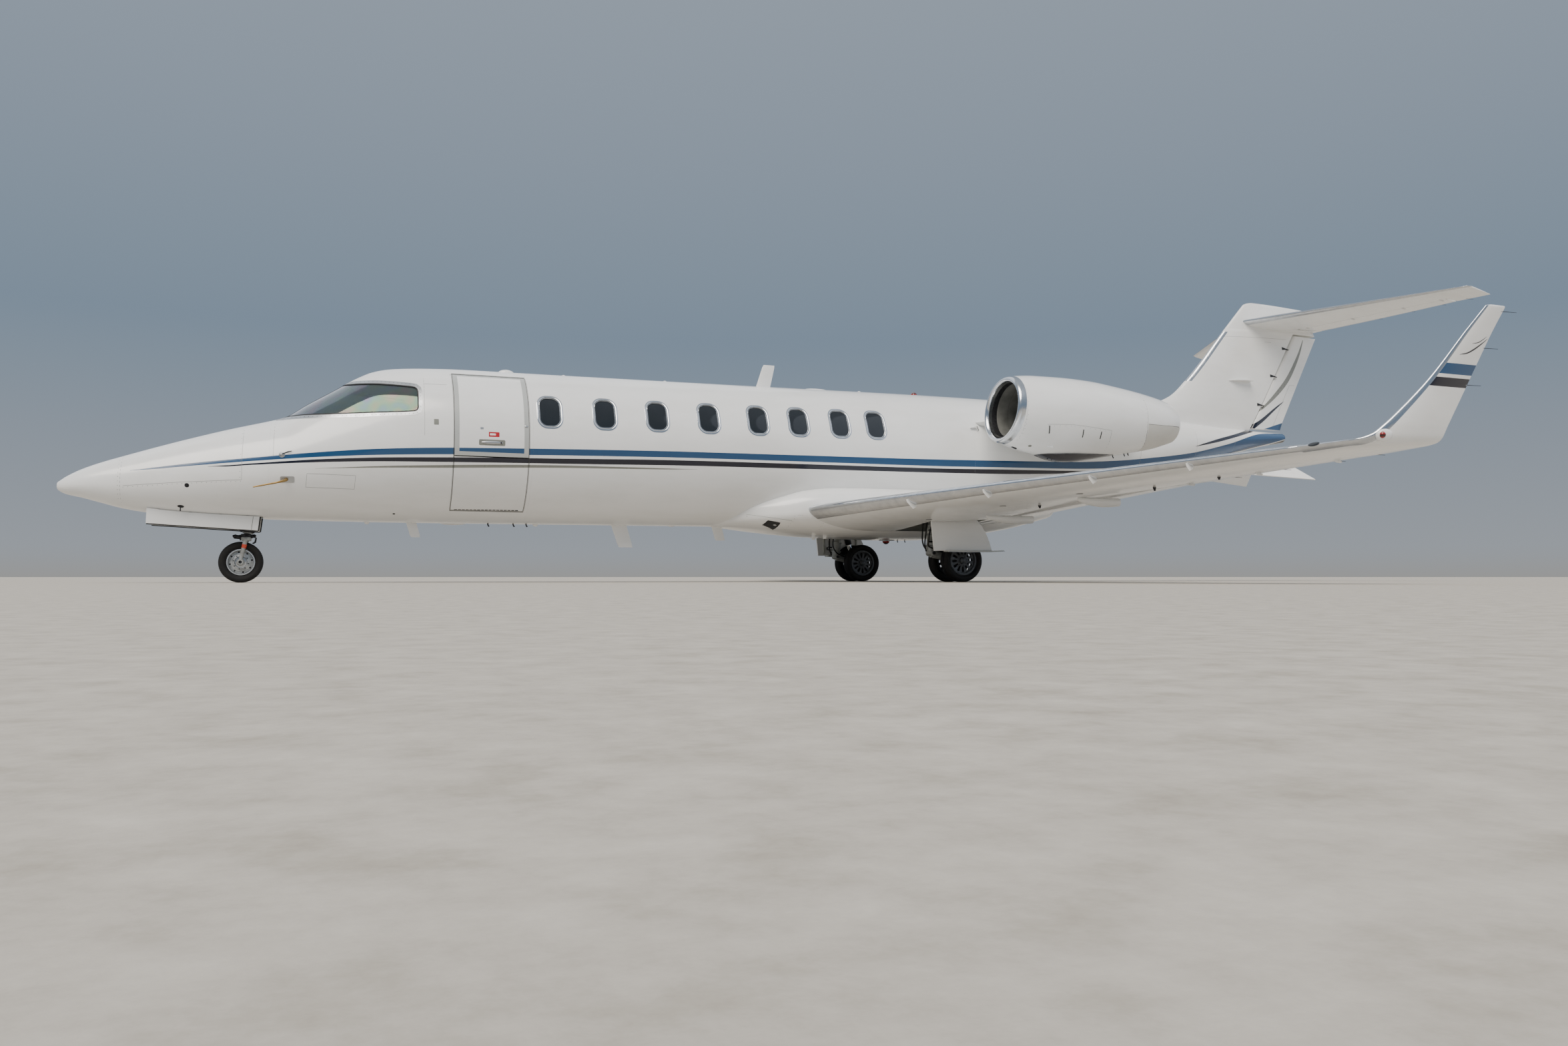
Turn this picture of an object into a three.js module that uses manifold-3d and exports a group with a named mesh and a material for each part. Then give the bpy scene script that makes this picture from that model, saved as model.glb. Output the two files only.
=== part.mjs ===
// A twin-engined business jet parked on its gear, as a three.js scene graph in millimetres.
// Stations run aft from the nose tip along +X, +Y is the right-hand side and +Z is up from the ground.
// The exported group is moved so that its origin lies on the ground under the middle of the aircraft.

import * as THREE from 'three';
import { mergeVertices } from 'three/addons/utils/BufferGeometryUtils.js';
import Module from 'manifold-3d';

const wasm = await Module();
wasm.setup();

// Driving dimensions
const overallLength = 17540;
const ringSegments = 32;
const wall = 80; // fuselage skin, frames and trim together
const gap = 0.4; // running between fixed pieces that touch
const doorGap = 6; // around doors
const hingeGap = 9; // ahead of a control surface's nose
const endGap = 21; // beside its ends, which move sideways a little because the hinge is swept
const pinFit = 0.2; // round a pin that a moving piece turns on

// Fuselage lines: the outer skin is an oval at each station.
const fuselageLines = [
  // station, top, bottom, halfWidth, waist
  [0, 1026, 984, 21, 1005],
  [25, 1054, 948, 62, 1003],
  [90, 1104, 916, 114, 1006],
  [220, 1180, 886, 176, 1018],
  [400, 1258, 836, 238, 1032],
  [610, 1334, 779, 302, 1048],
  [850, 1418, 740, 368, 1072],
  [1200, 1534, 715, 456, 1112],
  [1600, 1657, 700, 548, 1162],
  [2020, 1772, 690, 640, 1216],
  [2130, 1806, 688, 662, 1232],
  [2380, 1974, 685, 712, 1285],
  [2640, 2138, 682, 754, 1340],
  [2880, 2292, 681, 785, 1395],
  [3050, 2374, 680, 806, 1440],
  [3240, 2418, 680, 824, 1480],
  [3600, 2448, 680, 850, 1540],
  [4000, 2462, 681, 864, 1570],
  [4720, 2467, 684, 866, 1576],
  [7400, 2490, 696, 866, 1593],
  [10400, 2516, 706, 860, 1611],
  [11200, 2512, 770, 832, 1650],
  [12200, 2490, 985, 738, 1752],
  [13200, 2446, 1272, 602, 1880],
  [14200, 2392, 1578, 442, 2005],
  [15200, 2332, 1866, 282, 2120],
  [16000, 2302, 2076, 150, 2195],
  [16410, 2296, 2150, 84, 2223],
];
const radomeEnd = 610;
const noseEnd = 2020;
const cockpitEnd = 4720;
const cabinEnd = 10400;
const tailEnd = 16410;
const bulkhead = 60;
const tailHollowEnd = 14800;

// Glazing
const windowStations = [4910, 5540, 6160, 6790, 7415, 7945, 8500, 8995];
const windowWidth = 246;
const windowHeight = 348;
const windowCorner = 96;
const windowLift = 0.0132; // the row rises slightly towards the tail
const firstWindowHeight = 1922;
const linerDepth = 10;
const centrePost = 34; // half width of the post between the two windscreen panes

// Entry door in the left side, split into an upper and a lower leaf
const doorFront = 3866;
const doorRear = 4676;
const doorTop = 2346;
const doorSplit = 1382;
const doorSill = 806;

// Wing, one side; heights are those of the leading and trailing edges
const wingSections = [
  // spanwise, leadingEdge, trailingEdge, leadingHeight, trailingHeight, thickness share
  [700, 7957, 10787, 880, 770, 0.118],
  [1050, 8085, 10810, 896, 785, 0.116],
  [2000, 8435, 10873, 940, 872, 0.112],
  [3200, 8876, 10952, 996, 990, 0.106],
  [6480, 10083, 11168, 1142, 1142, 0.095],
];
const topShare = 0.72; // how much of the section lies above the chord line, as a share of an even split
const wingletSections = [
  // spanwise, height, cant in degrees, leadingEdge, trailingEdge, thickness share
  [6480, 1142, 0, 10083, 11168, 0.095],
  [6830, 1158, 3, 10212, 11142, 0.095],
  [6930, 1170, 20, 10270, 11130, 0.095],
  [6985, 1208, 48, 10352, 11132, 0.095],
  [7014, 1286, 66, 10450, 11150, 0.093],
  [7094, 1660, 76, 10853, 11309, 0.09],
  [7200, 2075, 76, 11172, 11466, 0.086],
  [7252, 2268, 76, 11328, 11551, 0.08],
];
const hingeShare = 0.745; // of the chord, for flaps and ailerons
const flapSpan = [1180, 4330];
const aileronSpan = [4440, 6380];

// Tail
const finSlices = [
  // height, leadingEdge, rearEdge, thickness, share of the thickness left at the rear edge
  [2280, 12500, 15830, 150, 0.92],
  [2480, 13460, 15950, 190, 0.92],
  [2560, 13800, 15996, 205, 0.92],
  [2668, 14060, 16060, 215, 0.92],
  [2770, 14281, 16120, 218, 0.92],
  [2998, 14547, 16250, 215, 0.92],
  [3856, 15330, 16760, 160, 0.92],
  [3866, 15339, 17120, 158, 0.2],
  [3960, 15425, 17070, 152, 0.2],
  [4060, 15515, 16930, 144, 0.25],
  [4300, 15735, 16885, 120, 0.3],
];
const finTop = [[15640, 4215], [15698, 4262], [15758, 4290], [15830, 4300], [17300, 4251]]; // station, height
const rudderLine = { low: [15830, 2330], high: [16685, 3788] }; // hinge axis as station, height
const stabiliserSections = [
  // spanwise, leadingEdge, trailingEdge, leadingHeight, trailingHeight, thickness share
  [0, 15620, 17090, 3993, 3935, 0.1],
  [2300, 16884, 17440, 4050, 3972, 0.095],
  [2690, 17098, 17540, 4060, 3980, 0.06],
];
const elevatorShare = 0.66;
const elevatorSpan = [190, 2280];

// Engines
const nacelleSide = 1400;
const nacelleRings = [
  // station, half width, top, bottom, duct radius
  [10450, 376, 2542, 1790, 376],
  [10470, 408, 2576, 1752, 350],
  [10560, 432, 2594, 1726, 336],
  [10850, 456, 2614, 1640, 350],
  [11270, 470, 2616, 1577, 352],
  [11690, 465, 2598, 1606, 352],
  [12110, 432, 2549, 1644, 338],
  [12440, 388, 2502, 1700, 318],
  [12780, 328, 2438, 1766, 286],
  [12930, 287, 2400, 1811, 250],
  [13050, 240, 2350, 1848, 208],
];
const engineHeight = { front: 2166, rear: 2085 };
const fanStation = 11080;
const fanRadius = 338;
const fanBlades = 14;

// Landing gear
const noseAxle = { station: 1735, height: 222, tyreRadius: 222, tyreWidth: 112, rimRadius: 146 };
const noseLegLean = 10; // degrees aft at the top
const mainAxle = { station: 9762, height: 262, tyreRadius: 262, tyreWidth: 146, rimRadius: 182 };
const mainGearSide = 1410;
const twinSpacing = 318;
const liveAxleRadius = 30; // the twin rims share one turning axle
const wheelSegments = 20;
const noseWell = { front: 870, rear: 1950, half: 172, roof: 1080 };
const mainWell = { front: 9235, rear: 10010, inner: 520, outer: 1790, floor: 640, roof: 905 };

// Small mesh helpers

function solid(geometry) {
  const g = geometry.clone();
  g.deleteAttribute('normal');
  g.deleteAttribute('uv');
  const merged = mergeVertices(g, 1e-3);
  return new wasm.Manifold(new wasm.Mesh({
    numProp: 3,
    vertProperties: merged.attributes.position.array,
    triVerts: new Uint32Array(merged.index.array),
  }));
}

function geometryOf(manifold) {
  const mesh = manifold.getMesh();
  const position = new Float32Array(mesh.numVert * 3);
  for (let i = 0; i < mesh.numVert; i++) {
    position.set(mesh.vertProperties.subarray(i * mesh.numProp, i * mesh.numProp + 3), i * 3);
  }
  const g = new THREE.BufferGeometry();
  g.setAttribute('position', new THREE.BufferAttribute(position, 3));
  g.setIndex(new THREE.BufferAttribute(mesh.triVerts, 1));
  return g;
}

// A closed skin over rings of equal point counts, capped flat at both ends. Rings that start at the right
// and run over the top can be asked for a net of triangles that is the same on the left as on the right.
function loft(rings, evenSided = false) {
  const count = rings[0].length;
  const points = rings.flat();
  const faces = [];
  for (let r = 0; r + 1 < rings.length; r++) {
    for (let i = 0; i < count; i++) {
      const j = (i + 1) % count;
      const [a, b, c, d] = [r * count + i, r * count + j, (r + 1) * count + i, (r + 1) * count + j];
      const leftSide = i >= count / 4 && i < count * 3 / 4;
      faces.push(...(evenSided && leftSide ? [a, b, c, b, d, c] : [a, b, d, a, d, c]));
    }
  }
  for (const [start, flip] of [[0, true], [(rings.length - 1) * count, false]]) {
    const flat = capPlane(rings[start ? rings.length - 1 : 0]);
    for (const [a, b, c] of THREE.ShapeUtils.triangulateShape(flat, [])) {
      faces.push(...(flip ? [start + c, start + b, start + a] : [start + a, start + b, start + c]));
    }
  }
  const g = new THREE.BufferGeometry().setFromPoints(points);
  g.setIndex(faces);
  const made = solid(g);
  return made.volume() < 0 ? solid(g.setIndex(faces.reverse())) : made;
}

// The ring's points in the plane where it is widest, for triangulating its cap.
function capPlane(ring) {
  const normal = new THREE.Vector3();
  ring.forEach((p, i) => {
    const q = ring[(i + 1) % ring.length];
    normal.add(new THREE.Vector3().crossVectors(p, q));
  });
  const u = new THREE.Vector3().subVectors(ring[1], ring[0]).normalize();
  const v = new THREE.Vector3().crossVectors(normal.normalize(), u);
  return ring.map((p) => new THREE.Vector2(p.dot(u), p.dot(v)));
}

const box = (x0, x1, y0, y1, z0, z1) => {
  const g = new THREE.BoxGeometry(x1 - x0, y1 - y0, z1 - z0);
  return solid(g.translate((x0 + x1) / 2, (y0 + y1) / 2, (z0 + z1) / 2));
};

// A round bar from a to b, narrowing or widening to the second radius.
function bar(a, b, radius, endRadius = radius, sides = 8) {
  const from = new THREE.Vector3(...a);
  const to = new THREE.Vector3(...b);
  const g = new THREE.CylinderGeometry(endRadius, radius, from.distanceTo(to), sides);
  const along = new THREE.Vector3().subVectors(to, from).normalize();
  g.applyQuaternion(new THREE.Quaternion().setFromUnitVectors(new THREE.Vector3(0, 1, 0), along));
  const middle = from.add(to).multiplyScalar(0.5);
  return solid(g.translate(middle.x, middle.y, middle.z));
}

// The hole that a bar from a to b turns in: its flats clear the bar's corners, and it runs a little deeper.
function boreFor(a, b, radius, sides) {
  const from = new THREE.Vector3(...a);
  const to = new THREE.Vector3(...b);
  const deeper = new THREE.Vector3().subVectors(to, from).setLength(3).add(to);
  const reach = (radius + pinFit) / Math.cos(Math.PI / sides);
  return bar(a, deeper.toArray(), reach, reach, sides);
}

// A plate from an outline of [a, b] points on the plane normal to the axis, between two depths on it.
function plate(outline, axis, from, to) {
  const shape = new THREE.Shape(outline.map(([a, b]) => new THREE.Vector2(a, b)));
  const g = new THREE.ExtrudeGeometry(shape, { depth: to - from, bevelEnabled: false });
  g.translate(0, 0, from);
  const turn = {
    x: new THREE.Matrix4().set(0, 0, 1, 0, 1, 0, 0, 0, 0, 1, 0, 0, 0, 0, 0, 1),
    y: new THREE.Matrix4().set(1, 0, 0, 0, 0, 0, 1, 0, 0, 1, 0, 0, 0, 0, 0, 1),
    z: new THREE.Matrix4(),
  }[axis];
  g.applyMatrix4(turn);
  if (turn.determinant() < 0) {
    const index = g.index ?? g.setIndex([...Array(g.attributes.position.count).keys()]).index;
    for (let i = 0; i < index.count; i += 3) {
      const first = index.getX(i);
      index.setX(i, index.getX(i + 1));
      index.setX(i + 1, first);
    }
  }
  return solid(g);
}

function roundedOutline(cx, cz, width, height, corner, steps = 1) {
  const points = [];
  for (let quarter = 0; quarter < 4; quarter++) {
    const [sx, sz] = [[1, 1], [-1, 1], [-1, -1], [1, -1]][quarter];
    for (let k = 0; k <= steps; k++) {
      const angle = (quarter + k / steps) * Math.PI / 2;
      points.push([
        cx + sx * (width / 2 - corner) + corner * Math.cos(angle),
        cz + sz * (height / 2 - corner) + corner * Math.sin(angle),
      ]);
    }
  }
  return points;
}

// A turned body about the Y axis through a station and height, from [radius, side] points.
function turned(profile, station, height, segments = 32) {
  const g = new THREE.LatheGeometry(profile.map(([r, y]) => new THREE.Vector2(r, y)), segments);
  const made = solid(g.translate(station, 0, height));
  return made.volume() < 0 ? solid(g.setIndex([...g.index.array].reverse())) : made;
}

const unite = (list) => list.reduce((a, b) => a.add(b));
const mirrored = (m) => m.mirror([0, 1, 0]);

// Fuselage

function lineAt(table, station) {
  let k = 0;
  while (k < table.length - 2 && station > table[k + 1][0]) k++;
  const t = (station - table[k][0]) / (table[k + 1][0] - table[k][0]);
  return table[k].map((v, i) => v + (table[k + 1][i] - v) * t);
}

function hullRing(station, inset) {
  const [, top, bottom, halfWidth, waist] = lineAt(fuselageLines, station);
  const ring = [];
  for (let i = 0; i < ringSegments; i++) {
    const angle = (i / ringSegments) * 2 * Math.PI;
    const reach = Math.sin(angle) > 0 ? top - waist : waist - bottom;
    const y = (halfWidth - inset) * Math.cos(angle);
    const z = waist + (reach - inset) * Math.sin(angle);
    ring.push(new THREE.Vector3(station, y, z));
  }
  return ring;
}

function hull(from, to, inset = 0) {
  const between = fuselageLines.map((row) => row[0]).filter((s) => s > from + 1 && s < to - 1);
  return loft([from, ...between, to].map((s) => hullRing(s, inset)), true);
}

const layer = (from, to, outer, inner) => hull(from, to, outer).subtract(hull(from - 5, to + 5, inner));

const windowHeightAt = (s) => firstWindowHeight + windowLift * (s - windowStations[0]);

// The window hole through one wall, grown or shrunk all round.
function windowPrism(station, grow, side) {
  const outline = roundedOutline(
    station, windowHeightAt(station), windowWidth + 2 * grow, windowHeight + 2 * grow, windowCorner + grow);
  return plate(outline, 'y', side > 0 ? 300 : -1000, side > 0 ? 1000 : -300);
}

// The side view of the wrap-around windscreen, as an outline that runs past the roof line.
function windscreenPrism(grow, side) {
  const g = grow;
  const outline = [
    [2085 - 2.2 * g, 1802 - g], [3430 + g, 1852 - g], [3498 + g, 1900 - g],
    [3498 + g, 2100 + g], [3430 + g, 2152 + g], [2960, 2176 + g], [2500 - g, 2260],
    [2085 - 2.2 * g, 2000],
  ];
  const inner = centrePost - g;
  return plate(outline, 'y', side > 0 ? inner : -1000, side > 0 ? 1000 : -inner);
}

function doorPrism(low, high, grow) {
  return box(doorFront - grow, doorRear + grow, -1000, -250 + grow, low - grow, high + grow);
}

const doorway = doorPrism(doorSill, doorTop, 0);
const doorHinges = { upper: [-438, 2328], lower: [-453, 826] }; // side and height of each leaf's hinge
const doorPinRadius = 6;

// The hinge pins at both ends of a leaf, as pairs of end points.
const doorPins = ([y, z]) => [
  [[doorFront - 25, y, z], [doorFront + doorGap + 30, y, z]],
  [[doorRear + 25, y, z], [doorRear - doorGap - 30, y, z]]];

const hung = (leaf, hinge) =>
  doorPins(hinge).reduce((made, [a, b]) => made.subtract(boreFor(a, b, doorPinRadius, 8)), leaf);

function makeNoseSection() {
  const well = box(noseWell.front, noseWell.rear, -noseWell.half, noseWell.half, 500, noseWell.roof);
  return hull(radomeEnd + gap, noseEnd, 0).subtract(well);
}

function makeCockpitShell() {
  const shell = hull(noseEnd + gap, cockpitEnd, 0).subtract(hull(noseEnd + bulkhead, cockpitEnd + 5, wall));
  const pins = [...doorPins(doorHinges.upper), ...doorPins(doorHinges.lower)]
    .map(([a, b]) => bar(a, b, doorPinRadius, doorPinRadius, 8));
  return unite([
    shell.subtract(windscreenPrism(0, 1)).subtract(windscreenPrism(0, -1)).subtract(doorway), ...pins]);
}

function makeCabinShell() {
  let shell = hull(cockpitEnd + gap, cabinEnd, 0)
    .subtract(hull(cockpitEnd - 5, cabinEnd - bulkhead, wall));
  for (const side of [-1, 1]) {
    for (const station of windowStations) shell = shell.subtract(windowPrism(station, 0, side));
  }
  return shell;
}

const makeTailCone = () =>
  hull(cabinEnd + gap, tailEnd, 0).subtract(hull(cabinEnd - 5, tailHollowEnd, wall))
    .add(bar(...rudderPins.low, 9, 9, 8));

function makeWindscreen(side) {
  return layer(noseEnd + 40, 3600, 4, 26).intersect(windscreenPrism(-0.5, side));
}

// The windows of one side: glazed plugs on the liner strip that runs along the wall.
function makeWindowRow(side) {
  const [first, last] = [windowStations[0] - 175, windowStations.at(-1) + 200];
  const [near, far] = side > 0 ? [300, 1000] : [-1000, -300];
  const band = plate([[first, 1700], [last, 1760], [last, 2200], [first, 2150]], 'y', near, far);
  const strip = layer(first - 10, last + 10, wall + gap, wall + linerDepth).intersect(band);
  const panes = layer(first - 10, last + 10, 5, wall + linerDepth - 3);
  return unite([strip, ...windowStations.map((station) => panes.intersect(windowPrism(station, -1, side)))]);
}

function makeUpperDoor() {
  const leaf = layer(doorFront - 50, doorRear + 50, 0, wall).intersect(doorPrism(doorSplit, doorTop, -doorGap));
  return hung(leaf, doorHinges.upper);
}

// The lower leaf carries the entry steps on its inner face.
function makeLowerDoor() {
  const leaf = layer(doorFront - 50, doorRear + 50, 0, wall).intersect(doorPrism(doorSill, doorSplit, -doorGap));
  const room = hull(doorFront - 50, doorRear + 50, wall - 10);
  const steps = [[1040, 470], [1250, 560]].map(([z, inner]) =>
    box(doorFront + 90, doorRear - 90, -900, -inner, z, z + 34).intersect(room));
  return hung(unite([leaf, ...steps]), doorHinges.lower);
}

// Cabin furniture

const floorTop = 985;
const seatSide = 425;

function makeFloor() {
  const slab = box(noseEnd + 70, cabinEnd - 70, -900, 900, floorTop - 40, floorTop);
  const notch = box(doorFront - 40, doorRear + 40, -900, -290, 900, 1100);
  return slab.intersect(hull(noseEnd + bulkhead + 1, cabinEnd - bulkhead - 1, wall + gap)).subtract(notch);
}

// One armchair facing forward (1) or aft (-1), with its back leaning away.
function seat(station, side, facing) {
  const at = (s) => station + facing * s;
  const cushion = plate(
    [[at(-230), 1150], [at(255), 1165], [at(250), 1330], [at(-210), 1315]], 'y', side - 225, side + 225);
  const back = plate(
    [[at(140), 1300], [at(262), 1300], [at(395), 1850], [at(375), 1960], [at(290), 1960]],
    'y', side - 205, side + 205);
  const arms = [-1, 1].map((k) =>
    plate([[at(-180), 1290], [at(250), 1290], [at(290), 1480], [at(-180), 1470]],
      'y', side + k * 214 - 28, side + k * 214 + 28));
  const base = box(station - 150, station + 150, side - 85, side + 85, floorTop + gap, 1170);
  return unite([cushion, back, ...arms, base]);
}

function makeSeatRow(side) {
  const seats = [[5180, -1], [6480, 1], [7160, -1], [8400, 1]].map(([s, facing]) => seat(s, side * seatSide, facing));
  const rail = box(5000, 8700, side * seatSide - 45, side * seatSide + 45, floorTop + gap, floorTop + 26);
  return unite([...seats, rail]);
}

function makePilotSeats() {
  const pair = [-1, 1].map((k) => seat(3270, k * 345, 1));
  const pedestal = plate([[2700, floorTop + gap], [3500, floorTop + gap], [3400, 1330], [2780, 1500]], 'y', -95, 95);
  const tie = box(3200, 3400, -345, 345, floorTop + gap, floorTop + 40);
  return unite([...pair, pedestal, tie]);
}

function makeInstrumentPanel() {
  const panel = plate(
    [[2300, 1380], [2680, 1380], [2690, 1690], [2640, 1740], [2300, 1740]], 'y', -620, 620);
  return panel.intersect(hull(noseEnd + bulkhead + 2, 3000, wall + gap));
}

// Wing

// Points round an aerofoil from the trailing edge over the top and back, chord 1 along x.
function aerofoil(thickness, upperShare = 1) {
  const stops = [1, hingeShare, 0.42, 0.18, 0.05, 0.01, 0];
  const half = (x) => thickness * (
    1.4845 * Math.sqrt(x) - 0.63 * x - 1.758 * x ** 2 + 1.4215 * x ** 3 - 0.5075 * x ** 4) + 0.0012 * x;
  const upper = stops.map((x) => [x, half(x) * upperShare]);
  const lower = stops.slice(0, -1).reverse().map((x) => [x, -half(x) * (2 - upperShare)]);
  return [...upper, ...lower];
}

function wingRing([side, lead, trail, leadZ, trailZ, share]) {
  const chord = trail - lead;
  return aerofoil(share, topShare).map(([x, h]) =>
    new THREE.Vector3(lead + x * chord, side, leadZ + x * (trailZ - leadZ) + h * chord));
}

function wingletRing([side, height, cant, lead, trail, share]) {
  const chord = trail - lead;
  const lean = THREE.MathUtils.degToRad(cant);
  return aerofoil(share, topShare).map(([x, h]) => new THREE.Vector3(
    lead + x * chord, side - h * chord * Math.sin(lean), height + h * chord * Math.cos(lean)));
}

const wingAt = (side) => lineAt(wingSections, side);
const wingThickness = (side) => {
  const [, lead, trail, , , share] = wingAt(side);
  const top = aerofoil(share)[1][1];
  return 2 * top * (trail - lead);
};

// A movable surface from its two ends: each has its hinge point, nose radius, chord behind the hinge and
// the slope of its section. The ends lie fore and aft, and the cut-out is what the surface turns in.
function movableSurface(first, last, pinRadius) {
  const sweep = Math.atan2(last.x - first.x, last.y - first.y);
  const between = (y) => {
    const t = (y - first.y) / (last.y - first.y);
    return Object.fromEntries(Object.keys(first).map((k) => [k, first[k] + (last[k] - first[k]) * t]));
  };
  const ring = (end, outline) => outline(end).map(([a, u]) =>
    new THREE.Vector3(end.x + a, end.y, end.z + u + a * end.slope));
  const section = (end) => {
    const nose = [];
    for (let k = 0; k <= 4; k++) {
      const angle = Math.PI * (0.5 + k / 4);
      nose.push([end.radius * Math.cos(angle) / Math.cos(sweep), end.radius * Math.sin(angle)]);
    }
    return [...nose, [end.chord, -3], [end.chord, 3]];
  };
  const space = (end) => {
    const front = -end.radius / Math.cos(sweep) - hingeGap;
    return [[front, -400], [end.chord + 400, -400], [end.chord + 400, 400], [front, 400]];
  };
  const at = (y) => [between(y).x, y, between(y).z];
  const pinEnds = [
    [at(first.y - 28), at(first.y + endGap + 45)],
    [at(last.y + 28), at(last.y - endGap - 45)]];
  const body = loft([ring(between(first.y + endGap), section), ring(between(last.y - endGap), section)]);
  return {
    body: pinEnds.reduce((made, [a, b]) => made.subtract(boreFor(a, b, pinRadius, 8)), body),
    cut: loft([ring(first, space), ring(last, space)]),
    pins: unite(pinEnds.map(([a, b]) => bar(a, b, pinRadius, pinRadius, 8))),
  };
}

function wingSurface([inner, outer]) {
  const end = (side) => {
    const [, lead, trail, leadZ, trailZ] = wingAt(side);
    const radius = wingThickness(side) / 2;
    const x = lead + hingeShare * (trail - lead);
    const z = leadZ + hingeShare * (trailZ - leadZ) - (1 - topShare) * radius;
    return { x, y: side, z, radius, chord: trail - x, slope: (trailZ - z) / (trail - x) };
  };
  return movableSurface(end(inner), end(outer), 9);
}

const flap = wingSurface(flapSpan);
const aileron = wingSurface(aileronSpan);

const fairingLines = [
  // station, top, bottom, halfWidth
  [7060, 900, 696, 200],
  [7400, 1020, 664, 560],
  [7760, 1120, 630, 800],
  [8040, 1200, 606, 905],
  [8450, 1235, 580, 985],
  [9000, 1240, 560, 1010],
  [9800, 1240, 552, 1010],
  [10500, 1220, 600, 985],
  [11100, 1180, 690, 880],
  [11800, 1130, 850, 560],
];

function fairingHull(grow) {
  return loft(fairingLines.map(([s, top, bottom, halfWidth]) => {
    const waist = (top + bottom) / 2;
    return Array.from({ length: ringSegments }, (_, i) => {
      const angle = (i / ringSegments) * 2 * Math.PI;
      const [c, d] = [Math.cos(angle), Math.sin(angle)];
      const y = Math.sign(c) * Math.abs(c) ** 0.72 * (halfWidth + grow);
      const z = waist + Math.sign(d) * Math.abs(d) ** 0.72 * ((top - bottom) / 2 + grow);
      return new THREE.Vector3(s, y, z);
    });
  }), true);
}

const wellBox = (side) => {
  const { front, rear, inner, outer, floor, roof } = mainWell;
  // The roof comes down at the back, to stay under the wing's upper skin.
  const hollow = (y0, y1, low) => plate(
    [[front, low], [rear, low], [rear, roof - 36], [rear - 260, roof], [front, roof]], 'y', y0, y1,
  );
  const both = hollow(inner, 1040, floor).add(hollow(960, outer, 300));
  return side > 0 ? both : mirrored(both);
};

function makeBellyFairing() {
  return fairingHull(0).subtract(hull(6900, 12000, -gap)).subtract(wellBox(1)).subtract(wellBox(-1));
}

// Tapered pods under the trailing edge that carry the flap tracks.
function trackFairing(side, length) {
  const [, lead, trail, leadZ, trailZ] = wingAt(side);
  const rear = lead + (hingeShare - 0.03) * (trail - lead);
  const under = leadZ + 0.6 * (trailZ - leadZ) - wingThickness(side) * 0.75;
  const rings = [[-length, 6, 4], [-0.75 * length, 44, 46], [-0.4 * length, 60, 66], [0, 40, 52]];
  return loft(rings.map(([s, half, deep]) => Array.from({ length: 10 }, (_, i) => {
    const angle = (i / 10) * 2 * Math.PI;
    return new THREE.Vector3(rear + s, side + half * Math.cos(angle), under + deep * Math.sin(angle));
  })));
}

function makeWing() {
  const skin = loft(wingSections.map(wingRing));
  const pods = [[2380, 620], [3700, 520]].map(([y, length]) => trackFairing(y, length));
  return unite([skin, ...pods])
    .subtract(flap.cut).subtract(aileron.cut)
    .subtract(fairingHull(gap)).subtract(hull(6900, 12000, -gap)).subtract(wellBox(1))
    .add(flap.pins).add(aileron.pins);
}

const makeWinglet = () => loft(wingletSections.map(wingletRing)).translate([0, gap, 0]);

// Tail

// A ring of the fin, which stops square at its rear edge.
function finRing([height, lead, rear, thickness, rearShare]) {
  const chord = (rear - lead) / 0.7;
  const front = aerofoil(thickness / chord).filter(([x]) => x < 0.7);
  const edge = front[0][1] * chord * rearShare;
  return [
    new THREE.Vector3(rear, edge, height),
    ...front.map(([x, h]) => new THREE.Vector3(lead + x * chord, h * chord, height)),
    new THREE.Vector3(rear, -edge, height)];
}

// The rudder's hinge leans aft while its ends are level, so its rings are laid level too.
const rudderSlices = [
  // height, nose radius, trailing edge
  [2345, 66, 16398],
  [2470, 68, 16449],
  [3845, 50, 17166],
];
const rudderLean = Math.atan2(rudderLine.high[0] - rudderLine.low[0], rudderLine.high[1] - rudderLine.low[1]);
const rudderHingeAt = (z) => [rudderLine.low[0] + (z - rudderLine.low[1]) * Math.tan(rudderLean), 0, z];
const rudderPins = {
  low: [rudderHingeAt(2270), rudderHingeAt(2400)],
  high: [rudderHingeAt(3890), rudderHingeAt(3785)],
};

function rudderRing([height, radius, trail]) {
  const [hinge] = rudderHingeAt(height);
  const nose = [];
  for (let k = 0; k <= 4; k++) {
    const angle = Math.PI * (0.5 + k / 4);
    nose.push([hinge + radius * Math.cos(angle) / Math.cos(rudderLean), radius * Math.sin(angle)]);
  }
  return [...nose, [trail, -4], [trail, 4]].map(([x, y]) => new THREE.Vector3(x, y, height));
}

const makeRudder = () => loft(rudderSlices.map(rudderRing))
  .subtract(boreFor(...rudderPins.low, 9, 8)).subtract(boreFor(...rudderPins.high, 9, 8));

// The space behind the fin's rear edge in which the rudder turns.
function rudderSpace() {
  const outline = [[-80 - hingeGap, -300], [900, -300], [900, 300], [-80 - hingeGap, 300]];
  return loft([2285, 3868].map((height) => outline.map(([a, y]) =>
    new THREE.Vector3(rudderHingeAt(height)[0] + a, y, height))));
}

function stabiliserRing([side, lead, trail, leadZ, trailZ, share], grow = 0) {
  const chord = trail - lead;
  return aerofoil(share).map(([x, h]) => new THREE.Vector3(
    lead - grow + x * (chord + 2 * grow), side, leadZ + x * (trailZ - leadZ) + h * chord + Math.sign(h) * grow));
}

const stabiliserAt = (side) => lineAt(stabiliserSections, side);

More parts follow.
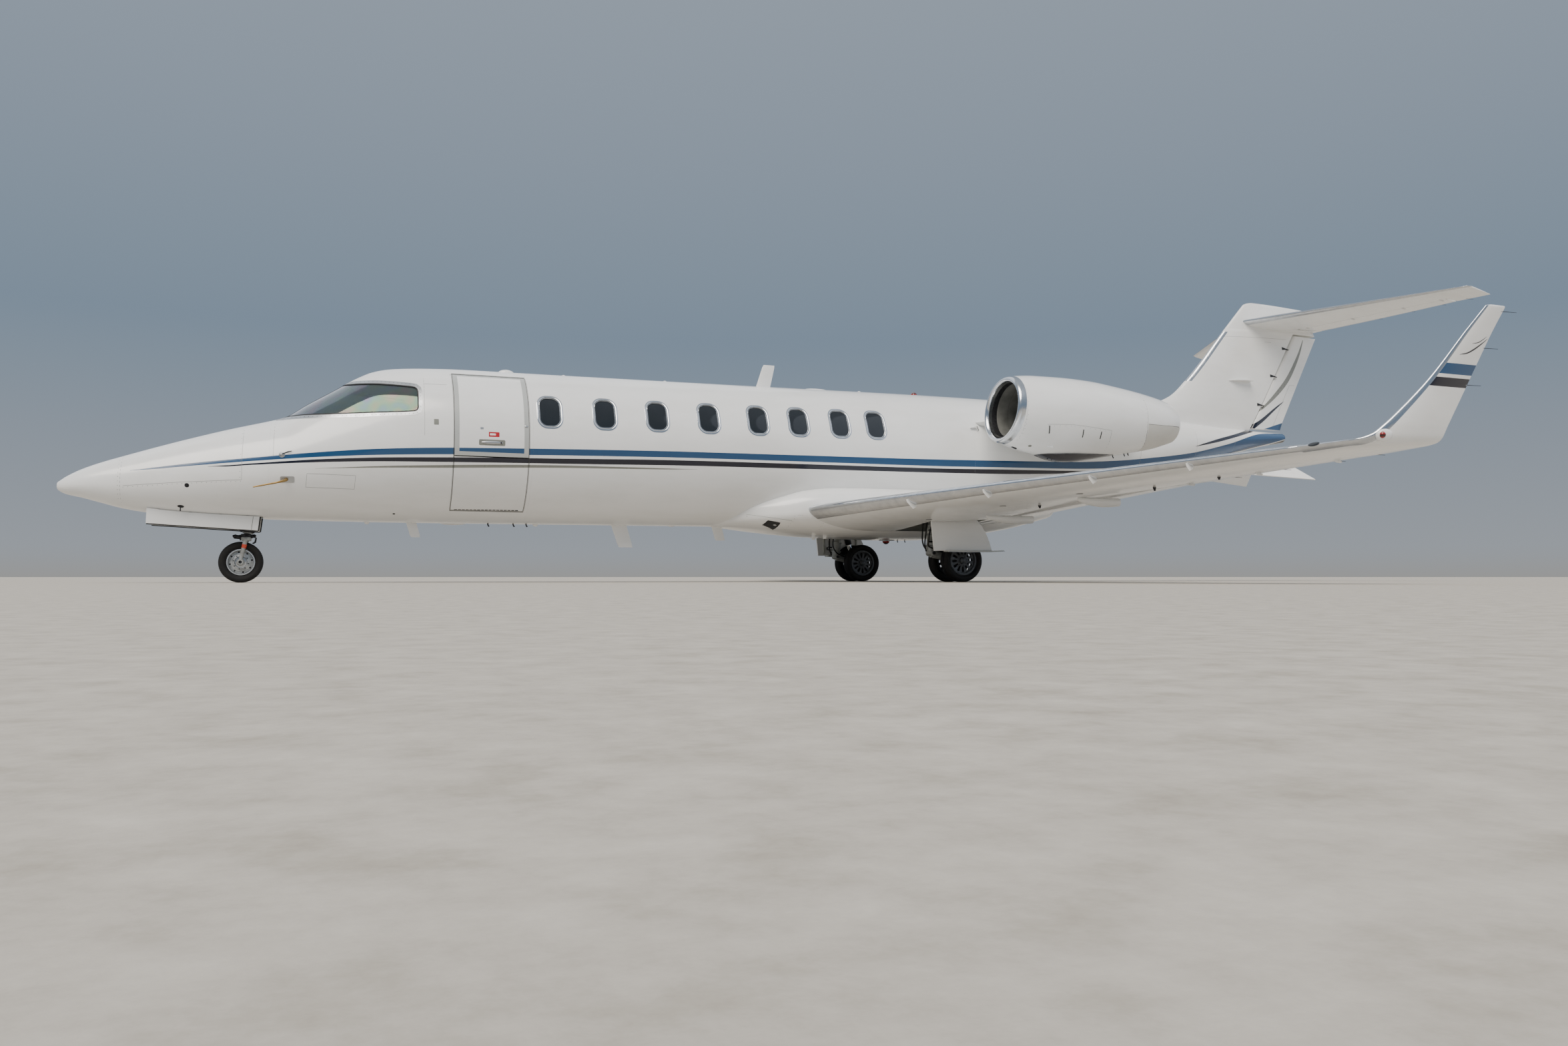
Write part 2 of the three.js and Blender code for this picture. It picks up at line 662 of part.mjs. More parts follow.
const elevator = (() => {
  const end = (side) => {
    const [, lead, trail, leadZ, trailZ, share] = stabiliserAt(side);
    const x = lead + elevatorShare * (trail - lead);
    const slope = (trailZ - leadZ) / (trail - lead);
    const radius = aerofoil(share)[1][1] * 1.12 * (trail - lead);
    return { x, y: side, z: leadZ + (x - lead) * slope, radius, chord: trail - x, slope };
  };
  return movableSurface(end(elevatorSpan[0]), end(elevatorSpan[1]), 7);
})();

function stabiliserSkin(grow) {
  const right = loft(stabiliserSections.map((row) => stabiliserRing(row, grow)));
  return right.add(mirrored(right));
}

const makeStabiliser = () => stabiliserSkin(0)
  .subtract(elevator.cut).subtract(mirrored(elevator.cut))
  .add(elevator.pins).add(mirrored(elevator.pins));

function makeFin() {
  const above = plate([...finTop, [17300, 4500], [15640, 4500]], 'y', -200, 200);
  return loft(finSlices.map(finRing)).subtract(above)
    .subtract(hull(12000, 16405, -gap)).subtract(stabiliserSkin(gap)).subtract(rudderSpace())
    .add(bar(...rudderPins.high, 9, 9, 8));
}

// A thin swept plate low on each side of the tail cone.
function makeVentralFin() {
  const corners = [[14300, 300, 1640], [16370, 700, 1520], [16080, 120, 1950], [14300, 200, 1800]];
  const thick = (w) => corners.map(([s, y, z]) => new THREE.Vector3(s, y + w * 0.6, z + w * 0.8));
  return loft([thick(-9), thick(9)]).subtract(hull(13000, 16405, -gap));
}

// Engines

const engineHeightAt = (s) => {
  const t = (s - nacelleRings[0][0]) / (nacelleRings.at(-1)[0] - nacelleRings[0][0]);
  return engineHeight.front + t * (engineHeight.rear - engineHeight.front);
};
const inletScarf = 0.11; // the inlet's lower lip lies ahead of the upper one

function engineRing(station, half, top, bottom, segments = 20) {
  const axis = engineHeightAt(station);
  const fade = Math.max(0, 1 - (station - nacelleRings[0][0]) / 650);
  return Array.from({ length: segments }, (_, i) => {
    const angle = (i / segments) * 2 * Math.PI;
    const [c, d] = [Math.cos(angle), Math.sin(angle)];
    const z = axis + d * (d > 0 ? top - axis : axis - bottom);
    return new THREE.Vector3(station + inletScarf * half * d * fade, nacelleSide + half * c, z);
  });
}

const roundRing = (station, radius, segments) => {
  const axis = engineHeightAt(station);
  return engineRing(station, radius, axis + radius, axis - radius, segments);
};

const nacelleOuter = (grow) =>
  loft(nacelleRings.map(([s, half, top, bottom]) => engineRing(s, half + grow, top + grow, bottom - grow)));
const duct = (shrink) => loft([
  roundRing(10400, 376), ...nacelleRings.map(([s, , , , inner]) => roundRing(s, inner - shrink)),
  roundRing(13100, 200 - shrink)]);

const makeNacelle = () => nacelleOuter(0).subtract(duct(0));

// The core is one plain body held by struts in the duct behind the fan.
function makeEngineCore() {
  const z = engineHeightAt(fanStation);
  const rings = [[fanStation + 130, 150], [11700, 232], [12400, 215], [12780, 120], [12980, 30]];
  const core = loft(rings.map(([s, r]) => roundRing(s, r, 12)));
  const struts = Array.from({ length: 4 }, (_, i) =>
    box(11260, 11420, nacelleSide - 9, nacelleSide + 9, z + 120, z + 380)
      .translate([0, -nacelleSide, -z]).rotate([45 + i * 90, 0, 0]).translate([0, nacelleSide, z]));
  return unite([core, ...struts]).intersect(duct(gap)).subtract(boreFor(...fanShaft, fanShaftRadius, 20));
}

const fanShaftRadius = 34;
const fanShaft = [fanStation + 100, fanStation + 190].map((x) => [x, nacelleSide, engineHeightAt(fanStation)]);

function makeFan() {
  const z = engineHeightAt(fanStation);
  const hub = loft([[fanStation - 190, 8], [fanStation - 150, 48], [fanStation - 60, 96], [fanStation + 60, 122],
    [fanStation + 110, 122]].map(([s, r]) => roundRing(s, r, 12)));
  const blades = Array.from({ length: fanBlades }, (_, i) =>
    box(-45, 45, -4, 4, 90, fanRadius).rotate([0, 0, 38]).rotate([i * 360 / fanBlades, 0, 0])
      .translate([fanStation + 20, nacelleSide, z]));
  return unite([hub, ...blades, bar(...fanShaft, fanShaftRadius, fanShaftRadius, 20)]);
}

function makePylon() {
  const ring = (side, lead, trail) => aerofoil(0.07).map(([x, h]) =>
    new THREE.Vector3(lead + x * (trail - lead), side, 2085 - 0.02 * x * (trail - lead) + h * (trail - lead)));
  return loft([ring(560, 10400, 13050), ring(1100, 10640, 12900)])
    .subtract(hull(10000, 13900, -gap)).subtract(nacelleOuter(gap));
}

// Landing gear

// A tyre's section, square shouldered and open at the bead, turned about the axle.
function tyre(axle, side) {
  const { tyreRadius: R, tyreWidth: w, rimRadius: b } = axle;
  const half = w / 2;
  const depth = R - b;
  const profile = [
    [b, side - half * 0.62], [b + depth * 0.5, side - half], [R - depth * 0.12, side - half * 0.78],
    [R, side - half * 0.45], [R, side + half * 0.45], [R - depth * 0.12, side + half * 0.78],
    [b + depth * 0.5, side + half], [b, side + half * 0.62], [b, side - half * 0.62]];
  return turned(profile, axle.station, axle.height, wheelSegments);
}

// A rim with a thinner disc between its hub and its flanges.
function rim(axle, side, bore = 0) {
  const half = axle.tyreWidth * 0.31;
  const r = axle.rimRadius - gap;
  const profile = [
    [bore, side - half * 0.4], [r * 0.8, side - half * 0.4], [r * 0.86, side - half], [r, side - half],
    [r, side + half], [r * 0.86, side + half], [r * 0.8, side + half * 0.4], [bore, side + half * 0.4]];
  return turned(bore ? [...profile, profile[0]] : profile, axle.station, axle.height, wheelSegments);
}

const axleRadius = 24;

const makeNoseRim = () => rim(noseAxle, 0, (axleRadius + pinFit) / Math.cos(Math.PI / wheelSegments));

function makeMainRims() {
  const pair = [-1, 1].map((k) => rim(mainAxle, k * twinSpacing / 2));
  const { station: x, height: z } = mainAxle;
  const axle = bar([x, -twinSpacing / 2 - 30, z], [x, twinSpacing / 2 + 30, z], liveAxleRadius, liveAxleRadius, 20);
  return unite([...pair, axle]).translate([0, mainGearSide, 0]);
}

const mainTyre = (k) => tyre(mainAxle, mainGearSide + k * twinSpacing / 2);

const lean = Math.tan(THREE.MathUtils.degToRad(noseLegLean));
const noseLegAt = (z) => noseAxle.station + 6 + lean * (z - noseAxle.height);
const steeringCollar = 500; // height where the turning lower leg meets the fixed upper leg

function makeNoseLeg() {
  const top = noseWell.roof - gap;
  const leg = bar([noseLegAt(steeringCollar + 30), 0, steeringCollar + 30], [noseLegAt(top), 0, top], 52);
  const trunnion = bar([noseLegAt(960), -noseWell.half + gap, 960], [noseLegAt(960), noseWell.half - gap, 960], 38);
  const brace = bar([noseLegAt(640) - 30, 0, 640], [1270, 0, noseWell.roof - 30], 24);
  const foot = box(1215, 1325, -60, 60, noseWell.roof - 60, noseWell.roof - gap);
  return unite([leg, trunnion, brace, foot]).intersect(box(800, 2200, -300, 300, 400, top));
}

// The lower leg, its scissor links and the fork that holds the axle.
function makeNoseFork() {
  const z = noseAxle.height;
  const x = noseAxle.station;
  const crown = noseLegAt(462);
  const collar = steeringCollar + 30 - gap;
  const piston = bar([noseLegAt(460), 0, 460], [noseLegAt(collar), 0, collar], 40);
  const bridge = box(crown - 45, crown + 45, -106, 106, 456, 492);
  const arms = [-1, 1].map((k) => bar([x, k * 88, z], [crown, k * 88, 470], 21, 25, 12));
  const axle = bar([x, -110, z], [x, 110, z], axleRadius, axleRadius, wheelSegments);
  const scissor = [
    plate([[crown - 120, 478], [crown - 20, 470], [crown - 20, 512], [crown - 120, 520]], 'y', -26, 26),
    plate([[crown + 20, 470], [crown + 95, 500], [crown + 80, 524], [crown + 20, 508]], 'y', -34, 34)];
  return unite([piston, bridge, ...arms, axle, ...scissor]);
}

// Nose gear doors hang open along both sides of the well.
function makeNoseDoor() {
  const y = noseWell.half + 14;
  const outline = [[842, 622], [1905, 560], [1925, 800], [848, 850]];
  return plate(outline, 'y', y, y + 22).subtract(hull(620, noseEnd, -gap));
}

const doorLugs = [[9445, 700], [9440, 480]]; // station and height of the door's seats on the leg
const doorSeat = 1690;

// Trailing-arm leg: a cast leg ahead of the wheels, an arm back to the axle's bearing and a shock strut.
function makeMainLeg() {
  const y = mainGearSide;
  const { station: x, height: z } = mainAxle;
  const knee = [x - 330, y, z + 90];
  const top = mainWell.roof - gap;
  const leg = bar([knee[0], y, knee[2] - 10], [x - 300, y, top], 58, 74);
  const trunnion = bar([x - 470, y, top - 80], [x - 90, y, top - 80], 48);
  const arm = bar(knee, [x, y, z], 52, 44);
  const kneePin = bar([knee[0], y - 75, knee[2]], [knee[0], y + 75, knee[2]], 36);
  const shock = bar([x - 70, y, z + 60], [x - 215, y, top - 60], 34, 46);
  const bearing = bar([x, y - 62, z], [x, y + 62, z], 66, 66, 14);
  const bore = boreFor([x, y - 90, z], [x, y + 90, z], liveAxleRadius, 20);
  const lugs = doorLugs.map(([s, h]) => bar([s, y, h], [s, doorSeat, h], 17));
  const stay = bar([x - 280, y, top - 160], [x - 260, y - 330, top - 20], 26);
  return unite([leg, trunnion, arm, kneePin, shock, bearing, stay, ...lugs])
    .subtract(bore).intersect(box(9000, 10500, 900, 1800, 0, top));
}

// The outer door is bolted to the leg and hangs outboard of the wheels.
function makeMainDoor() {
  const outline = [[9290, 372], [10085, 378], [10010, 560], [9900, 720], [9790, 800], [9700, 838], [9240, 838]];
  const panel = plate(outline, 'y', 1725, 1748);
  const flange = plate([[9440, 360], [10210, 372], [10190, 384], [9440, 384]], 'y', 1700, 1830);
  const pads = doorLugs.map(([s, z]) => bar([s, doorSeat + gap, z], [s, 1728, z], 24));
  return unite([panel, flange, ...pads]);
}

// Blade aerials: [rootFront, rootRear, tipFront, tipRear] stations, root and tip heights.
function blade(stations, root, tip, thickness) {
  const [a, b, c, d] = stations;
  return plate([[a, root], [b, root], [d, tip], [c, tip]], 'y', -thickness / 2, thickness / 2);
}
const makeTopAerial = () => blade([7660, 7858, 7775, 7937], 2440, 2790, 22).subtract(hull(7000, 8400, -gap));
const makeForwardAerial = () => blade([3415, 3525, 3480, 3590], 740, 515, 16).subtract(hull(3000, 4000, -gap));
const makeBellyAerial = () => blade([5780, 5972, 5895, 6076], 760, 422, 22).subtract(hull(5000, 7000, -gap));

// Finishes

const finish = (color, roughness, metalness = 0) => new THREE.MeshStandardMaterial({ color, roughness, metalness });
const finishes = {
  whitePaint: finish('#eceef0', 0.22),
  polishedMetal: finish('#c9ccd0', 0.18, 1),
  castMetal: finish('#a7aaad', 0.45, 0.8),
  darkMetal: finish('#3c3d40', 0.5, 0.7),
  tyreRubber: finish('#17171a', 0.85),
  glazing: finish('#20262c', 0.08),
  trim: finish('#b9b2a4', 0.8),
  seatLeather: finish('#cbbfa8', 0.6),
  panelBlack: finish('#1b1c1e', 0.7),
};

const jet = new THREE.Group();
jet.position.x = -overallLength / 2;

function addPiece(name, made, material) {
  const mesh = new THREE.Mesh(geometryOf(made), finishes[material]);
  mesh.name = name;
  jet.add(mesh);
}

// The right-hand solid, and its mirror image for the left.
function addPair(name, made, material) {
  addPiece(name + '_right', made, material);
  addPiece(name + '_left', mirrored(made), material);
}

addPiece('radome', hull(0, radomeEnd), 'whitePaint');
addPiece('nose_section', makeNoseSection(), 'whitePaint');
addPiece('cockpit_shell', makeCockpitShell(), 'whitePaint');
addPiece('cabin_shell', makeCabinShell(), 'whitePaint');
addPiece('tail_cone', makeTailCone(), 'whitePaint');
addPiece('belly_fairing', makeBellyFairing(), 'whitePaint');
for (const [name, side] of [['right', 1], ['left', -1]]) {
  addPiece('windscreen_' + name, makeWindscreen(side), 'glazing');
  addPiece('cabin_windows_' + name, makeWindowRow(side), 'glazing');
}
addPiece('entry_door_upper', makeUpperDoor(), 'whitePaint');
addPiece('entry_door_lower', makeLowerDoor(), 'whitePaint');
addPiece('cabin_floor', makeFloor(), 'trim');
addPiece('cabin_seats_right', makeSeatRow(1), 'seatLeather');
addPiece('cabin_seats_left', makeSeatRow(-1), 'seatLeather');
addPiece('pilot_seats', makePilotSeats(), 'seatLeather');
addPiece('instrument_panel', makeInstrumentPanel(), 'panelBlack');

addPair('wing', makeWing(), 'whitePaint');
addPair('winglet', makeWinglet(), 'whitePaint');
addPair('flap', flap.body, 'whitePaint');
addPair('aileron', aileron.body, 'whitePaint');

addPiece('fin', makeFin(), 'whitePaint');
addPiece('rudder', makeRudder(), 'whitePaint');
addPiece('stabiliser', makeStabiliser(), 'whitePaint');
addPair('elevator', elevator.body, 'whitePaint');
addPair('ventral_fin', makeVentralFin(), 'whitePaint');

addPair('nacelle', makeNacelle(), 'whitePaint');
addPair('engine_core', makeEngineCore(), 'darkMetal');
addPair('fan', makeFan(), 'castMetal');
addPair('pylon', makePylon(), 'whitePaint');

addPiece('nose_leg', makeNoseLeg(), 'castMetal');
addPiece('nose_fork', makeNoseFork(), 'castMetal');
addPiece('nose_rim', makeNoseRim(), 'castMetal');
addPiece('nose_tyre', tyre(noseAxle, 0), 'tyreRubber');
addPair('nose_gear_door', makeNoseDoor(), 'whitePaint');
addPair('main_leg', makeMainLeg(), 'castMetal');
addPair('main_rims', makeMainRims(), 'castMetal');
addPair('main_tyre_inner', mainTyre(-1), 'tyreRubber');
addPair('main_tyre_outer', mainTyre(1), 'tyreRubber');
addPair('main_gear_door', makeMainDoor(), 'whitePaint');

addPiece('aerial_top', makeTopAerial(), 'whitePaint');
addPiece('aerial_belly_forward', makeForwardAerial(), 'whitePaint');
addPiece('aerial_belly', makeBellyAerial(), 'whitePaint');

export default jet;
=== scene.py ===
from math import asin, atan2, copysign, cos, dist, pi, radians, sin, sqrt, tan

import bpy
import numpy as np
from mathutils import Matrix, Vector, geometry
from mathutils.bvhtree import BVHTree
from mathutils.interpolate import poly_3d_calc


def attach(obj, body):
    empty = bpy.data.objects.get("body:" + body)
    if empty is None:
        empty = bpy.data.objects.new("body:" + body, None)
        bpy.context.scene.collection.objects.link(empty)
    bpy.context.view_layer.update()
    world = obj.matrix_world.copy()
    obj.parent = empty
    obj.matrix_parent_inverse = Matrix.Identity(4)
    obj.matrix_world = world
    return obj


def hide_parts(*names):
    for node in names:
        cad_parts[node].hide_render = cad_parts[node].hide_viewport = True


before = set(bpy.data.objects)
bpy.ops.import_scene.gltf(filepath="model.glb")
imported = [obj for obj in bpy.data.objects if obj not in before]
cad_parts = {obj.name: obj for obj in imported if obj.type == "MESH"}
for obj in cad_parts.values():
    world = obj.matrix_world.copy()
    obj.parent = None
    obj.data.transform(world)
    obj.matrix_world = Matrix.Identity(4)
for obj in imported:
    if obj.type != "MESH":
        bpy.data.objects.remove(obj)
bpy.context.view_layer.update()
originStation = 8770  # the station that stands over the frame's origin
toMetres = 0.001
sides = ((1, "right"), (-1, "left"))


# Small tools

def placed(points):
    made = np.asarray(points, float).reshape(-1, 3) * toMetres
    made[:, 0] -= originStation * toMetres
    return made


def inSource(place):
    # a point in metres as its station, side and height in millimetres
    return np.array((place[0] / toMetres + originStation, place[1] / toMetres, place[2] / toMetres))


def smoothTable(table, key=lambda x: x):
    # monotone cubic through a table's rows, so that fine rings run smoothly between the coarse ones
    rows = np.array(table, float)
    x = np.array([key(v) for v in rows[:, 0]])
    y = rows[:, 1:]
    h = np.diff(x)[:, None]
    d = np.diff(y, axis=0) / h
    slope = np.zeros_like(y)
    slope[0], slope[-1] = d[0], d[-1]
    w1, w2 = 2 * h[1:] + h[:-1], h[1:] + 2 * h[:-1]
    same = d[:-1] * d[1:] > 0
    with np.errstate(divide="ignore", invalid="ignore"):
        mean = (w1 + w2) / (w1 / d[:-1] + w2 / d[1:])
    slope[1:-1] = np.where(same, mean, 0)

    def at(v):
        u = key(v)
        k = int(np.clip(np.searchsorted(x, u) - 1, 0, len(x) - 2))
        t = (u - x[k]) / h[k, 0]
        return ((2 * t**3 - 3 * t**2 + 1) * y[k] + (t**3 - 2 * t**2 + t) * h[k] * slope[k]
                + (3 * t**2 - 2 * t**3) * y[k + 1] + (t**3 - t**2) * h[k] * slope[k + 1])
    return at


def linearTable(table):
    rows = np.array(table, float)
    return lambda v: np.array([np.interp(v, rows[:, 0], rows[:, k]) for k in range(1, rows.shape[1])])


class Shape:
    # points, faces and the number of the finish of each face, gathered until a piece is built
    def __init__(self):
        self.points, self.faces, self.looks = [], [], []

    def add(self, grid, look=None):
        points, faces = grid[0], grid[1]
        looks = grid[2] if look is None and len(grid) > 2 else [look or 0] * len(faces)
        start = len(self.points)
        self.points += [tuple(p) for p in points]
        self.faces += [tuple(i + start for i in f) for f in faces]
        self.looks += list(looks)
        return self

    def mirrored(self, both=False):
        made = Shape()
        if both:
            made.add((self.points, self.faces, self.looks))
        flipped = [(x, -y, z) for x, y, z in self.points]
        return made.add((flipped, [tuple(reversed(f)) for f in self.faces], self.looks))

    def mesh(self, name, finishes, smooth=35):
        data = bpy.data.meshes.new(name)
        data.from_pydata(placed(self.points).tolist(), [], self.faces)
        for m in finishes:
            data.materials.append(m)
        data.polygons.foreach_set("material_index", self.looks)
        data.update()
        shade(data, smooth)
        made = bpy.data.objects.new(name, data)
        bpy.context.scene.collection.objects.link(made)
        return made


def shade(data, degrees):
    data.polygons.foreach_set("use_smooth", [degrees > 0] * len(data.polygons))
    if degrees > 0:
        data.set_sharp_from_angle(angle=radians(degrees))
    data.update()


def piece(name, shape, finishes, body="airframe", slot=None, stands=(), smooth=35):
    # a finished piece: built, given to its CAD body and the CAD nodes it stands for; the slot is not used
    made = shape if isinstance(shape, bpy.types.Object) else shape.mesh(name, finishes, smooth)
    made.name = name
    return given(made, body, slot, stands)


def given(made, body, slot=None, stands=()):
    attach(made, body)
    if stands:
        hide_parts(*stands)
    return made


def bothSides(name, shape, finishes, body="airframe", slot=None, stands=(), smooth=35):
    # the right-hand piece and its mirror image on the left
    made = []
    for side, form in (("right", shape), ("left", shape.mirrored())):
        place = body if body == "airframe" or body.startswith("nose") else f"{body}_{side}"
        made.append(piece(f"{name}_{side}", form, finishes, place, slot, [f"{n}_{side}" for n in stands],
                          smooth))
    return made


def ringFaces(rows, count, closed=True):
    faces = []
    for r in range(rows - 1):
        for i in range(count if closed else count - 1):
            j = (i + 1) % count
            faces.append((r * count + i, r * count + j, (r + 1) * count + j, (r + 1) * count + i))
    return faces


def loft(rings, caps=(True, True), look=0, capLook=None):
    # a skin over rings of equal point counts; the caps are flat
    rings = [np.asarray(r, float).reshape(-1, 3) for r in rings]
    count = len(rings[0])
    points = np.concatenate(rings)
    faces = ringFaces(len(rings), count)
    looks = [look] * len(faces)
    for wanted, ring in ((caps[0], range(count - 1, -1, -1)),
                         (caps[1], range(len(points) - count, len(points)))):
        if wanted:
            faces.append(tuple(ring))
            looks.append(look if capLook is None else capLook)
    return outward(points, faces, looks)


def loopLoft(rings, looks):
    # a tube whose last ring joins the first; looks holds a number for the faces behind each ring
    count = len(rings[0])
    faces = ringFaces(len(rings), count)
    last = (len(rings) - 1) * count
    faces += [(last + i, last + (i + 1) % count, (i + 1) % count, i) for i in range(count)]
    return outward(np.concatenate([np.array(r, float) for r in rings]), faces,
                   np.repeat(looks, count).tolist())


def outward(points, faces, looks):
    # turns every face round if the closed skin has them facing in
    p = np.asarray(points, float)
    p0 = p - p.mean(0)
    volume = 0.0
    for sides in {len(f) for f in faces}:
        corners = p0[np.array([f for f in faces if len(f) == sides])]
        for k in range(1, sides - 1):
            volume += np.einsum("ij,ij->", corners[:, 0], np.cross(corners[:, k], corners[:, k + 1]))
    if volume < 0:
        faces = [tuple(reversed(f)) for f in faces]
    return p, faces, looks


def tube(path, radius, sides=12, look=0, ends=True):
    # a round bar along a path; radius is one number or one for each point
    path = np.asarray(path, float)
    radii = np.broadcast_to(radius, (len(path),))
    along = np.gradient(path, axis=0)
    along /= np.linalg.norm(along, axis=1)[:, None]
    up = np.array([0, 0, 1.0]) if abs(along[0][2]) < 0.9 else np.array([1.0, 0, 0])
    rings = []
    for p, t, r in zip(path, along, radii):
        u = np.cross(t, up)
        u /= np.linalg.norm(u)
        up = np.cross(u, t)
        a = np.linspace(0, 2 * pi, sides, endpoint=False)[:, None]
        rings.append(p + r * (np.cos(a) * u + np.sin(a) * up))
    return loft(rings, (ends, ends), look)


def rod(a, b, radius, endRadius=None, sides=16, edge=2.0, look=0):
    # a straight bar whose ends are chamfered
    a, b = np.array(a, float), np.array(b, float)
    last = radius if endRadius is None else endRadius
    t = (b - a) / np.linalg.norm(b - a)
    edge = min(edge, radius * 0.4, last * 0.4)
    return tube([a, a + t * edge, b - t * edge, b], [radius - edge, radius, last, last - edge], sides, look)


def turned(profile, centre, axis="y", segments=48, look=0, looks=None):
    # a body turned about an axis from a closed loop of [radius, along] points
    ring = np.array(profile, float)
    rows = []
    for k in range(segments):
        a = 2 * pi * k / segments
        c, s = cos(a), sin(a)
        frameOf = {"y": (c, 0, s), "x": (0, c, s), "z": (c, s, 0)}[axis]
        step = {"y": (0, 1, 0), "x": (1, 0, 0), "z": (0, 0, 1)}[axis]
        rows.append(np.array(centre) + ring[:, :1] * np.array(frameOf) + ring[:, 1:] * np.array(step))
    points = np.concatenate(rows)
    n = len(ring)
    faces, made = [], []
    for k in range(segments):
        m = (k + 1) % segments
        for i in range(n):
            j = (i + 1) % n
            if ring[i][0] < 1e-6 and ring[j][0] < 1e-6:
                continue
            face = [k * n + i, k * n + j, m * n + j, m * n + i]
            if ring[i][0] < 1e-6:
                face = face[:3]
            elif ring[j][0] < 1e-6:
                face = [face[0], face[1], face[3]]
            faces.append(tuple(face))
            made.append(looks[i] if looks else look)
    onAxis = {i: i for i in range(n) if ring[i][0] < 1e-6}
    if onAxis:
        faces = [tuple(i % n if (i % n) in onAxis else i for i in f) for f in faces]
    return tidyPoints(points, faces, made)


def tidyPoints(points, faces, looks):
    used = sorted({i for f in faces for i in f})
    number = {old: new for new, old in enumerate(used)}
    return outward(points[used], [tuple(number[i] for i in f) for f in faces], looks)


def inset(outline, distance):
    # a closed outline moved inwards along its corners' bisectors
    p = np.array(outline, float)
    area = sum(a[0] * b[1] - b[0] * a[1] for a, b in zip(p, np.roll(p, -1, 0)))
    before, after = p - np.roll(p, 1, 0), np.roll(p, -1, 0) - p
    n1 = np.stack([-before[:, 1], before[:, 0]], 1) / np.linalg.norm(before, axis=1)[:, None]
    n2 = np.stack([-after[:, 1], after[:, 0]], 1) / np.linalg.norm(after, axis=1)[:, None]
    n = n1 + n2
    n /= np.maximum(np.sum(n * n1, axis=1), 0.35)[:, None]
    return p + n * distance * (1 if area > 0 else -1)


def slab(outline, axis, low, high, edge=3.0, look=0):
    # a plate from an outline of two coordinates, with all its long edges chamfered
    order = {"y": (0, 2, 1), "x": (1, 2, 0), "z": (0, 1, 2)}[axis]
    edge = min(edge, (high - low) * 0.45)
    rings = []
    for depth, draw in ((low, edge), (low + edge, 0), (high - edge, 0), (high, edge)):
        flat = inset(outline, draw) if draw else np.array(outline, float)
        ring = np.zeros((len(flat), 3))
        ring[:, order[0]], ring[:, order[1]], ring[:, order[2]] = flat[:, 0], flat[:, 1], depth
        rings.append(ring)
    return loft(rings, look=look)


def block(x0, x1, y0, y1, z0, z1, edge=4.0, corner=0.0, look=0):
    corner = max(corner, edge * 1.5)
    return slab(rounded((x0 + x1) / 2, (y0 + y1) / 2, x1 - x0, y1 - y0, corner, 3), "z", z0, z1, edge, look)


def rounded(cx, cz, width, height, corner, steps=6):
    corner = min(corner, width / 2 - 0.01, height / 2 - 0.01)
    points = []
    for quarter, (sx, sz) in enumerate([(1, 1), (-1, 1), (-1, -1), (1, -1)]):
        for k in range(steps + 1):
            a = (quarter + k / steps) * pi / 2
            points.append((cx + sx * (width / 2 - corner) + corner * cos(a),
                           cz + sz * (height / 2 - corner) + corner * sin(a)))
    return points


def applied(obj):
    # the mesh that the object's modifiers make of it; they are then taken off
    made = bpy.data.meshes.new_from_object(obj.evaluated_get(bpy.context.evaluated_depsgraph_get()))
    obj.modifiers.clear()
    return made


def carved(obj, cutter, operation="DIFFERENCE"):
    # a boolean between two closed pieces, with both pieces' finishes kept
    for m in cutter.data.materials:
        if m.name not in obj.data.materials:
            obj.data.materials.append(m)
    change = obj.modifiers.new("cut", "BOOLEAN")
    change.operation, change.solver, change.object = operation, "MANIFOLD", cutter
    change.material_mode = "TRANSFER"
    old, obj.data = obj.data, applied(obj)
    bpy.data.meshes.remove(old)
    bpy.data.objects.remove(cutter)
    return obj


def solidOf(grid, name, finishes):
    return Shape().add(grid).mesh(name, finishes)


def cut(obj, grid, finish, operation="DIFFERENCE"):
    # a boolean with a form that has one finish
    return carved(obj, solidOf(grid, "cutter", [finish]), operation)


def prism(outline, low, high):
    return slab(outline, "y", low, high, 0.01)


def boxGrid(x0, x1, y0, y1, z0, z1):
    return prism([(x0, z0), (x1, z0), (x1, z1), (x0, z1)], y0, y1)


def surfaceOf(grid):
    # a search tree over a smooth skin with the normals of its points, to take places and normals from
    points, faces = placed(grid[0]), grid[1]
    data = bpy.data.meshes.new("skin")
    data.from_pydata(points.tolist(), [], faces)
    normals = [v.normal.copy() for v in data.vertices]
    corners = [Vector(p) for p in points]
    bpy.data.meshes.remove(data)
    return {"tree": BVHTree.FromPolygons(corners, faces), "corners": corners, "faces": faces,
            "normals": normals}


def normalAt(surface, place, index):
    face = surface["faces"][index]
    weights = poly_3d_calc([surface["corners"][i] for i in face], place)
    made = Vector()
    for w, i in zip(weights, face):
        made += w * surface["normals"][i]
    return made.normalized()


def skinNormals(obj, surface, reach=0.0006):
    # after cutting, the faces on the outer skin are lit as the uncut smooth skin would be
    data = obj.data
    data.polygons.foreach_set("use_smooth", [True] * len(data.polygons))
    data.set_sharp_from_angle(angle=radians(30))
    known = {}
    for v in data.vertices:
        place, normal, index, distance = surface["tree"].find_nearest(v.co, reach)
        known[v.index] = None if place is None else normalAt(surface, place, index)
    wanted = []
    for f in data.polygons:
        for i in f.vertices:
            n = known[i]
            wanted.append(n if n is not None and n.dot(f.normal) > 0.8 else Vector())
    data.normals_split_custom_set([tuple(n) for n in wanted])
    return obj


# Camera, lights and floor

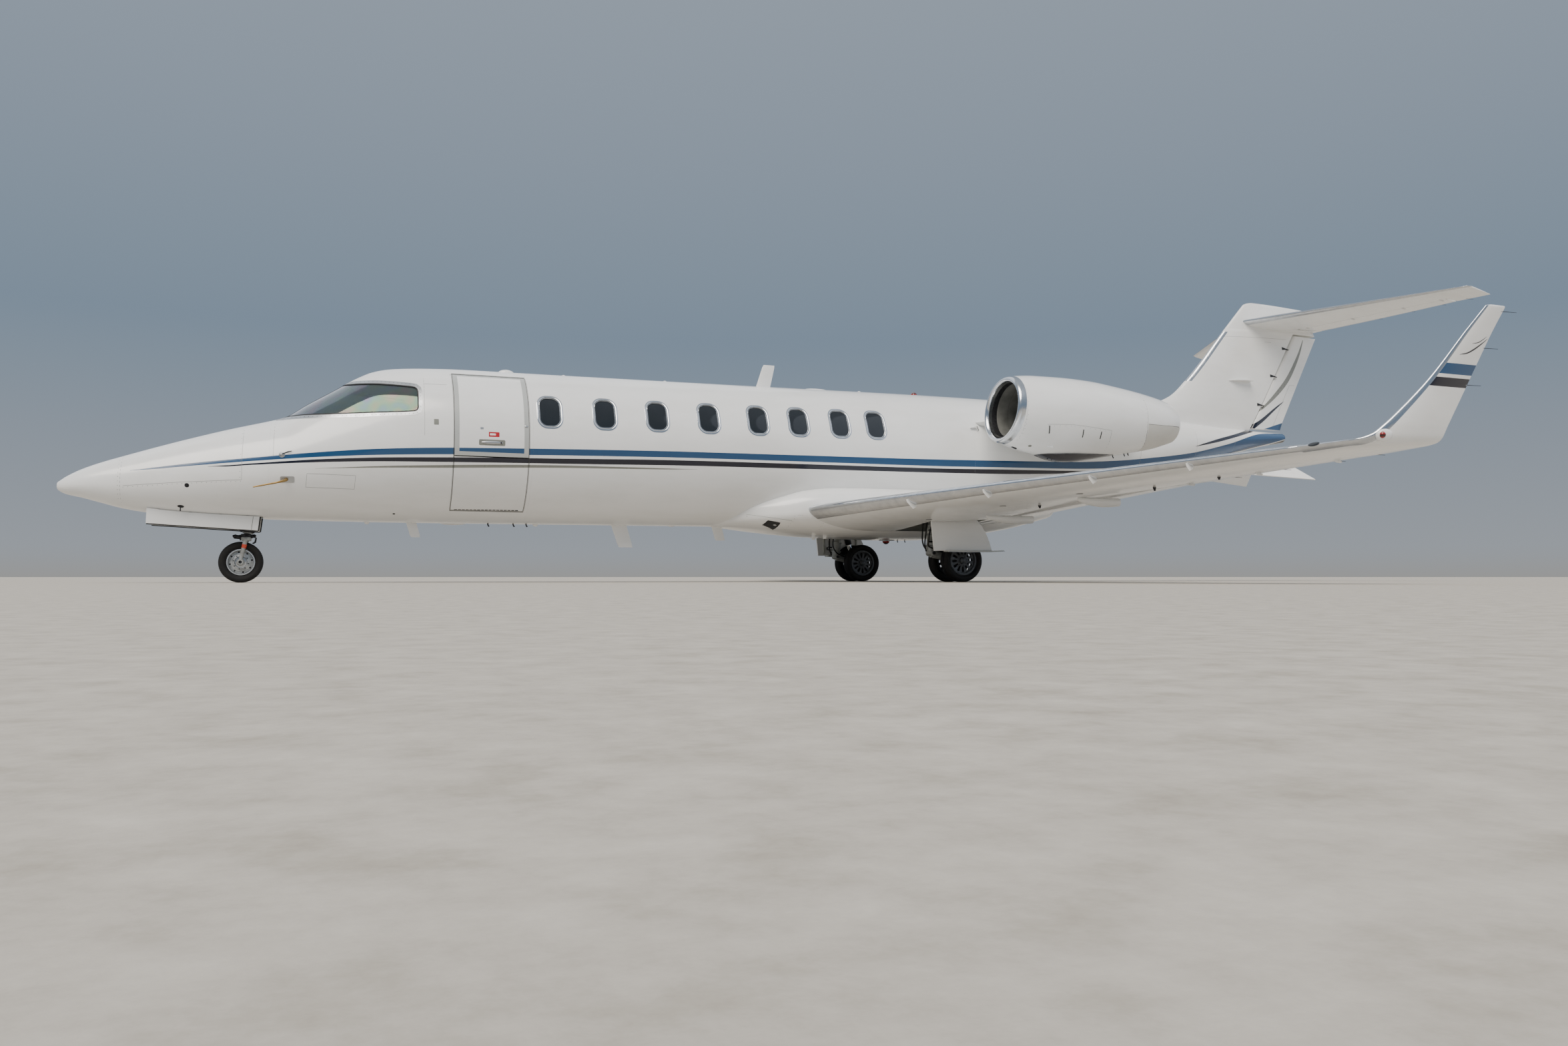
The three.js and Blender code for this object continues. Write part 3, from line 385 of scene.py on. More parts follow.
camera = bpy.data.objects.new("camera", bpy.data.cameras.new("camera"))
bpy.context.scene.collection.objects.link(camera)
bpy.context.scene.camera = camera
cameraView = {"place": (-6.145, -13.738, 0.063), "heading": 0.3771, "pitch": 0.0469, "focal": 1719.84,
              "wide": 2350}
camera.data.sensor_width = 36.0
camera.data.lens = cameraView["focal"] / cameraView["wide"] * 36.0
camera.location = cameraView["place"]
ahead = Vector((sin(cameraView["heading"]) * cos(cameraView["pitch"]),
                cos(cameraView["heading"]) * cos(cameraView["pitch"]), sin(cameraView["pitch"])))
camera.rotation_mode = "QUATERNION"
camera.rotation_quaternion = ahead.to_track_quat("-Z", "Y")
camera.data.clip_start, camera.data.clip_end = 0.05, 400


# Finishes

def linear(code):
    # an sRGB hex colour as the shader's linear numbers
    values = [int(code[i:i + 2], 16) / 255 for i in (1, 3, 5)]
    return tuple(v / 12.92 if v <= 0.04045 else ((v + 0.055) / 1.055) ** 2.4 for v in values) + (1.0,)


def addNode(tree, kind, links=None, **settings):
    # adds a node, sets its fields or its input sockets, and links sockets by name or number
    made = tree.nodes.new(kind)
    for key, value in settings.items():
        name = key.replace("_", " ")
        if hasattr(made, key):
            setattr(made, key, value)
        else:
            made.inputs[name].default_value = value
    for socket, source in (links or {}).items():
        tree.links.new(source, made.inputs[socket])
    return made


def ramp(tree, source, stops):
    made = addNode(tree, "ShaderNodeValToRGB", {0: source})
    while len(made.color_ramp.elements) < len(stops):
        made.color_ramp.elements.new(0.5)
    for element, (place, colour) in zip(made.color_ramp.elements, stops):
        element.position = place
        element.color = linear(colour) if isinstance(colour, str) else (colour, colour, colour, 1)
    return made.outputs["Color"]


def started(name, **shader):
    made = bpy.data.materials.new(name)
    made.use_nodes = True
    tree = made.node_tree
    out = tree.nodes["Principled BSDF"]
    for key, value in shader.items():
        out.inputs[key.replace("_", " ")].default_value = value
    made.diffuse_color = out.inputs["Base Color"].default_value[:]
    place = addNode(tree, "ShaderNodeTexCoord").outputs["Object"]
    return made, tree, out, place


def stretched(tree, place, scale):
    return addNode(tree, "ShaderNodeMapping", {"Vector": place}, Scale=scale).outputs["Vector"]


def roughened(tree, out, place, size, low, high, detail=4.0):
    # roughness that drifts between two values in patches of about size mm
    spots = addNode(tree, "ShaderNodeTexNoise", {"Vector": place}, Scale=1000 / size, Detail=detail,
                    Roughness=0.6)
    made = addNode(tree, "ShaderNodeMapRange", {"Value": spots.outputs["Fac"]},
                   From_Min=0.3, From_Max=0.7, To_Min=low, To_Max=high)
    tree.links.new(made.outputs["Result"], out.inputs["Roughness"])
    return spots.outputs["Fac"]


def bumped(tree, out, height, depth, strength=1.0, before=None):
    # depth is the real height of the relief in mm
    made = addNode(tree, "ShaderNodeBump", {"Height": height}, Strength=strength, Distance=depth * toMetres)
    if before is not None:
        tree.links.new(before, made.inputs["Normal"])
    tree.links.new(made.outputs["Normal"], out.inputs["Normal"])
    return made.outputs["Normal"]


def mixed(tree, factor, a, b):
    made = addNode(tree, "ShaderNodeMix", {0: factor}, data_type="RGBA")
    for socket, value in ((6, a), (7, b)):
        if isinstance(value, str):
            made.inputs[socket].default_value = linear(value)
        else:
            tree.links.new(value, made.inputs[socket])
    return made.outputs[2]


def toned(tree, out, value, low, high, least, most, colour, second):
    # the base colour turns from the first colour to the second one as the value rises from low to high
    share = addNode(tree, "ShaderNodeMapRange", {"Value": value}, From_Min=low, From_Max=high, To_Min=least,
                    To_Max=most)
    tree.links.new(mixed(tree, share.outputs["Result"], colour, second), out.inputs["Base Color"])


def sprayedPaint(name, colour, worn, low=0.2, high=0.32, dust=0.35):
    # two-pack aircraft enamel, sprayed: a clear gloss over even colour, a faint orange peel of 8 mm waves,
    # and dust that greys it a little in soft patches of half a metre
    made, tree, out, place = started(name, Base_Color=linear(colour), IOR=1.5, Coat_Weight=0.35,
                                     Coat_Roughness=0.08)
    patches = addNode(tree, "ShaderNodeTexNoise", {"Vector": stretched(tree, place, (0.7, 2.0, 2.0))},
                      Scale=2.2, Detail=5.0, Roughness=0.62)
    toned(tree, out, patches.outputs["Fac"], 0.42, 0.78, 0.0, dust, colour, worn)
    roughened(tree, out, place, 300, low, high)
    peel = addNode(tree, "ShaderNodeTexNoise", {"Vector": place}, Scale=1000 / 8, Detail=2.0)
    bumped(tree, out, peel.outputs["Fac"], 0.03, 0.35)
    return made


def bareMetal(name, colour, dull, low, high, grain, depth=0.02, metallic=1.0):
    # metal left bare: grain is the direction scale of the rolling or polishing marks, about 1.5 mm apart
    made, tree, out, place = started(name, Base_Color=linear(colour), Metallic=metallic)
    lines = addNode(tree, "ShaderNodeTexNoise", {"Vector": stretched(tree, place, grain)},
                    Scale=650, Detail=3.0)
    cloud = roughened(tree, out, place, 90, low, high)
    toned(tree, out, cloud, 0.35, 0.75, 0.0, 0.7, colour, dull)
    bumped(tree, out, lines.outputs["Fac"], depth, 0.4)
    return made


def moulded(name, colour, second, low, high, grit, depth, spots=60, **shader):
    # rubber, plastic or painted castings: grit is the grain of the surface in mm, spots the size of stains
    made, tree, out, place = started(name, Base_Color=linear(colour), **shader)
    stain = roughened(tree, out, place, spots, low, high)
    toned(tree, out, stain, 0.38, 0.72, 0.0, 0.85, colour, second)
    grain = addNode(tree, "ShaderNodeTexNoise", {"Vector": place}, Scale=1000 / grit, Detail=3.0)
    bumped(tree, out, grain.outputs["Fac"], depth, 0.6)
    return made


def tannedLeather(name, colour, crease):
    # pigmented hide, tanned and embossed: 4 mm pebbles with darker creases, drawn coarser than life to show
    made, tree, out, place = started(name, Base_Color=linear(colour), IOR=1.48, Sheen_Weight=0.08)
    pebble = addNode(tree, "ShaderNodeTexVoronoi", {"Vector": place}, Scale=1000 / 4, Randomness=1.0)
    toned(tree, out, pebble.outputs["Distance"], 0.0, 0.8, 0.0, 0.5, colour, crease)
    roughened(tree, out, place, 120, 0.42, 0.6)
    bumped(tree, out, pebble.outputs["Distance"], 0.25, 0.5)
    return made


def loopPile(name, colour, deep):
    # wool loop-pile carpet, tufted every 5 mm: a soft, fuzzy surface that never shines
    made, tree, out, place = started(name, Base_Color=linear(colour), Roughness=0.95, Sheen_Weight=0.3)
    loops = addNode(tree, "ShaderNodeTexVoronoi", {"Vector": place}, Scale=1000 / 5)
    tree.links.new(mixed(tree, loops.outputs["Distance"], colour, deep), out.inputs["Base Color"])
    roughened(tree, out, place, 12, 0.85, 1.0)
    bumped(tree, out, loops.outputs["Distance"], 2.0, 0.7)
    return made


def tintedGlazing(name, colour, second, weight, low=0.03, high=0.09, film=None):
    # cast and polished acrylic or glass: mirrors the sky, lets some of the cabin through; film is the range
    # of thickness, in nanometres, of a heating film that gives violet and yellow gleams
    made, tree, out, place = started(name, Base_Color=linear(colour), IOR=1.49, Transmission_Weight=weight)
    smear = roughened(tree, out, place, 140, low, high)
    tree.links.new(mixed(tree, smear, colour, second), out.inputs["Base Color"])
    wave = addNode(tree, "ShaderNodeTexNoise", {"Vector": place}, Scale=1000 / 180, Detail=1.0)
    bumped(tree, out, wave.outputs["Fac"], 0.25, 0.15)
    if film:
        coat = addNode(tree, "ShaderNodeMapRange", {"Value": wave.outputs["Fac"]}, From_Min=0.25,
                       From_Max=0.75, To_Min=film[0], To_Max=film[1])
        tree.links.new(coat.outputs["Result"], out.inputs["Thin Film Thickness"])
        out.inputs["Thin Film IOR"].default_value = 1.58
    return made


def lensGlass(name, colour):
    # pressed lamp glass, with ribs 6 mm apart that catch small bright lines; the colour also alternates with
    # near black across the ribs, as painted shade and highlight lines
    made, tree, out, place = started(name, Base_Color=linear(colour), IOR=1.5, Coat_Weight=0.6)
    ribs = addNode(tree, "ShaderNodeTexWave", {"Vector": place}, Scale=1000 / 6 / 20, bands_direction="Z")
    tree.links.new(mixed(tree, ribs.outputs["Fac"], colour, "#141414"), out.inputs["Base Color"])
    roughened(tree, out, place, 20, 0.08, 0.2)
    bumped(tree, out, ribs.outputs["Fac"], 0.6, 0.5)
    return made


def brushedConcrete(name, colour, dark, pale):
    # floor: swept concrete, 12 mm aggregate showing faintly through a matt pale skin
    made, tree, out, place = started(name, Base_Color=linear(colour), Roughness=0.85, Specular_IOR_Level=0.3)
    stones = addNode(tree, "ShaderNodeTexNoise", {"Vector": place}, Scale=1000 / 45, Detail=6.0,
                     Roughness=0.7)
    patches = addNode(tree, "ShaderNodeTexNoise", {"Vector": place}, Scale=0.35, Detail=4.0)
    base = ramp(tree, stones.outputs["Fac"], [(0.3, dark), (0.5, colour), (0.72, pale)])
    toned(tree, out, patches.outputs["Fac"], 0.3, 0.7, 0.0, 0.5, base, colour)
    bumped(tree, out, stones.outputs["Fac"], 2.0, 0.35)
    return made


whitePaint = sprayedPaint("whiteEnamelSprayed", "#f0f1f1", "#d9dad6", 0.16, 0.27)
bluePaint = sprayedPaint("blueEnamelSprayed", "#17466f", "#1f4f79", 0.16, 0.26, 0.5)
navyPaint = sprayedPaint("navyEnamelSprayed", "#0d1022", "#171a2c", 0.14, 0.25, 0.5)
stripeGrey = sprayedPaint("greyEnamelStripe", "#7d7f78", "#8c8d86", 0.22, 0.34)
bandGrey = sprayedPaint("lightGreyEnamelSprayed", "#b4b7b6", "#a4a7a5", 0.26, 0.38)
polishedMetal = bareMetal("aluminiumPolished", "#d5d8dc", "#b4b9c0", 0.1, 0.26, (0.05, 1.0, 1.0))
satinMetal = bareMetal("aluminiumClearAnodised", "#bfc2c5", "#a3a6a9", 0.28, 0.46, (1.0, 1.0, 0.1))
castMetal = moulded("magnesiumCastPainted", "#a9acab", "#7f807c", 0.36, 0.62, 2.5, 0.12, 50, Metallic=0.35)
darkMetal = moulded("steelForgedPhosphated", "#3a3b3e", "#222225", 0.38, 0.65, 1.6, 0.1, 40, Metallic=0.75)
hotMetal = bareMetal("nickelAlloyHeatStained", "#8d8379", "#5b4f49", 0.28, 0.5, (1.0, 0.08, 1.0))
chrome = bareMetal("steelHardChromed", "#dfe1e4", "#c3c7cc", 0.05, 0.14, (1.0, 1.0, 0.05), 0.005)
brassMetal = bareMetal("brassTarnished", "#a88a58", "#7a6239", 0.25, 0.45, (0.1, 1.0, 1.0))
tyreRubber = moulded("tyreRubberMoulded", "#161617", "#262523", 0.62, 0.85, 1.2, 0.15, 80,
                     Specular_IOR_Level=0.35)
sealRubber = moulded("neopreneSealExtruded", "#0f0f10", "#1b1b1c", 0.5, 0.75, 1.5, 0.08, 30)
panelBlack = moulded("absPanelTextured", "#1a1b1d", "#26272a", 0.5, 0.7, 1.4, 0.12, 90)
seamShade = moulded("polysulphideSealantSeam", "#85878a", "#6b6c6e", 0.5, 0.7, 2.0, 0.05, 60)
darkSeam = moulded("shadowedPanelGap", "#3c3c3d", "#2a2a2b", 0.6, 0.8, 2.0, 0.05, 60)
liningPanel = moulded("fabricCoveredLining", "#c9c3b6", "#c1bbad", 0.75, 0.9, 1.6, 0.2, 200,
                      Sheen_Weight=0.15)
walnutPanel = moulded("walnutVeneerLacquered", "#5a3a22", "#3c2616", 0.18, 0.28, 3.0, 0.05, 60,
                      Coat_Weight=0.5)
cabinGlass = tintedGlazing("acrylicStretchedTinted", "#1f262d", "#2d3238", 0.3)
screenGlass = tintedGlazing("glassAcrylicLaminated", "#98a1a8", "#848d94", 0.86, 0.02, 0.06, (380, 520))
redLens = lensGlass("lampGlassRed", "#a01410")
greenLens = lensGlass("lampGlassGreen", "#0d6a33")
clearLens = lensGlass("lampGlassClear", "#c9ced2")
orangePaint = sprayedPaint("orangeEnamelBand", "#c8452a", "#a83a25", 0.3, 0.45)
redPaint = sprayedPaint("redVinylPlacard", "#b5202a", "#9c1c24", 0.35, 0.5)
seatHide = tannedLeather("leatherPebbled", "#c8b797", "#9c8a6b")
pilotHide = tannedLeather("leatherPilotSeat", "#4b4741", "#2d2a27")
woolPile = loopPile("woolCarpetTufted", "#8d8577", "#5f584c")
screenFace = moulded("displayGlassUnlit", "#0b0f14", "#131a22", 0.06, 0.16, 4.0, 0.01, 120)
paleConcrete = brushedConcrete("concreteSwept", "#b9b3a9", "#9d968b", "#cbc6bd")
print("finishes made")

# Fuselage

fuselage = {
    "lines": [  # station, top, bottom, halfWidth, waist
        (0, 1026, 984, 21, 1005), (25, 1054, 948, 62, 1003), (90, 1104, 916, 114, 1006),
        (220, 1180, 886, 176, 1018), (400, 1258, 836, 238, 1032), (610, 1334, 779, 302, 1048),
        (850, 1418, 740, 368, 1072), (1200, 1534, 715, 456, 1112), (1600, 1657, 700, 548, 1162),
        (2020, 1772, 690, 640, 1216), (2130, 1806, 688, 662, 1232), (2380, 1974, 685, 712, 1285),
        (2640, 2138, 682, 754, 1340), (2880, 2292, 681, 785, 1395), (3050, 2374, 680, 806, 1440),
        (3240, 2418, 680, 824, 1480), (3600, 2448, 680, 850, 1540), (4000, 2462, 681, 864, 1570),
        (4720, 2467, 684, 866, 1576), (7400, 2490, 696, 866, 1593), (10400, 2516, 706, 860, 1611),
        (11200, 2512, 770, 832, 1650), (12200, 2490, 985, 738, 1752), (13200, 2446, 1272, 602, 1880),
        (14200, 2392, 1578, 442, 2005), (15200, 2332, 1866, 282, 2120), (16000, 2302, 2076, 150, 2195),
        (16410, 2296, 2150, 84, 2223)],
    "paint": [  # station, blue top and bottom, navy top and bottom, grey top and bottom
        (610, 1147, 1144, 1120, 1116, 1090, 1086), (700, 1159, 1156, 1130, 1126, 1098, 1094),
        (866, 1183, 1168, 1146, 1142, 1108, 1104), (1234, 1236, 1208, 1184, 1180, 1128, 1124),
        (1435, 1262, 1229, 1209, 1206, 1140, 1136), (1550, 1275, 1241, 1217, 1207, 1146, 1143),
        (1870, 1309, 1272, 1247, 1231, 1165, 1162), (2470, 1374, 1323, 1299, 1268, 1204, 1202),
        (3110, 1430, 1364, 1337, 1295, 1247, 1229), (3790, 1465, 1393, 1361, 1311, 1279, 1249),
        (4290, 1480, 1408, 1376, 1322, 1299, 1267), (5100, 1501, 1430, 1395, 1337, 1319, 1292),
        (6264, 1525, 1453, 1423, 1362, 1328, 1314), (6640, 1530, 1458, 1428, 1368, 1330, 1328),
        (7950, 1543, 1467, 1438, 1379, 1342, 1339), (9790, 1563, 1478, 1450, 1395, 1360, 1357),
        (10790, 1584, 1497, 1470, 1411, 1380, 1377), (12000, 1622, 1530, 1503, 1468, 1430, 1427),
        (12876, 1687, 1583, 1556, 1536, 1500, 1497), (13365, 1742, 1625, 1600, 1590, 1560, 1556),
        (14330, 1875, 1725, 1700, 1694, 1680, 1676), (15087, 2044, 1890, 1872, 1867, 1858, 1853),
        (15931, 2262, 2078, 2067, 2062, 2056, 2053), (16284, 2286, 2166, 2153, 2150, 2146, 2143),
        (16410, 2291, 2198, 2188, 2184, 2178, 2174)],
    "ranges": {"blue": (700, 16500), "navy": (1435, 13365), "grey": (2470, 6640), "tailEnd": 16100},
    "segments": (27, 3, 2, 2, 2, 1, 27),  # of a ring's side, between top, paint edges and bottom
    "spacing": 55, "wall": 80, "radomeEnd": 610, "noseEnd": 2020, "cockpitEnd": 4720, "cabinEnd": 10400,
    "tailEnd": 16410, "joint": 0.4,
}
hullAt = smoothTable(fuselage["lines"], sqrt)
paintAt = smoothTable(fuselage["paint"])
skinFinishes = [whitePaint, bluePaint, navyPaint, stripeGrey]


def hullRing(station, depth=0.0, lines=True):
    top, bottom, half, waist = hullAt(station)
    counts = fuselage["segments"]
    if lines:
        edges = [pi / 2]
        for z in paintAt(max(station, fuselage["radomeEnd"])):
            reach = top - waist if z > waist else waist - bottom
            edges.append(asin(max(-0.985, min(0.985, (z - waist) / reach))))
        edges.append(-pi / 2)
    else:
        edges = list(np.interp(np.cumsum((0,) + counts), (0, sum(counts)), (pi / 2, -pi / 2)))
    spans = [np.linspace(a, b, n, endpoint=False) for a, b, n in zip(edges, edges[1:], counts)]
    angles = np.concatenate(spans + [[-pi / 2]])
    angles = np.concatenate([angles, pi - angles[-2:0:-1]])
    reach = np.where(np.sin(angles) > 0, top - waist, waist - bottom) - depth
    return np.stack([np.full(len(angles), float(station)), (half - depth) * np.cos(angles),
                     waist + reach * np.sin(angles)], 1)


bandOf = np.repeat(range(len(fuselage["segments"])), fuselage["segments"])
bandOf = np.concatenate([bandOf, bandOf[::-1]])


def bandLook(band, station):
    # the number of a band's finish: the stripes between their ends, navy on the tail's end, or else white
    spans = fuselage["ranges"]
    if band >= 3 and station > spans["tailEnd"]:
        return 2
    for number, (stripe, key) in enumerate(((1, "blue"), (3, "navy"), (5, "grey")), 1):
        if band == stripe and spans[key][0] < station < spans[key][1]:
            return number
    return 0


def stationsOf(start, end):
    # evenly spaced rows, with rows where a stripe begins or ends, and closer ones at the nose tip
    if start < 100:
        made = [start + (end - start) * (k / 26) ** 2 for k in range(27)]
    else:
        made = list(np.linspace(start, end, max(2, round((end - start) / fuselage["spacing"]) + 1)))
    spans = fuselage["ranges"]
    for tips in (spans["blue"], spans["navy"], spans["grey"], (spans["tailEnd"],)):
        made += [t for t in tips if start + 5 < t < end - 5]
    made = sorted(made)
    return [s for s, after in zip(made, made[1:] + [1e9]) if after - s > 4]


def hull(start, end, depth=0.0, lines=True, look=None):
    stations = stationsOf(start, end)
    points, faces, looks = loft([hullRing(s, depth, lines) for s in stations], look=look or 0)
    if look is None and lines:
        count = len(bandOf)
        looks = [bandLook(bandOf[k % count], (stations[k // count] + stations[k // count + 1]) / 2)
                 for k in range(len(faces) - 2)] + [0, 0]
    return points, faces, looks


def hullSide(station, height, side, depth=0.0):
    # the point of the skin at a station and height on one side
    top, bottom, half, waist = hullAt(station)
    reach = (top - waist if height > waist else waist - bottom) - depth
    share = max(-1.0, min(1.0, (height - waist) / reach))
    return (station, side * (half - depth) * sqrt(1 - share * share), height)


hullSkin = surfaceOf(hull(fuselage["radomeEnd"] - 200, fuselage["tailEnd"]))


def seat(surface, station, height, side):
    # where a line from the side meets a skin, and the skin's normal there; both in metres
    start = Vector(placed([(station, side * 9000, height)])[0])
    place, normal, index, distance = surface["tree"].ray_cast(start, Vector((0, -side, 0)))
    if place is None:
        return None
    return place, normalAt(surface, place, index)


def paintedFilm(shape, surface, outline, side, lift=0.6, step=28.0, look=0):
    # a thin closed film laid on a skin, from an outline of [station, height] seen from the side
    ring = [Vector(p) for p in outline]
    low = [min(p[k] for p in ring) for k in (0, 1)]
    high = [max(p[k] for p in ring) for k in (0, 1)]
    inner = []
    for a in np.arange(low[0] + step / 2, high[0], step):
        for b in np.arange(low[1] + step / 2, high[1], step):
            p = Vector((a, b))
            near = min((geometry.intersect_point_line(p, q, r)[0] - p).length if
                       0 < geometry.intersect_point_line(p, q, r)[1] < 1 else (q - p).length
                       for q, r in zip(ring, ring[1:] + ring[:1]))
            if near > step * 0.4 and insideOf(p, ring):
                inner.append(p)
    edges = [(i, (i + 1) % len(ring)) for i in range(len(ring))]
    flat, _, faces, *_ = geometry.delaunay_2d_cdt(ring + inner, edges, [], 1, 1e-4)
    seats = [seat(surface, p[0], p[1], side) for p in flat]
    faces = [f for f in faces if all(seats[i] for i in f)]
    if not faces:
        return
    used = sorted({i for f in faces for i in f})
    number = {old: new for new, old in enumerate(used)}
    count = len(used)
    points = []
    for rise in (lift, -lift):
        for i in used:
            place, normal = seats[i]
            points.append(inSource(place + normal * rise * toMetres))
    upper = [tuple(number[i] for i in f) for f in faces]
    edgeCount = {}
    for f in upper:
        for a, b in zip(f, f[1:] + f[:1]):
            edgeCount[(a, b)] = edgeCount.get((a, b), 0) + 1
    lower = [tuple(i + count for i in reversed(f)) for f in upper]
    rim = [(b, a, a + count, b + count) for (a, b) in edgeCount if (b, a) not in edgeCount]
    shape.add(outward(points, upper + lower + rim, [look] * (len(upper) * 2 + len(rim))))


def insideOf(p, ring):
    odd = False
    for a, b in zip(ring, ring[1:] + ring[:1]):
        if (a[1] > p[1]) != (b[1] > p[1]) and p[0] < (b[0] - a[0]) * (p[1] - a[1]) / (b[1] - a[1]) + a[0]:
            odd = not odd
    return odd


def ribbon(path, widths):
    # the outline of a stroke along a path of [station, height], with a width at each point
    p = np.array(path, float)
    along = np.gradient(p, axis=0)
    along /= np.linalg.norm(along, axis=1)[:, None]
    off = np.stack([-along[:, 1], along[:, 0]], 1) * np.broadcast_to(widths, (len(p),))[:, None] / 2
    return [tuple(v) for v in np.concatenate([p + off, (p - off)[::-1]])]


def lengthsAlong(points):
    return np.concatenate([[0], np.cumsum(np.linalg.norm(np.diff(points, axis=0), axis=1))])


def curved(points, count):
    # a smooth path through a few points
    p = np.array(points, float)
    t = lengthsAlong(p)
    at = smoothTable([(a, *q) for a, q in zip(t, p)])
    return [tuple(at(v)) for v in np.linspace(0, t[-1], count)]


def swelling(width, count):
    # the widths of a brush stroke that is widest in its middle
    return [max(1.5, width * sin(pi * (k + 1) / (count + 1)) ** 0.8) for k in range(count)]


def seam(shape, surface, points, side, width=3.0, look=0, lift=0.7, spacing=40.0):
    # a sealed joint between panels along straight runs
    dense = [points[0]]
    for a, b in zip(points, points[1:]):
        n = max(1, round(dist(a, b) / spacing))
        dense += [(a[0] + (b[0] - a[0]) * k / n, a[1] + (b[1] - a[1]) * k / n) for k in range(1, n + 1)]
    for a, b in zip(dense, dense[1:]):
        paintedFilm(shape, surface, ribbon([a, b], width), side, lift, 1e4, look)


def studAt(shape, surface, station, height, side, radius=5.0, rise=1.2, look=0, sides=10):
    # one flush screw or rivet head
    found = seat(surface, station, height, side)
    if not found:
        return
    p, n = inSource(found[0]), np.array(found[1])
    shape.add(tube([p - n * 1.5, p + n * rise * 0.5, p + n * rise],
                   [radius, radius, radius * 0.6], sides, look))


def alongRun(points, spacing):
    # evenly spaced places along straight runs
    p = np.array(points, float)
    t = lengthsAlong(p)
    marks = np.linspace(0, t[-1], max(2, round(t[-1] / spacing) + 1))
    return [(np.interp(m, t, p[:, 0]), np.interp(m, t, p[:, 1])) for m in marks]


def hullLayer(name, start, end, raised, depth, finishes, lining, lines=True):
    # the part of the wall between two depths, as a tube; raised is how far it stands out of the skin
    outer = solidOf(hull(start, end, -raised, lines, None if lines else 0), name, finishes)
    return cut(outer, hull(start - 20, end + 20, depth, False, 0), lining)


wellPaint = sprayedPaint("greyPrimerWell", "#c3c6c1", "#96978f", 0.4, 0.6, 0.6)

radome = Shape().add(hull(0, fuselage["radomeEnd"], lines=False, look=0))
piece("radomeShell", radome, [whitePaint], slot="white_paint", stands=["radome"], smooth=50)

noseWell = {"front": 870, "rear": 1950, "half": 172, "roof": 1080}
noseSkin = solidOf(hull(fuselage["radomeEnd"] + fuselage["joint"], fuselage["noseEnd"]), "noseSkin",
                   skinFinishes)
cut(noseSkin, boxGrid(noseWell["front"], noseWell["rear"], -noseWell["half"], noseWell["half"], 500,
                      noseWell["roof"]), wellPaint)
piece("noseSkin", skinNormals(noseSkin, hullSkin), [], slot="white_paint", stands=["nose_section"])
print("nose made")

windscreen = {
    "outline": [(2080, 1801), (2300, 1798), (2560, 1800), (2860, 1812), (3150, 1830), (3400, 1848),
                (3462, 1856), (3488, 1872), (3498, 1900), (3499, 2000), (3497, 2090), (3489, 2124),
                (3466, 2145), (3425, 2154), (3240, 2168), (3090, 2177), (2960, 2180), (2800, 2186),
                (2500, 2262), (2080, 2002)],
    "post": 34, "frame": 42, "seal": 11, "screwPitch": 42,
}
entryDoor = {
    "front": 3866, "rear": 4676, "top": 2346, "split": 1382, "sill": 806, "gap": 6, "band": 56, "bandLow": 50,
    "upperHinge": (-438, 2328), "lowerHinge": (-453, 826), "pin": 6,
    "swing": 4,  # room for the grey band over the upper hinge
}
windows = {
    "stations": (4910, 5540, 6160, 6790, 7415, 7945, 8500, 8995), "width": 246, "height": 348, "corner": 96,
    "first": 1922, "lift": 0.0132,
}


def windscreenOutline(grow):
    return [tuple(p) for p in inset(windscreen["outline"], -grow)] if grow else windscreen["outline"]


def screenPrism(grow, side):
    return prism(windscreenOutline(grow), *sorted((side * (windscreen["post"] - grow), side * 1000)))


def doorBox(low, high, grow, inner=-250):
    return boxGrid(entryDoor["front"] - grow, entryDoor["rear"] + grow, -1000, inner, low - grow, high + grow)


cockpit = solidOf(hull(fuselage["noseEnd"] + fuselage["joint"], fuselage["cockpitEnd"]), "cockpitSkin",
                  skinFinishes)
cut(cockpit, hull(fuselage["noseEnd"] + 60, fuselage["cockpitEnd"] + 30, fuselage["wall"], False, 0),
    liningPanel)
for side in (-1, 1):
    cut(cockpit, screenPrism(0, side), sealRubber)
cut(cockpit, doorBox(entryDoor["sill"], entryDoor["top"] + entryDoor["swing"], 0), wellPaint)


def doorPins(axis, radius, inward, edge):
    # the hinge pins, or their bores, at both ends of the door
    return [rod((end - away * 25, *axis), (end + away * inward, *axis), radius, edge=edge)
            for end, away in ((entryDoor["front"], 1), (entryDoor["rear"], -1))]


for axis in (entryDoor["upperHinge"], entryDoor["lowerHinge"]):
    for pin in doorPins(axis, entryDoor["pin"], 36, 1):
        cut(cockpit, pin, darkMetal, "UNION")
piece("cockpitSkin", skinNormals(cockpit, hullSkin), [], slot="white_paint", stands=["cockpit_shell"])
print("cockpit skin made")


def windowHeight(station):
    return windows["first"] + windows["lift"] * (station - windows["stations"][0])


def windowOutline(station, grow):
    # with extra points along the straight sides, so that what is made from it follows the round wall
    width, height = windows["width"] + 2 * grow, windows["height"] + 2 * grow
    corners = rounded(station, windowHeight(station), width, height, max(6, windows["corner"] + grow), 8)
    made = []
    for quarter in range(4):
        made += corners[9 * quarter:9 * quarter + 9]
        a, b = corners[9 * quarter + 8], corners[(9 * quarter + 9) % 36]
        made += [(a[0] + (b[0] - a[0]) * k / 6, a[1] + (b[1] - a[1]) * k / 6) for k in range(1, 6)]
    return made


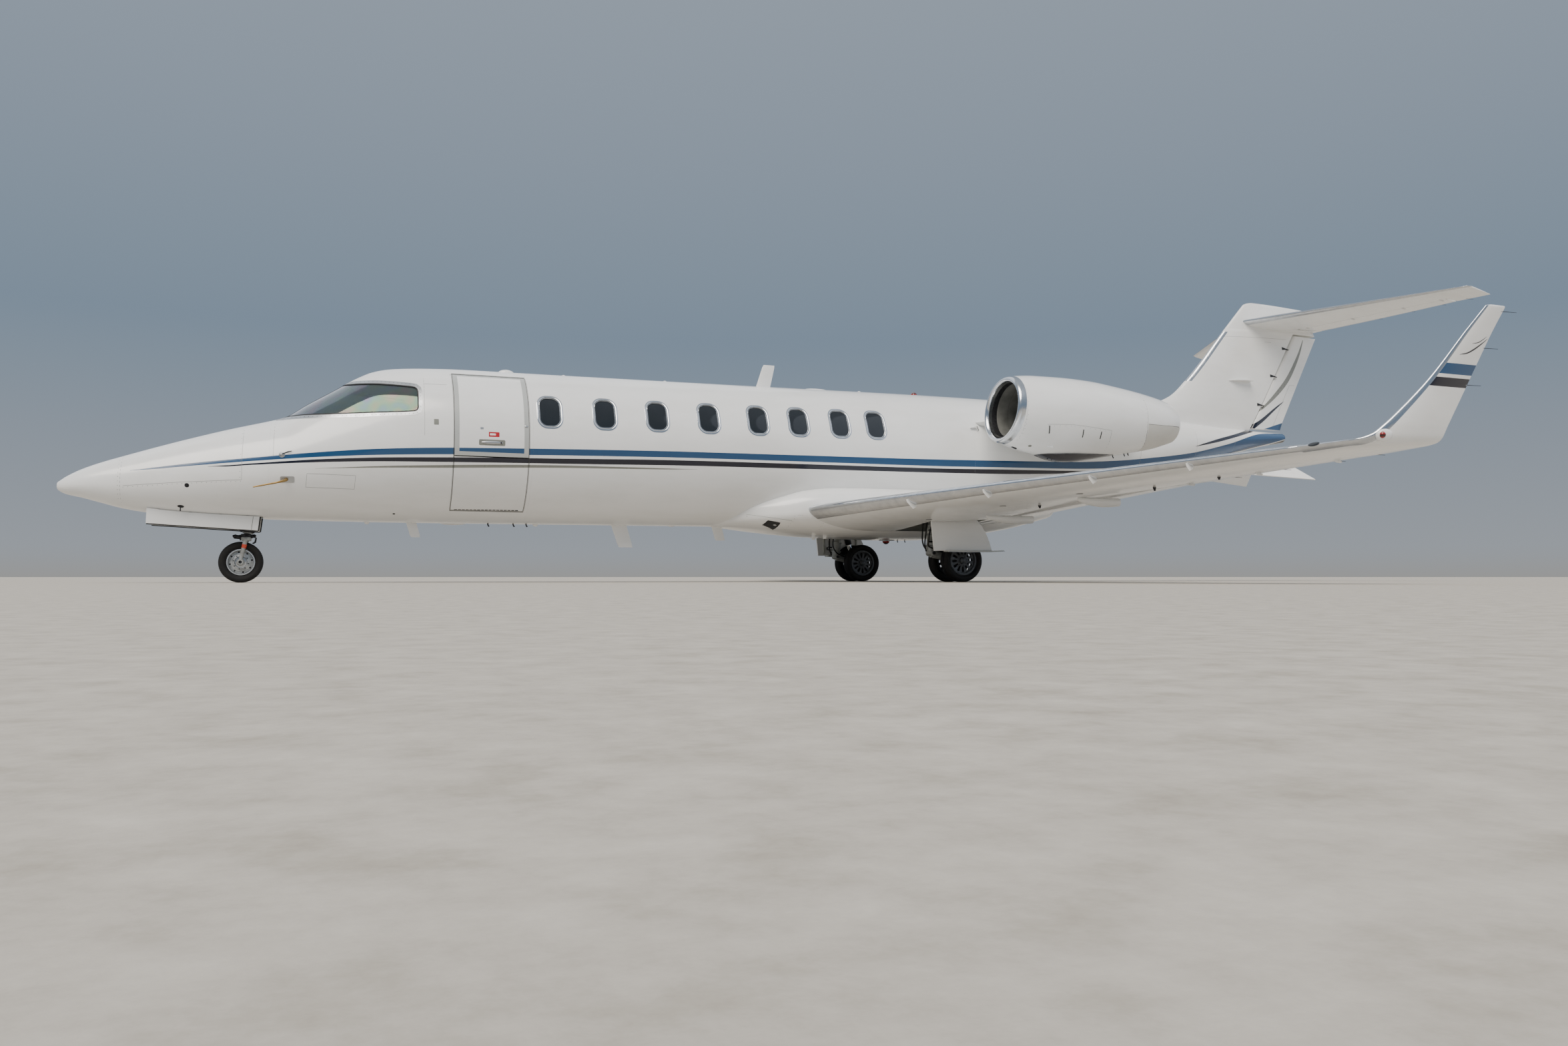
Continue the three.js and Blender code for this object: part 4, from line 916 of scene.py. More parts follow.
cabin = solidOf(hull(fuselage["cockpitEnd"] + fuselage["joint"], fuselage["cabinEnd"]), "cabinSkin",
                skinFinishes)
cut(cabin, hull(fuselage["cockpitEnd"] - 30, fuselage["cabinEnd"] - 60, fuselage["wall"], False, 0),
    liningPanel)
holes = Shape()
for station in windows["stations"]:
    for low, high in ((300, 1000), (-1000, -300)):
        holes.add(prism(windowOutline(station, 0), low, high))
carved(cabin, holes.mesh("windowCutter", [satinMetal]))
piece("cabinSkin", skinNormals(cabin, hullSkin), [], slot="white_paint", stands=["cabin_shell"])

tailRings = [hullRing(s) for s in stationsOf(fuselage["cabinEnd"] + fuselage["joint"], fuselage["tailEnd"])]
tailStations = [r[0][0] for r in tailRings]
lastRing = tailRings[-1]
middle = lastRing.mean(0)
for aft, share in ((18, 0.93), (33, 0.76), (43, 0.5), (47, 0.2)):  # the rounded end of the cone
    tailRings.append(middle + (lastRing - middle) * share + np.array([aft, 0, 0]))
    tailStations.append(fuselage["tailEnd"] + aft)
points, faces, looks = loft(tailRings)
count = len(bandOf)
looks = [bandLook(bandOf[k % count], tailStations[k // count]) for k in range(len(faces) - 2)] + [0, 2]
piece("tailSkin", Shape().add((points, faces, looks)), skinFinishes, slot="white_paint", stands=["tail_cone"],
      smooth=50)
print("cabin and tail skins made")

# Entry door

def doorLeaf(name, low, high, axis, node):
    door = entryDoor
    leaf = hullLayer(name, door["front"] - 40, door["rear"] + 40, 0, fuselage["wall"], skinFinishes,
                     liningPanel)
    cut(leaf, doorBox(low, high, -door["gap"], -250 - door["gap"]), wellPaint, "INTERSECT")
    for bore in doorPins(axis, door["pin"] + 0.5, 39, 0.1):
        cut(leaf, bore, darkMetal)
    piece(name, skinNormals(leaf, hullSkin), [], node, "white_paint", [node])


doorLeaf("entryDoorUpperLeaf", entryDoor["split"], entryDoor["top"], entryDoor["upperHinge"],
         "entry_door_upper")
doorLeaf("entryDoorLowerLeaf", entryDoor["sill"], entryDoor["split"], entryDoor["lowerHinge"],
         "entry_door_lower")

band = hullLayer("entryDoorBand", entryDoor["front"] - 40, entryDoor["rear"] + 40, 0.9, 1.5, [bandGrey],
                 bandGrey, False)
cut(band, doorBox(entryDoor["split"], entryDoor["top"], -entryDoor["gap"]), bandGrey, "INTERSECT")
cut(band, boxGrid(entryDoor["front"] + entryDoor["band"], entryDoor["rear"] - entryDoor["band"], -1000, -200,
                  entryDoor["split"] + entryDoor["bandLow"], entryDoor["top"] - 24), bandGrey)
piece("entryDoorBand", skinNormals(band, hullSkin, 0.0015), [], "entry_door_upper", "white_paint")
print("entry door made")


# Windscreen

windscreenLayers = [  # name, rise over the skin, depth, finish, outer and inner growth, reach, slot
    ("Pane", -5, 24, screenGlass, -2, None, 0.006, "glazing"),
    ("Frame", 1.6, 4, satinMetal, windscreen["frame"], -3, 0.002, "cast_metal"),
    ("Seal", 2.4, 12, sealRubber, 2, -windscreen["seal"], 0.003, "tyre_rubber")]
for side, word in sides:
    for key, raised, depth, finish, outer, inner, reach, slot in windscreenLayers:
        name = f"windscreen{key}_{word}"
        layer = hullLayer(name, fuselage["noseEnd"] + 40, 3640, raised, depth, [finish], finish, False)
        cut(layer, screenPrism(outer, side), finish, "INTERSECT")
        if inner is not None:
            cut(layer, screenPrism(inner, side), finish)
        piece(name, skinNormals(layer, hullSkin, reach), [], slot=slot,
              stands=[f"windscreen_{word}"] if key == "Pane" else ())
    screws = Shape()
    loop = windscreenOutline(windscreen["frame"] * 0.55)
    for s, z in alongRun(loop + loop[:1], windscreen["screwPitch"]):
        if s > 2120 and z < hullAt(s)[0] - 14:
            studAt(screws, hullSkin, s, z, side, 4.2, 3.0)
    piece(f"windscreenScrews_{word}", screws, [darkMetal], slot="dark_metal", smooth=0)
print("windscreen made")


# Cabin windows

def loopOnWall(station, grow, depth, side):
    return [hullSide(s, z, side, depth) for s, z in windowOutline(station, grow)]


def wallRing(shape, station, profile, side):
    # a moulding round a window; its profile is a closed loop of [outwards in the plane, depth under the skin]
    shape.add(loopLoft([loopOnWall(station, g, d, side) for g, d in profile], [0] * len(profile)))


def wallPlate(shape, station, grow, depth, thickness, side, crown):
    # a pane in a window: rows across it from the bottom to the top, over both faces
    height = windowHeight(station)
    half, tall = windows["width"] / 2 + grow, windows["height"] / 2 + grow
    corner = max(6, windows["corner"] + grow)
    rows = []
    for k in range(25):
        v = sin(pi * (k / 24 - 0.5)) * tall
        over = max(0, abs(v) - tall + corner)
        reach = half - corner + sqrt(max(0, corner ** 2 - over ** 2))
        across = [reach * sin(pi * (j / 12 - 0.5)) for j in range(13)]
        outer = [hullSide(station + u, height + v, side,
                          depth - crown * (1 - (u / half) ** 2) * (1 - (v / tall) ** 2)) for u in across]
        rows.append(outer + [hullSide(station + u, height + v, side,
                                      depth + thickness) for u in reversed(across)])
    shape.add(loft(rows))


for side, word in sides:
    panes, frames, seals, blinds = Shape(), Shape(), Shape(), Shape()
    for station in windows["stations"]:
        wallPlate(panes, station, -6, 9, 10, side, 3)
        wallRing(frames, station, [(24, 5), (23.4, -2.2), (15, -4), (7, -3.6), (3, -1.4), (1, 4), (2, 9),
                                   (22, 6)], side)
        wallRing(frames, station, [(-4.5, 3), (-6, 1.4), (-10, 1.2), (-12.5, 3.5), (-12, 12), (-5, 12)], side)
        wallRing(seals, station, [(1.5, 5), (-2, 4.4), (-5.5, 5), (-5.5, 16), (1.5, 16)], side)
        wallRing(blinds, station, [(12, 81), (14, 88), (2, 92), (-14, 90), (-18, 84), (-4, 58), (-1, 30),
                                   (4, 30)], side)
        height = windowHeight(station)
        for top, count in ((height + 168, 9), (height - 128, 3)):
            for k in range(count):  # a pleated blind, partly drawn
                ends = [hullSide(station + a, top - 13 * k, side, 60) for a in (-118, 118)]
                blinds.add(tube(ends, 6.6, 6), 1)
    piece(f"cabinPanes_{word}", panes, [cabinGlass], slot="glazing", stands=[f"cabin_windows_{word}"],
          smooth=40)
    piece(f"windowFrames_{word}", frames, [polishedMetal], slot="cast_metal", smooth=40)
    piece(f"windowSeals_{word}", seals, [sealRubber], slot="tyre_rubber", smooth=40)
    piece(f"windowBlinds_{word}", blinds, [liningPanel, wellPaint], slot="carpet", smooth=40)
print("cabin windows made")


# Wing

wing = {
    "sections": [  # spanwise, leading edge, trailing edge, their heights, thickness share
        (700, 7957, 10787, 880, 770, 0.118), (1050, 8085, 10810, 896, 785, 0.116),
        (2000, 8435, 10873, 940, 872, 0.112), (3200, 8876, 10952, 996, 990, 0.106),
        (6480, 10083, 11168, 1142, 1142, 0.095)],
    "tip": [  # spanwise, height, cant, leading edge, trailing edge, thickness share
        (6480, 1142, 0, 10083, 11168, 0.095), (6830, 1158, 3, 10212, 11142, 0.095),
        (6930, 1170, 20, 10270, 11130, 0.095), (6985, 1208, 48, 10352, 11132, 0.095),
        (7014, 1286, 66, 10450, 11150, 0.093), (7094, 1660, 76, 10853, 11309, 0.09),
        (7200, 2075, 76, 11172, 11466, 0.086), (7252, 2268, 76, 11328, 11551, 0.08)],
    "tipPolished": [  # leading edge, the polished strip's share of the chord
        (10083, 0.045), (10212, 0.06), (10270, 0.13), (10352, 0.2), (10450, 0.16), (10620, 0.1),
        (10969, 0.108),
        (11328, 0.17)],
    "topShare": 0.72, "hingeShare": 0.745, "flap": (1180, 4330), "aileron": (4440, 6380),
    "endGap": 21, "hingeGap": 9, "polished": 0.045, "chordPoints": 30,
}
mainWell = {"front": 9235, "rear": 10010, "inner": 520, "outer": 1790, "floor": 640, "roof": 905}
wingAt = linearTable(wing["sections"])


def halfThickness(x, share):
    return share * (1.4845 * sqrt(x) - 0.63 * x - 1.758 * x**2 + 1.4215 * x**3 - 0.5075 * x**4) + 0.0012 * x


def aerofoil(share, upper=1.0, edge=None, count=None):
    # from the trailing edge over the top and back, chord 1; one point stands at the polished strip's edge
    n = count or wing["chordPoints"]
    stops = {round(0.5 * (1 - cos(pi * k / n)), 6) for k in range(n + 1)}
    stops = sorted(stops | {edge} if edge else stops)
    top = [(x, halfThickness(x, share) * upper) for x in reversed(stops)]
    return top + [(x, -halfThickness(x, share) * (2 - upper)) for x in stops[1:]]


def wingRing(row, edge=None):
    side, lead, trail, leadZ, trailZ, share = row
    chord = trail - lead
    return [(lead + x * chord, side, leadZ + x * (trailZ - leadZ) + h * chord)
            for x, h in aerofoil(share, wing["topShare"], edge)]


def tipRing(row, edge=None):
    side, height, cant, lead, trail, share = row
    chord, lean = trail - lead, radians(cant)
    return [(lead + x * chord, side - h * chord * sin(lean), height + h * chord * cos(lean))
            for x, h in aerofoil(share, wing["topShare"], edge)]


def edgeLooks(faces, edge):
    # which faces between two rings lie on the polished leading edge
    xs = [x for x, h in aerofoil(0.1, 1, edge)]
    count = len(xs)
    ahead = [max(xs[k], xs[(k + 1) % count]) <= edge + 1e-6 for k in range(count)]
    return [int(ahead[k % count]) for k in range(len(faces) - 2)] + [0, 0]


def movingSection(radius, chord, lean, edge, crown, lip):
    # round about its hinge in front, a little full behind it, with a blunt trailing edge
    nose = [(radius * cos(a) / cos(lean), radius * sin(a))
            for a in (pi * (0.5 + k / 16) for k in range(17))]
    swell = [(x * chord, radius * (1 - x) + edge * x + radius * crown * sin(pi * x) * (1 - x))
             for x in (0.12, 0.27, 0.45, 0.65, 0.85)]
    return (nose + [(x, -z) for x, z in swell] + [(chord - 3, -edge), (chord, -lip), (chord, lip),
                                                  (chord - 3, edge)] + swell[::-1])


def movable(first, last, pinRadius):
    # a surface between two ends, each with its hinge point, nose radius, chord behind the hinge and slope
    sweep = atan2(last["x"] - first["x"], last["y"] - first["y"])

    def between(y):
        t = (y - first["y"]) / (last["y"] - first["y"])
        return {k: first[k] + (last[k] - first[k]) * t for k in first}

    def ring(end, outline):
        return [(end["x"] + a, end["y"], end["z"] + u + a * end["slope"]) for a, u in outline(end)]

    def section(end):
        return movingSection(end["radius"], end["chord"], sweep, 2.5, 0.10, 1)

    def space(end):
        front = -end["radius"] / cos(sweep) - wing["hingeGap"]
        return [(front, -400), (end["chord"] + 400, -400), (end["chord"] + 400, 400), (front, 400)]

    def at(y):
        return between(y)["x"], y, between(y)["z"]

    gap = wing["endGap"]
    pins = [(at(first["y"] - 28), at(first["y"] + gap + 45)), (at(last["y"] + 28), at(last["y"] - gap - 45))]
    stops = np.linspace(first["y"] + gap, last["y"] - gap, 14)
    return {"skin": loft([ring(between(y), section) for y in stops]),
            "cut": loft([ring(first, space), ring(last, space)]),
            "pins": [rod(a, b, pinRadius, edge=1) for a, b in pins],
            "bores": [rod(a, b, pinRadius + 0.6, edge=0.1) for a, b in pins]}


def wingSurface(span):
    ends = []
    for side in span:
        lead, trail, leadZ, trailZ, share = wingAt(side)
        radius = halfThickness(wing["hingeShare"], share) * (trail - lead)
        x = lead + wing["hingeShare"] * (trail - lead)
        z = leadZ + wing["hingeShare"] * (trailZ - leadZ) - (1 - wing["topShare"]) * radius
        ends.append({"x": x, "y": side, "z": z, "radius": radius, "chord": trail - x,
                     "slope": (trailZ - z) / (trail - x)})
    return movable(*ends, 9)


flap = wingSurface(wing["flap"])
aileron = wingSurface(wing["aileron"])
fairing = {
    "lines": [  # station, top, bottom, half width
        (7060, 900, 696, 200), (7400, 1020, 664, 560), (7760, 1120, 630, 800), (8040, 1200, 606, 905),
        (8450, 1235, 580, 985), (9000, 1240, 560, 1010), (9800, 1240, 552, 1010), (10500, 1220, 600, 985),
        (11100, 1180, 690, 880), (11800, 1130, 850, 560)],
    "square": 0.72, "points": 96,
}
fairingAt = smoothTable(fairing["lines"])


def fairingRing(station, grow=0):
    top, bottom, half = fairingAt(station)
    ring = []
    for i in range(fairing["points"]):
        a = 2 * pi * i / fairing["points"]
        c, d = cos(a), sin(a)
        ring.append((station, copysign(abs(c) ** fairing["square"], c) * (half + grow),
                     (top + bottom) / 2 + copysign(abs(d) ** fairing["square"],
                                                   d) * ((top - bottom) / 2 + grow)))
    return ring


def wellCutters(side):
    # the roof slopes down at the back, to stay under the wing's upper skin
    w = mainWell
    for y0, y1, floor in ((w["inner"], 1040, w["floor"]), (960, w["outer"], 300)):
        outline = [(w["front"], floor), (w["rear"], floor), (w["rear"], w["roof"] - 36),
                   (w["rear"] - 260, w["roof"]), (w["front"], w["roof"])]
        yield prism(outline, *sorted((side * y0, side * y1)))


fairingGrid = loft([fairingRing(s) for s in np.linspace(7060, 11800, 80)])
fairingSkin = surfaceOf(fairingGrid)
belly = solidOf(fairingGrid, "bellyFairingShell", [whitePaint])
for side in (1, -1):
    for form in wellCutters(side):
        cut(belly, form, wellPaint)
piece("bellyFairingShell", skinNormals(belly, fairingSkin), [], slot="white_paint", stands=["belly_fairing"])

wingStops = [700] + list(np.linspace(1050, 6480, 46))
wingRows = [(y, *wingAt(y)) for y in wingStops]
wingPoints, wingFaces, _ = loft([wingRing(r, wing["polished"]) for r in wingRows])
wingGrid = (wingPoints, wingFaces, edgeLooks(wingFaces, wing["polished"]))
wingPanel = solidOf(wingGrid, "wingPanel_right", [whitePaint, polishedMetal])
for form in (flap["cut"], aileron["cut"], *wellCutters(1)):
    cut(wingPanel, form, wellPaint)
for pin in flap["pins"] + aileron["pins"]:
    cut(wingPanel, pin, darkMetal, "UNION")
skinNormals(wingPanel, surfaceOf(wingGrid))


def mirrorPiece(obj, name):
    # a mirrored copy that keeps its custom normals
    data = obj.data.copy()
    normals = [tuple(n.vector) for n in data.corner_normals]
    starts = [(f.loop_start, f.loop_total) for f in data.polygons]
    data.transform(Matrix.Scale(-1, 4, (0, 1, 0)))
    data.flip_normals()
    mirrored = [None] * len(normals)
    for start, total in starts:
        order = [start] + list(range(start + total - 1, start, -1))
        for new, old in enumerate(order):
            x, y, z = normals[old]
            mirrored[start + new] = (x, -y, z)
    data.normals_split_custom_set(mirrored)
    made = bpy.data.objects.new(name, data)
    bpy.context.scene.collection.objects.link(made)
    return made


def asPair(obj, name, body="airframe", slot=None, stands=()):
    obj.name = f"{name}_right"
    other = mirrorPiece(obj, f"{name}_left")
    for made, word in ((obj, "right"), (other, "left")):
        given(made, body if body == "airframe" else f"{body}_{word}", slot, [f"{n}_{word}" for n in stands])


def movingPanel(part, name):
    panel = solidOf(part["skin"], name + "Panel_right", [whitePaint])
    for bore in part["bores"]:
        cut(panel, bore, darkMetal)
    shade(panel.data, 32)
    asPair(panel, name + "Panel", name, "white_paint", [name])


asPair(wingPanel, "wingPanel", slot="white_paint", stands=["wing"])
movingPanel(flap, "flap")
movingPanel(aileron, "aileron")

tipAt = smoothTable([(k, *row) for k, row in enumerate(wing["tip"])])
bands = {2: (1714, 1800), 3: (1613, 1686)}  # the blue band and the dark one below it
tipEdge = 0.09
tipEdgeAt = linearTable(wing["tipPolished"])
tipStops = list(np.linspace(0, 4, 25)) + list(np.linspace(4, 7, 40)[1:])
tipRows = [list(tipAt(k)) for k in tipStops]


def tipRowAt(height):
    low, high = 4.0, 7.0
    for _ in range(40):
        middle = (low + high) / 2
        low, high = (middle, high) if tipAt(middle)[1] < height else (low, middle)
    return list(tipAt(low))


for z in bands[3] + bands[2]:
    tipRows = [r for r in tipRows if abs(r[1] - z) > 6 or r[1] < 1400] + [tipRowAt(z)]
tipRows.sort(key=lambda r: (r[1] if r[1] > 1300 else r[0] / 10))
lastRow = tipRows[-1]
for up, share in ((6, 0.94), (10, 0.8), (12, 0.55)):  # the rounded tip
    chord = lastRow[4] - lastRow[3]
    tipRows.append([lastRow[0] + up * 0.24, lastRow[1] + up, lastRow[2],
                    lastRow[3] + chord * (1 - share) * 0.5, lastRow[4] - chord * (1 - share) * 0.12,
                    lastRow[5] * share])
points, faces, looks = loft([tipRing(r, float(tipEdgeAt(r[3])[0])) for r in tipRows])
count = len(tipRing(tipRows[0], tipEdge))
looks = edgeLooks(faces, tipEdge)
for k in range(len(faces) - 2):
    low, high = tipRows[k // count][1], tipRows[k // count + 1][1]
    for number, (foot, top) in bands.items():
        if looks[k] == 0 and low > foot - 1 and high < top + 1:
            looks[k] = number
points = np.array(points) + np.array([0, fuselage["joint"], 0])
bothSides("wingletShell", Shape().add((points, faces, looks)), [whitePaint, polishedMetal, bluePaint,
                                                                navyPaint], slot="white_paint",
          stands=["winglet"], smooth=40)
print("wings made")


# Tail surfaces

tailPlane = {
    "fin": [  # height, leading edge, rear edge, thickness, rear share
        (2280, 12500, 15830, 150, 0.92), (2480, 13460, 15950, 190, 0.92), (2560, 13800, 15996, 205, 0.92),
        (2668, 14060, 16060, 215, 0.92), (2770, 14281, 16120, 218, 0.92), (2998, 14547, 16250, 215, 0.92),
        (3856, 15330, 16760, 160, 0.92), (3866, 15339, 17120, 158, 0.2), (3960, 15425, 17070, 152, 0.2),
        (4060, 15515, 16930, 144, 0.25), (4300, 15735, 16885, 120, 0.3)],
    "finTop": [(15640, 4215), (15698, 4262), (15758, 4290), (15830, 4300), (17300, 4251)],
    "rudderLine": ((15830, 2330), (16685, 3788)),
    "rudder": [(2345, 66, 16398), (2470, 68, 16449), (3845, 50, 17166)],  # height, nose radius, trailing edge
    "stabiliser": [(0, 15620, 17090, 3993, 3935, 0.1), (2300, 16884, 17440, 4050, 3972, 0.095),
                   (2690, 17098, 17540, 4060, 3980, 0.06)],
    "elevatorShare": 0.66, "elevator": (190, 2280), "polishedFin": 0.035, "polishedStabiliser": 0.06,
}
(lowX, lowZ), (highX, highZ) = tailPlane["rudderLine"]
rudderLean = atan2(highX - lowX, highZ - lowZ)


def rudderHingeAt(z):
    return lowX + (z - lowZ) * tan(rudderLean)


def finRing(row, edge):
    height, lead, rear, thickness, rearShare = row
    chord = (rear - lead) / 0.7
    upper = [(x, h) for x, h in aerofoil(thickness / chord, 1, edge, 40) if x < 0.7]
    rearHalf = halfThickness(0.69, thickness / chord) * chord * rearShare
    side = [(lead + x * chord, h * chord, height) for x, h in upper]
    return [(rear, rearHalf, height)] + side + [(rear, -rearHalf, height)]


finAt = linearTable(tailPlane["fin"])
finSlowAt = smoothTable(tailPlane["fin"][:7])
finHeights = list(np.linspace(2280, 3856, 40)) + [3866] + list(np.linspace(3880, 4300, 10))
finRows = [(z, *(finSlowAt(z) if z <= 3856 else finAt(z))) for z in finHeights]
finGrid = loft([finRing(r, tailPlane["polishedFin"]) for r in finRows])
finSkin = surfaceOf(finGrid)


def stabiliserRing(row, edge):
    side, lead, trail, leadZ, trailZ, share = row
    chord = trail - lead
    return [(lead + x * chord, side, leadZ + x * (trailZ - leadZ) + h * chord)
            for x, h in aerofoil(share, 1, edge)]


stabiliserAt = linearTable(tailPlane["stabiliser"])


def stabiliserGrid(edge):
    rows = [(y, *stabiliserAt(y)) for y in np.linspace(0, 2690, 34)]
    end, lead, trail, leadZ, trailZ, thick = rows[-1]
    for out, share in ((7, 0.9), (12, 0.7), (15, 0.35)):  # the rounded tip
        rows.append((end + out, lead + (1 - share) * (trail - lead) * 0.2,
                     trail - (1 - share) * (trail - lead) * 0.06, leadZ, trailZ, thick * share))
    right = [stabiliserRing(r, edge) for r in rows]
    return loft([[(x, -y, z) for x, y, z in r] for r in reversed(right[1:])] + right)


def elevatorEnd(side):
    lead, trail, leadZ, trailZ, share = stabiliserAt(side)
    x = lead + tailPlane["elevatorShare"] * (trail - lead)
    slope = (trailZ - leadZ) / (trail - lead)
    radius = halfThickness(tailPlane["elevatorShare"], share) * (trail - lead) * 0.98
    return {"x": x, "y": side, "z": leadZ + (x - lead) * slope, "radius": radius, "chord": trail - x,
            "slope": slope}


elevator = movable(*[elevatorEnd(y) for y in tailPlane["elevator"]], 7)
stabPoints, stabFaces, _ = stabiliserGrid(tailPlane["polishedStabiliser"])
stabGrid = (stabPoints, stabFaces, edgeLooks(stabFaces, tailPlane["polishedStabiliser"]))
stabiliser = solidOf(stabGrid, "stabiliserPanel", [whitePaint, polishedMetal])
for grid, finish, operation in ((elevator["cut"], wellPaint, "DIFFERENCE"),
                                *((p, darkMetal, "UNION") for p in elevator["pins"])):
    form = Shape().add(grid)
    for half in (form, form.mirrored()):
        carved(stabiliser, half.mesh("cutter", [finish]), operation)
piece("stabiliserPanel", skinNormals(stabiliser, surfaceOf(stabGrid)), [], slot="white_paint",
      stands=["stabiliser"])
movingPanel(elevator, "elevator")

count = len(finRing(finRows[0], tailPlane["polishedFin"]))
xs = [1.0] + [x for x, h in aerofoil(0.1, 1, tailPlane["polishedFin"], 40) if x < 0.7] + [1.0]
finLooks = []
for k in range(len(finGrid[1]) - 2):
    height = finRows[k // count][0]
    ahead = max(xs[k % count], xs[(k + 1) % count]) <= tailPlane["polishedFin"] + 1e-6
    finLooks.append(1 if ahead and 2990 < height < 3800 else 0)
finShape = Shape().add((finGrid[0], finGrid[1], finLooks + [0, 0])).mesh("finShell",
        [whitePaint, polishedMetal])
cut(finShape, prism(tailPlane["finTop"] + [(17300, 4500), (15640, 4500)], -200, 200), whitePaint)
box = ((-89, -300), (900, -300), (900, 300), (-89, 300))
space = [(rudderHingeAt(z) + a, y, z) for z in (2285, 3868) for a, y in box]
cut(finShape, loft([space[:4], space[4:]]), wellPaint)
cut(finShape, hull(12000, 16405, 2, False, 0), whitePaint)
piece("finShell", skinNormals(finShape, finSkin), [], slot="white_paint", stands=["fin"])

rudderAt = linearTable(tailPlane["rudder"])


def rudderRing(height):
    radius, trail = rudderAt(height)
    hinge = rudderHingeAt(height)
    return [(hinge + x, y, height) for x, y in movingSection(radius, trail - hinge, rudderLean, 4, 0.08, 1.5)]


rudderGrid = loft([rudderRing(z) for z in np.linspace(2345, 3845, 26)])
rudderSkin = surfaceOf(rudderGrid)
rudderPiece = solidOf(rudderGrid, "rudderPanel", [whitePaint])
for a, b in ((2270, 2404), (3890, 3781)):
    cut(rudderPiece, rod((rudderHingeAt(a), 0, a), (rudderHingeAt(b), 0, b), 9.6, edge=0.1), darkMetal)
shade(rudderPiece.data, 32)
piece("rudderPanel", rudderPiece, [], "rudder", "white_paint", ["rudder"])

corners = np.array([(14300, 300, 1640), (16370, 700, 1520), (16080, 120, 1950), (14300, 200, 1800)], float)
rings = []
for depth, draw in ((-9, 6), (-6, 0), (6, 0), (9, 6)):
    flat = inset(corners[:, :2], draw)
    heights = corners[:, 2] + (flat[:, 1] - corners[:, 1]) * -0.7
    rings.append([(x, y + depth * 0.6, z + depth * 0.8) for (x, y), z in zip(flat, heights)])
bothSides("ventralFin", Shape().add(loft(rings)), [whitePaint], slot="white_paint", stands=["ventral_fin"],
          smooth=20)
print("tail made")


# Engines

engine = {
    "side": 1400, "front": 2166, "rear": 2085, "scarf": 0.11,  # front and rear: the axis's heights
    "fanStation": 11080, "fanRadius": 338, "blades": 22,
    "rings": [  # station, half width, top, bottom, duct radius
        (10450, 376, 2542, 1790, 376), (10470, 408, 2576, 1752, 350), (10560, 432, 2594, 1726, 336),
        (10850, 456, 2614, 1640, 350), (11270, 470, 2616, 1577, 352), (11690, 465, 2598, 1606, 352),
        (12110, 432, 2549, 1644, 338), (12440, 388, 2502, 1700, 318), (12780, 328, 2438, 1766, 286),
        (12930, 287, 2400, 1811, 250), (13050, 240, 2350, 1848, 208)],
}
(engineStart, *_), (engineEnd, *_) = engine["rings"][0], engine["rings"][-1]
nacelleAt = smoothTable(engine["rings"][1:])


def engineHeightAt(s):
    t = (s - engineStart) / (engineEnd - engineStart)
    return engine["front"] + t * (engine["rear"] - engine["front"])


def engineRing(station, half, top, bottom, segments=72):
    axis = engineHeightAt(station)
    fade = max(0.0, 1 - (station - engineStart) / 650)
    ring = []
    for i in range(segments):
        a = 2 * pi * i / segments
        c, d = cos(a), sin(a)
        ring.append((station + engine["scarf"] * half * d * fade, engine["side"] + half * c,
                     axis + d * (top - axis if d > 0 else axis - bottom)))
    return ring


def roundRing(station, radius, segments=72):
    axis = engineHeightAt(station)
    return engineRing(station, radius, axis + radius, axis - radius, segments)


def nacelleRing(station, grow=0.0):
    half, top, bottom, duct = nacelleAt(station)
    return engineRing(station, half + grow, top + grow, bottom - grow)


lipRings = []
for k in range(13):  # a round inlet lip, from the duct's throat over the front to the cowl
    a = pi * k / 12
    t = 0.5 - 0.5 * cos(a)
    half = 350 + (nacelleAt(10512)[0] - 350) * t
    top = 2515 + (nacelleAt(10512)[1] - 2515) * t
    bottom = 1815 + (nacelleAt(10512)[2] - 1815) * t
    lipRings.append(engineRing(10512 - (10512 - engineStart) * sin(a), half, top, bottom))
outerStops = list(np.linspace(10545, engineEnd, 44))
outer = [nacelleRing(s) for s in outerStops]
duct = [(engineEnd - 4, 232), (engineEnd - 30, 222), (12900, 258), (12600, 305), (12300, 330), (11900, 345),
        (11600, 352), (11270, 352), (11000, 350), (10850, 349), (10700, 341), (10600, 340), (10530, 346)]
rings = lipRings + outer + [roundRing(s, r) for s, r in duct]
looks = [1] * len(lipRings) + [0] * (len(outer) - 1) + [2] * len(duct) + [1]  # lip, cowl, duct, lip
nacelle = Shape().add(loopLoft(rings, looks))
bothSides("nacelleCowl", nacelle, [whitePaint, polishedMetal, darkMetal], slot="white_paint",
          stands=["nacelle"], smooth=38)


def pylonRing(side, lead, trail):
    return [(lead + x * (trail - lead), side, 2085 - 0.02 * x * (trail - lead) + h * (trail - lead))
            for x, h in aerofoil(0.07)]


pylon = solidOf(loft([pylonRing(560 + 560 * k / 8, 10400 + 240 * k / 8,
                                13050 - 150 * k / 8) for k in range(9)]), "pylonShell_right", [whitePaint])
ductCore = loft([roundRing(s, r + 14) for s, r in ((10380, 346), (10600, 340), (10850, 349), (11270, 352),
                                                   (11900, 345), (12300, 330), (12600, 305), (12900, 258),
                                                   (13100, 250))])
cut(pylon, ductCore, whitePaint)
shade(pylon.data, 40)
asPair(pylon, "pylonShell", slot="white_paint", stands=["pylon"])
print("engines made")

# Landing gear

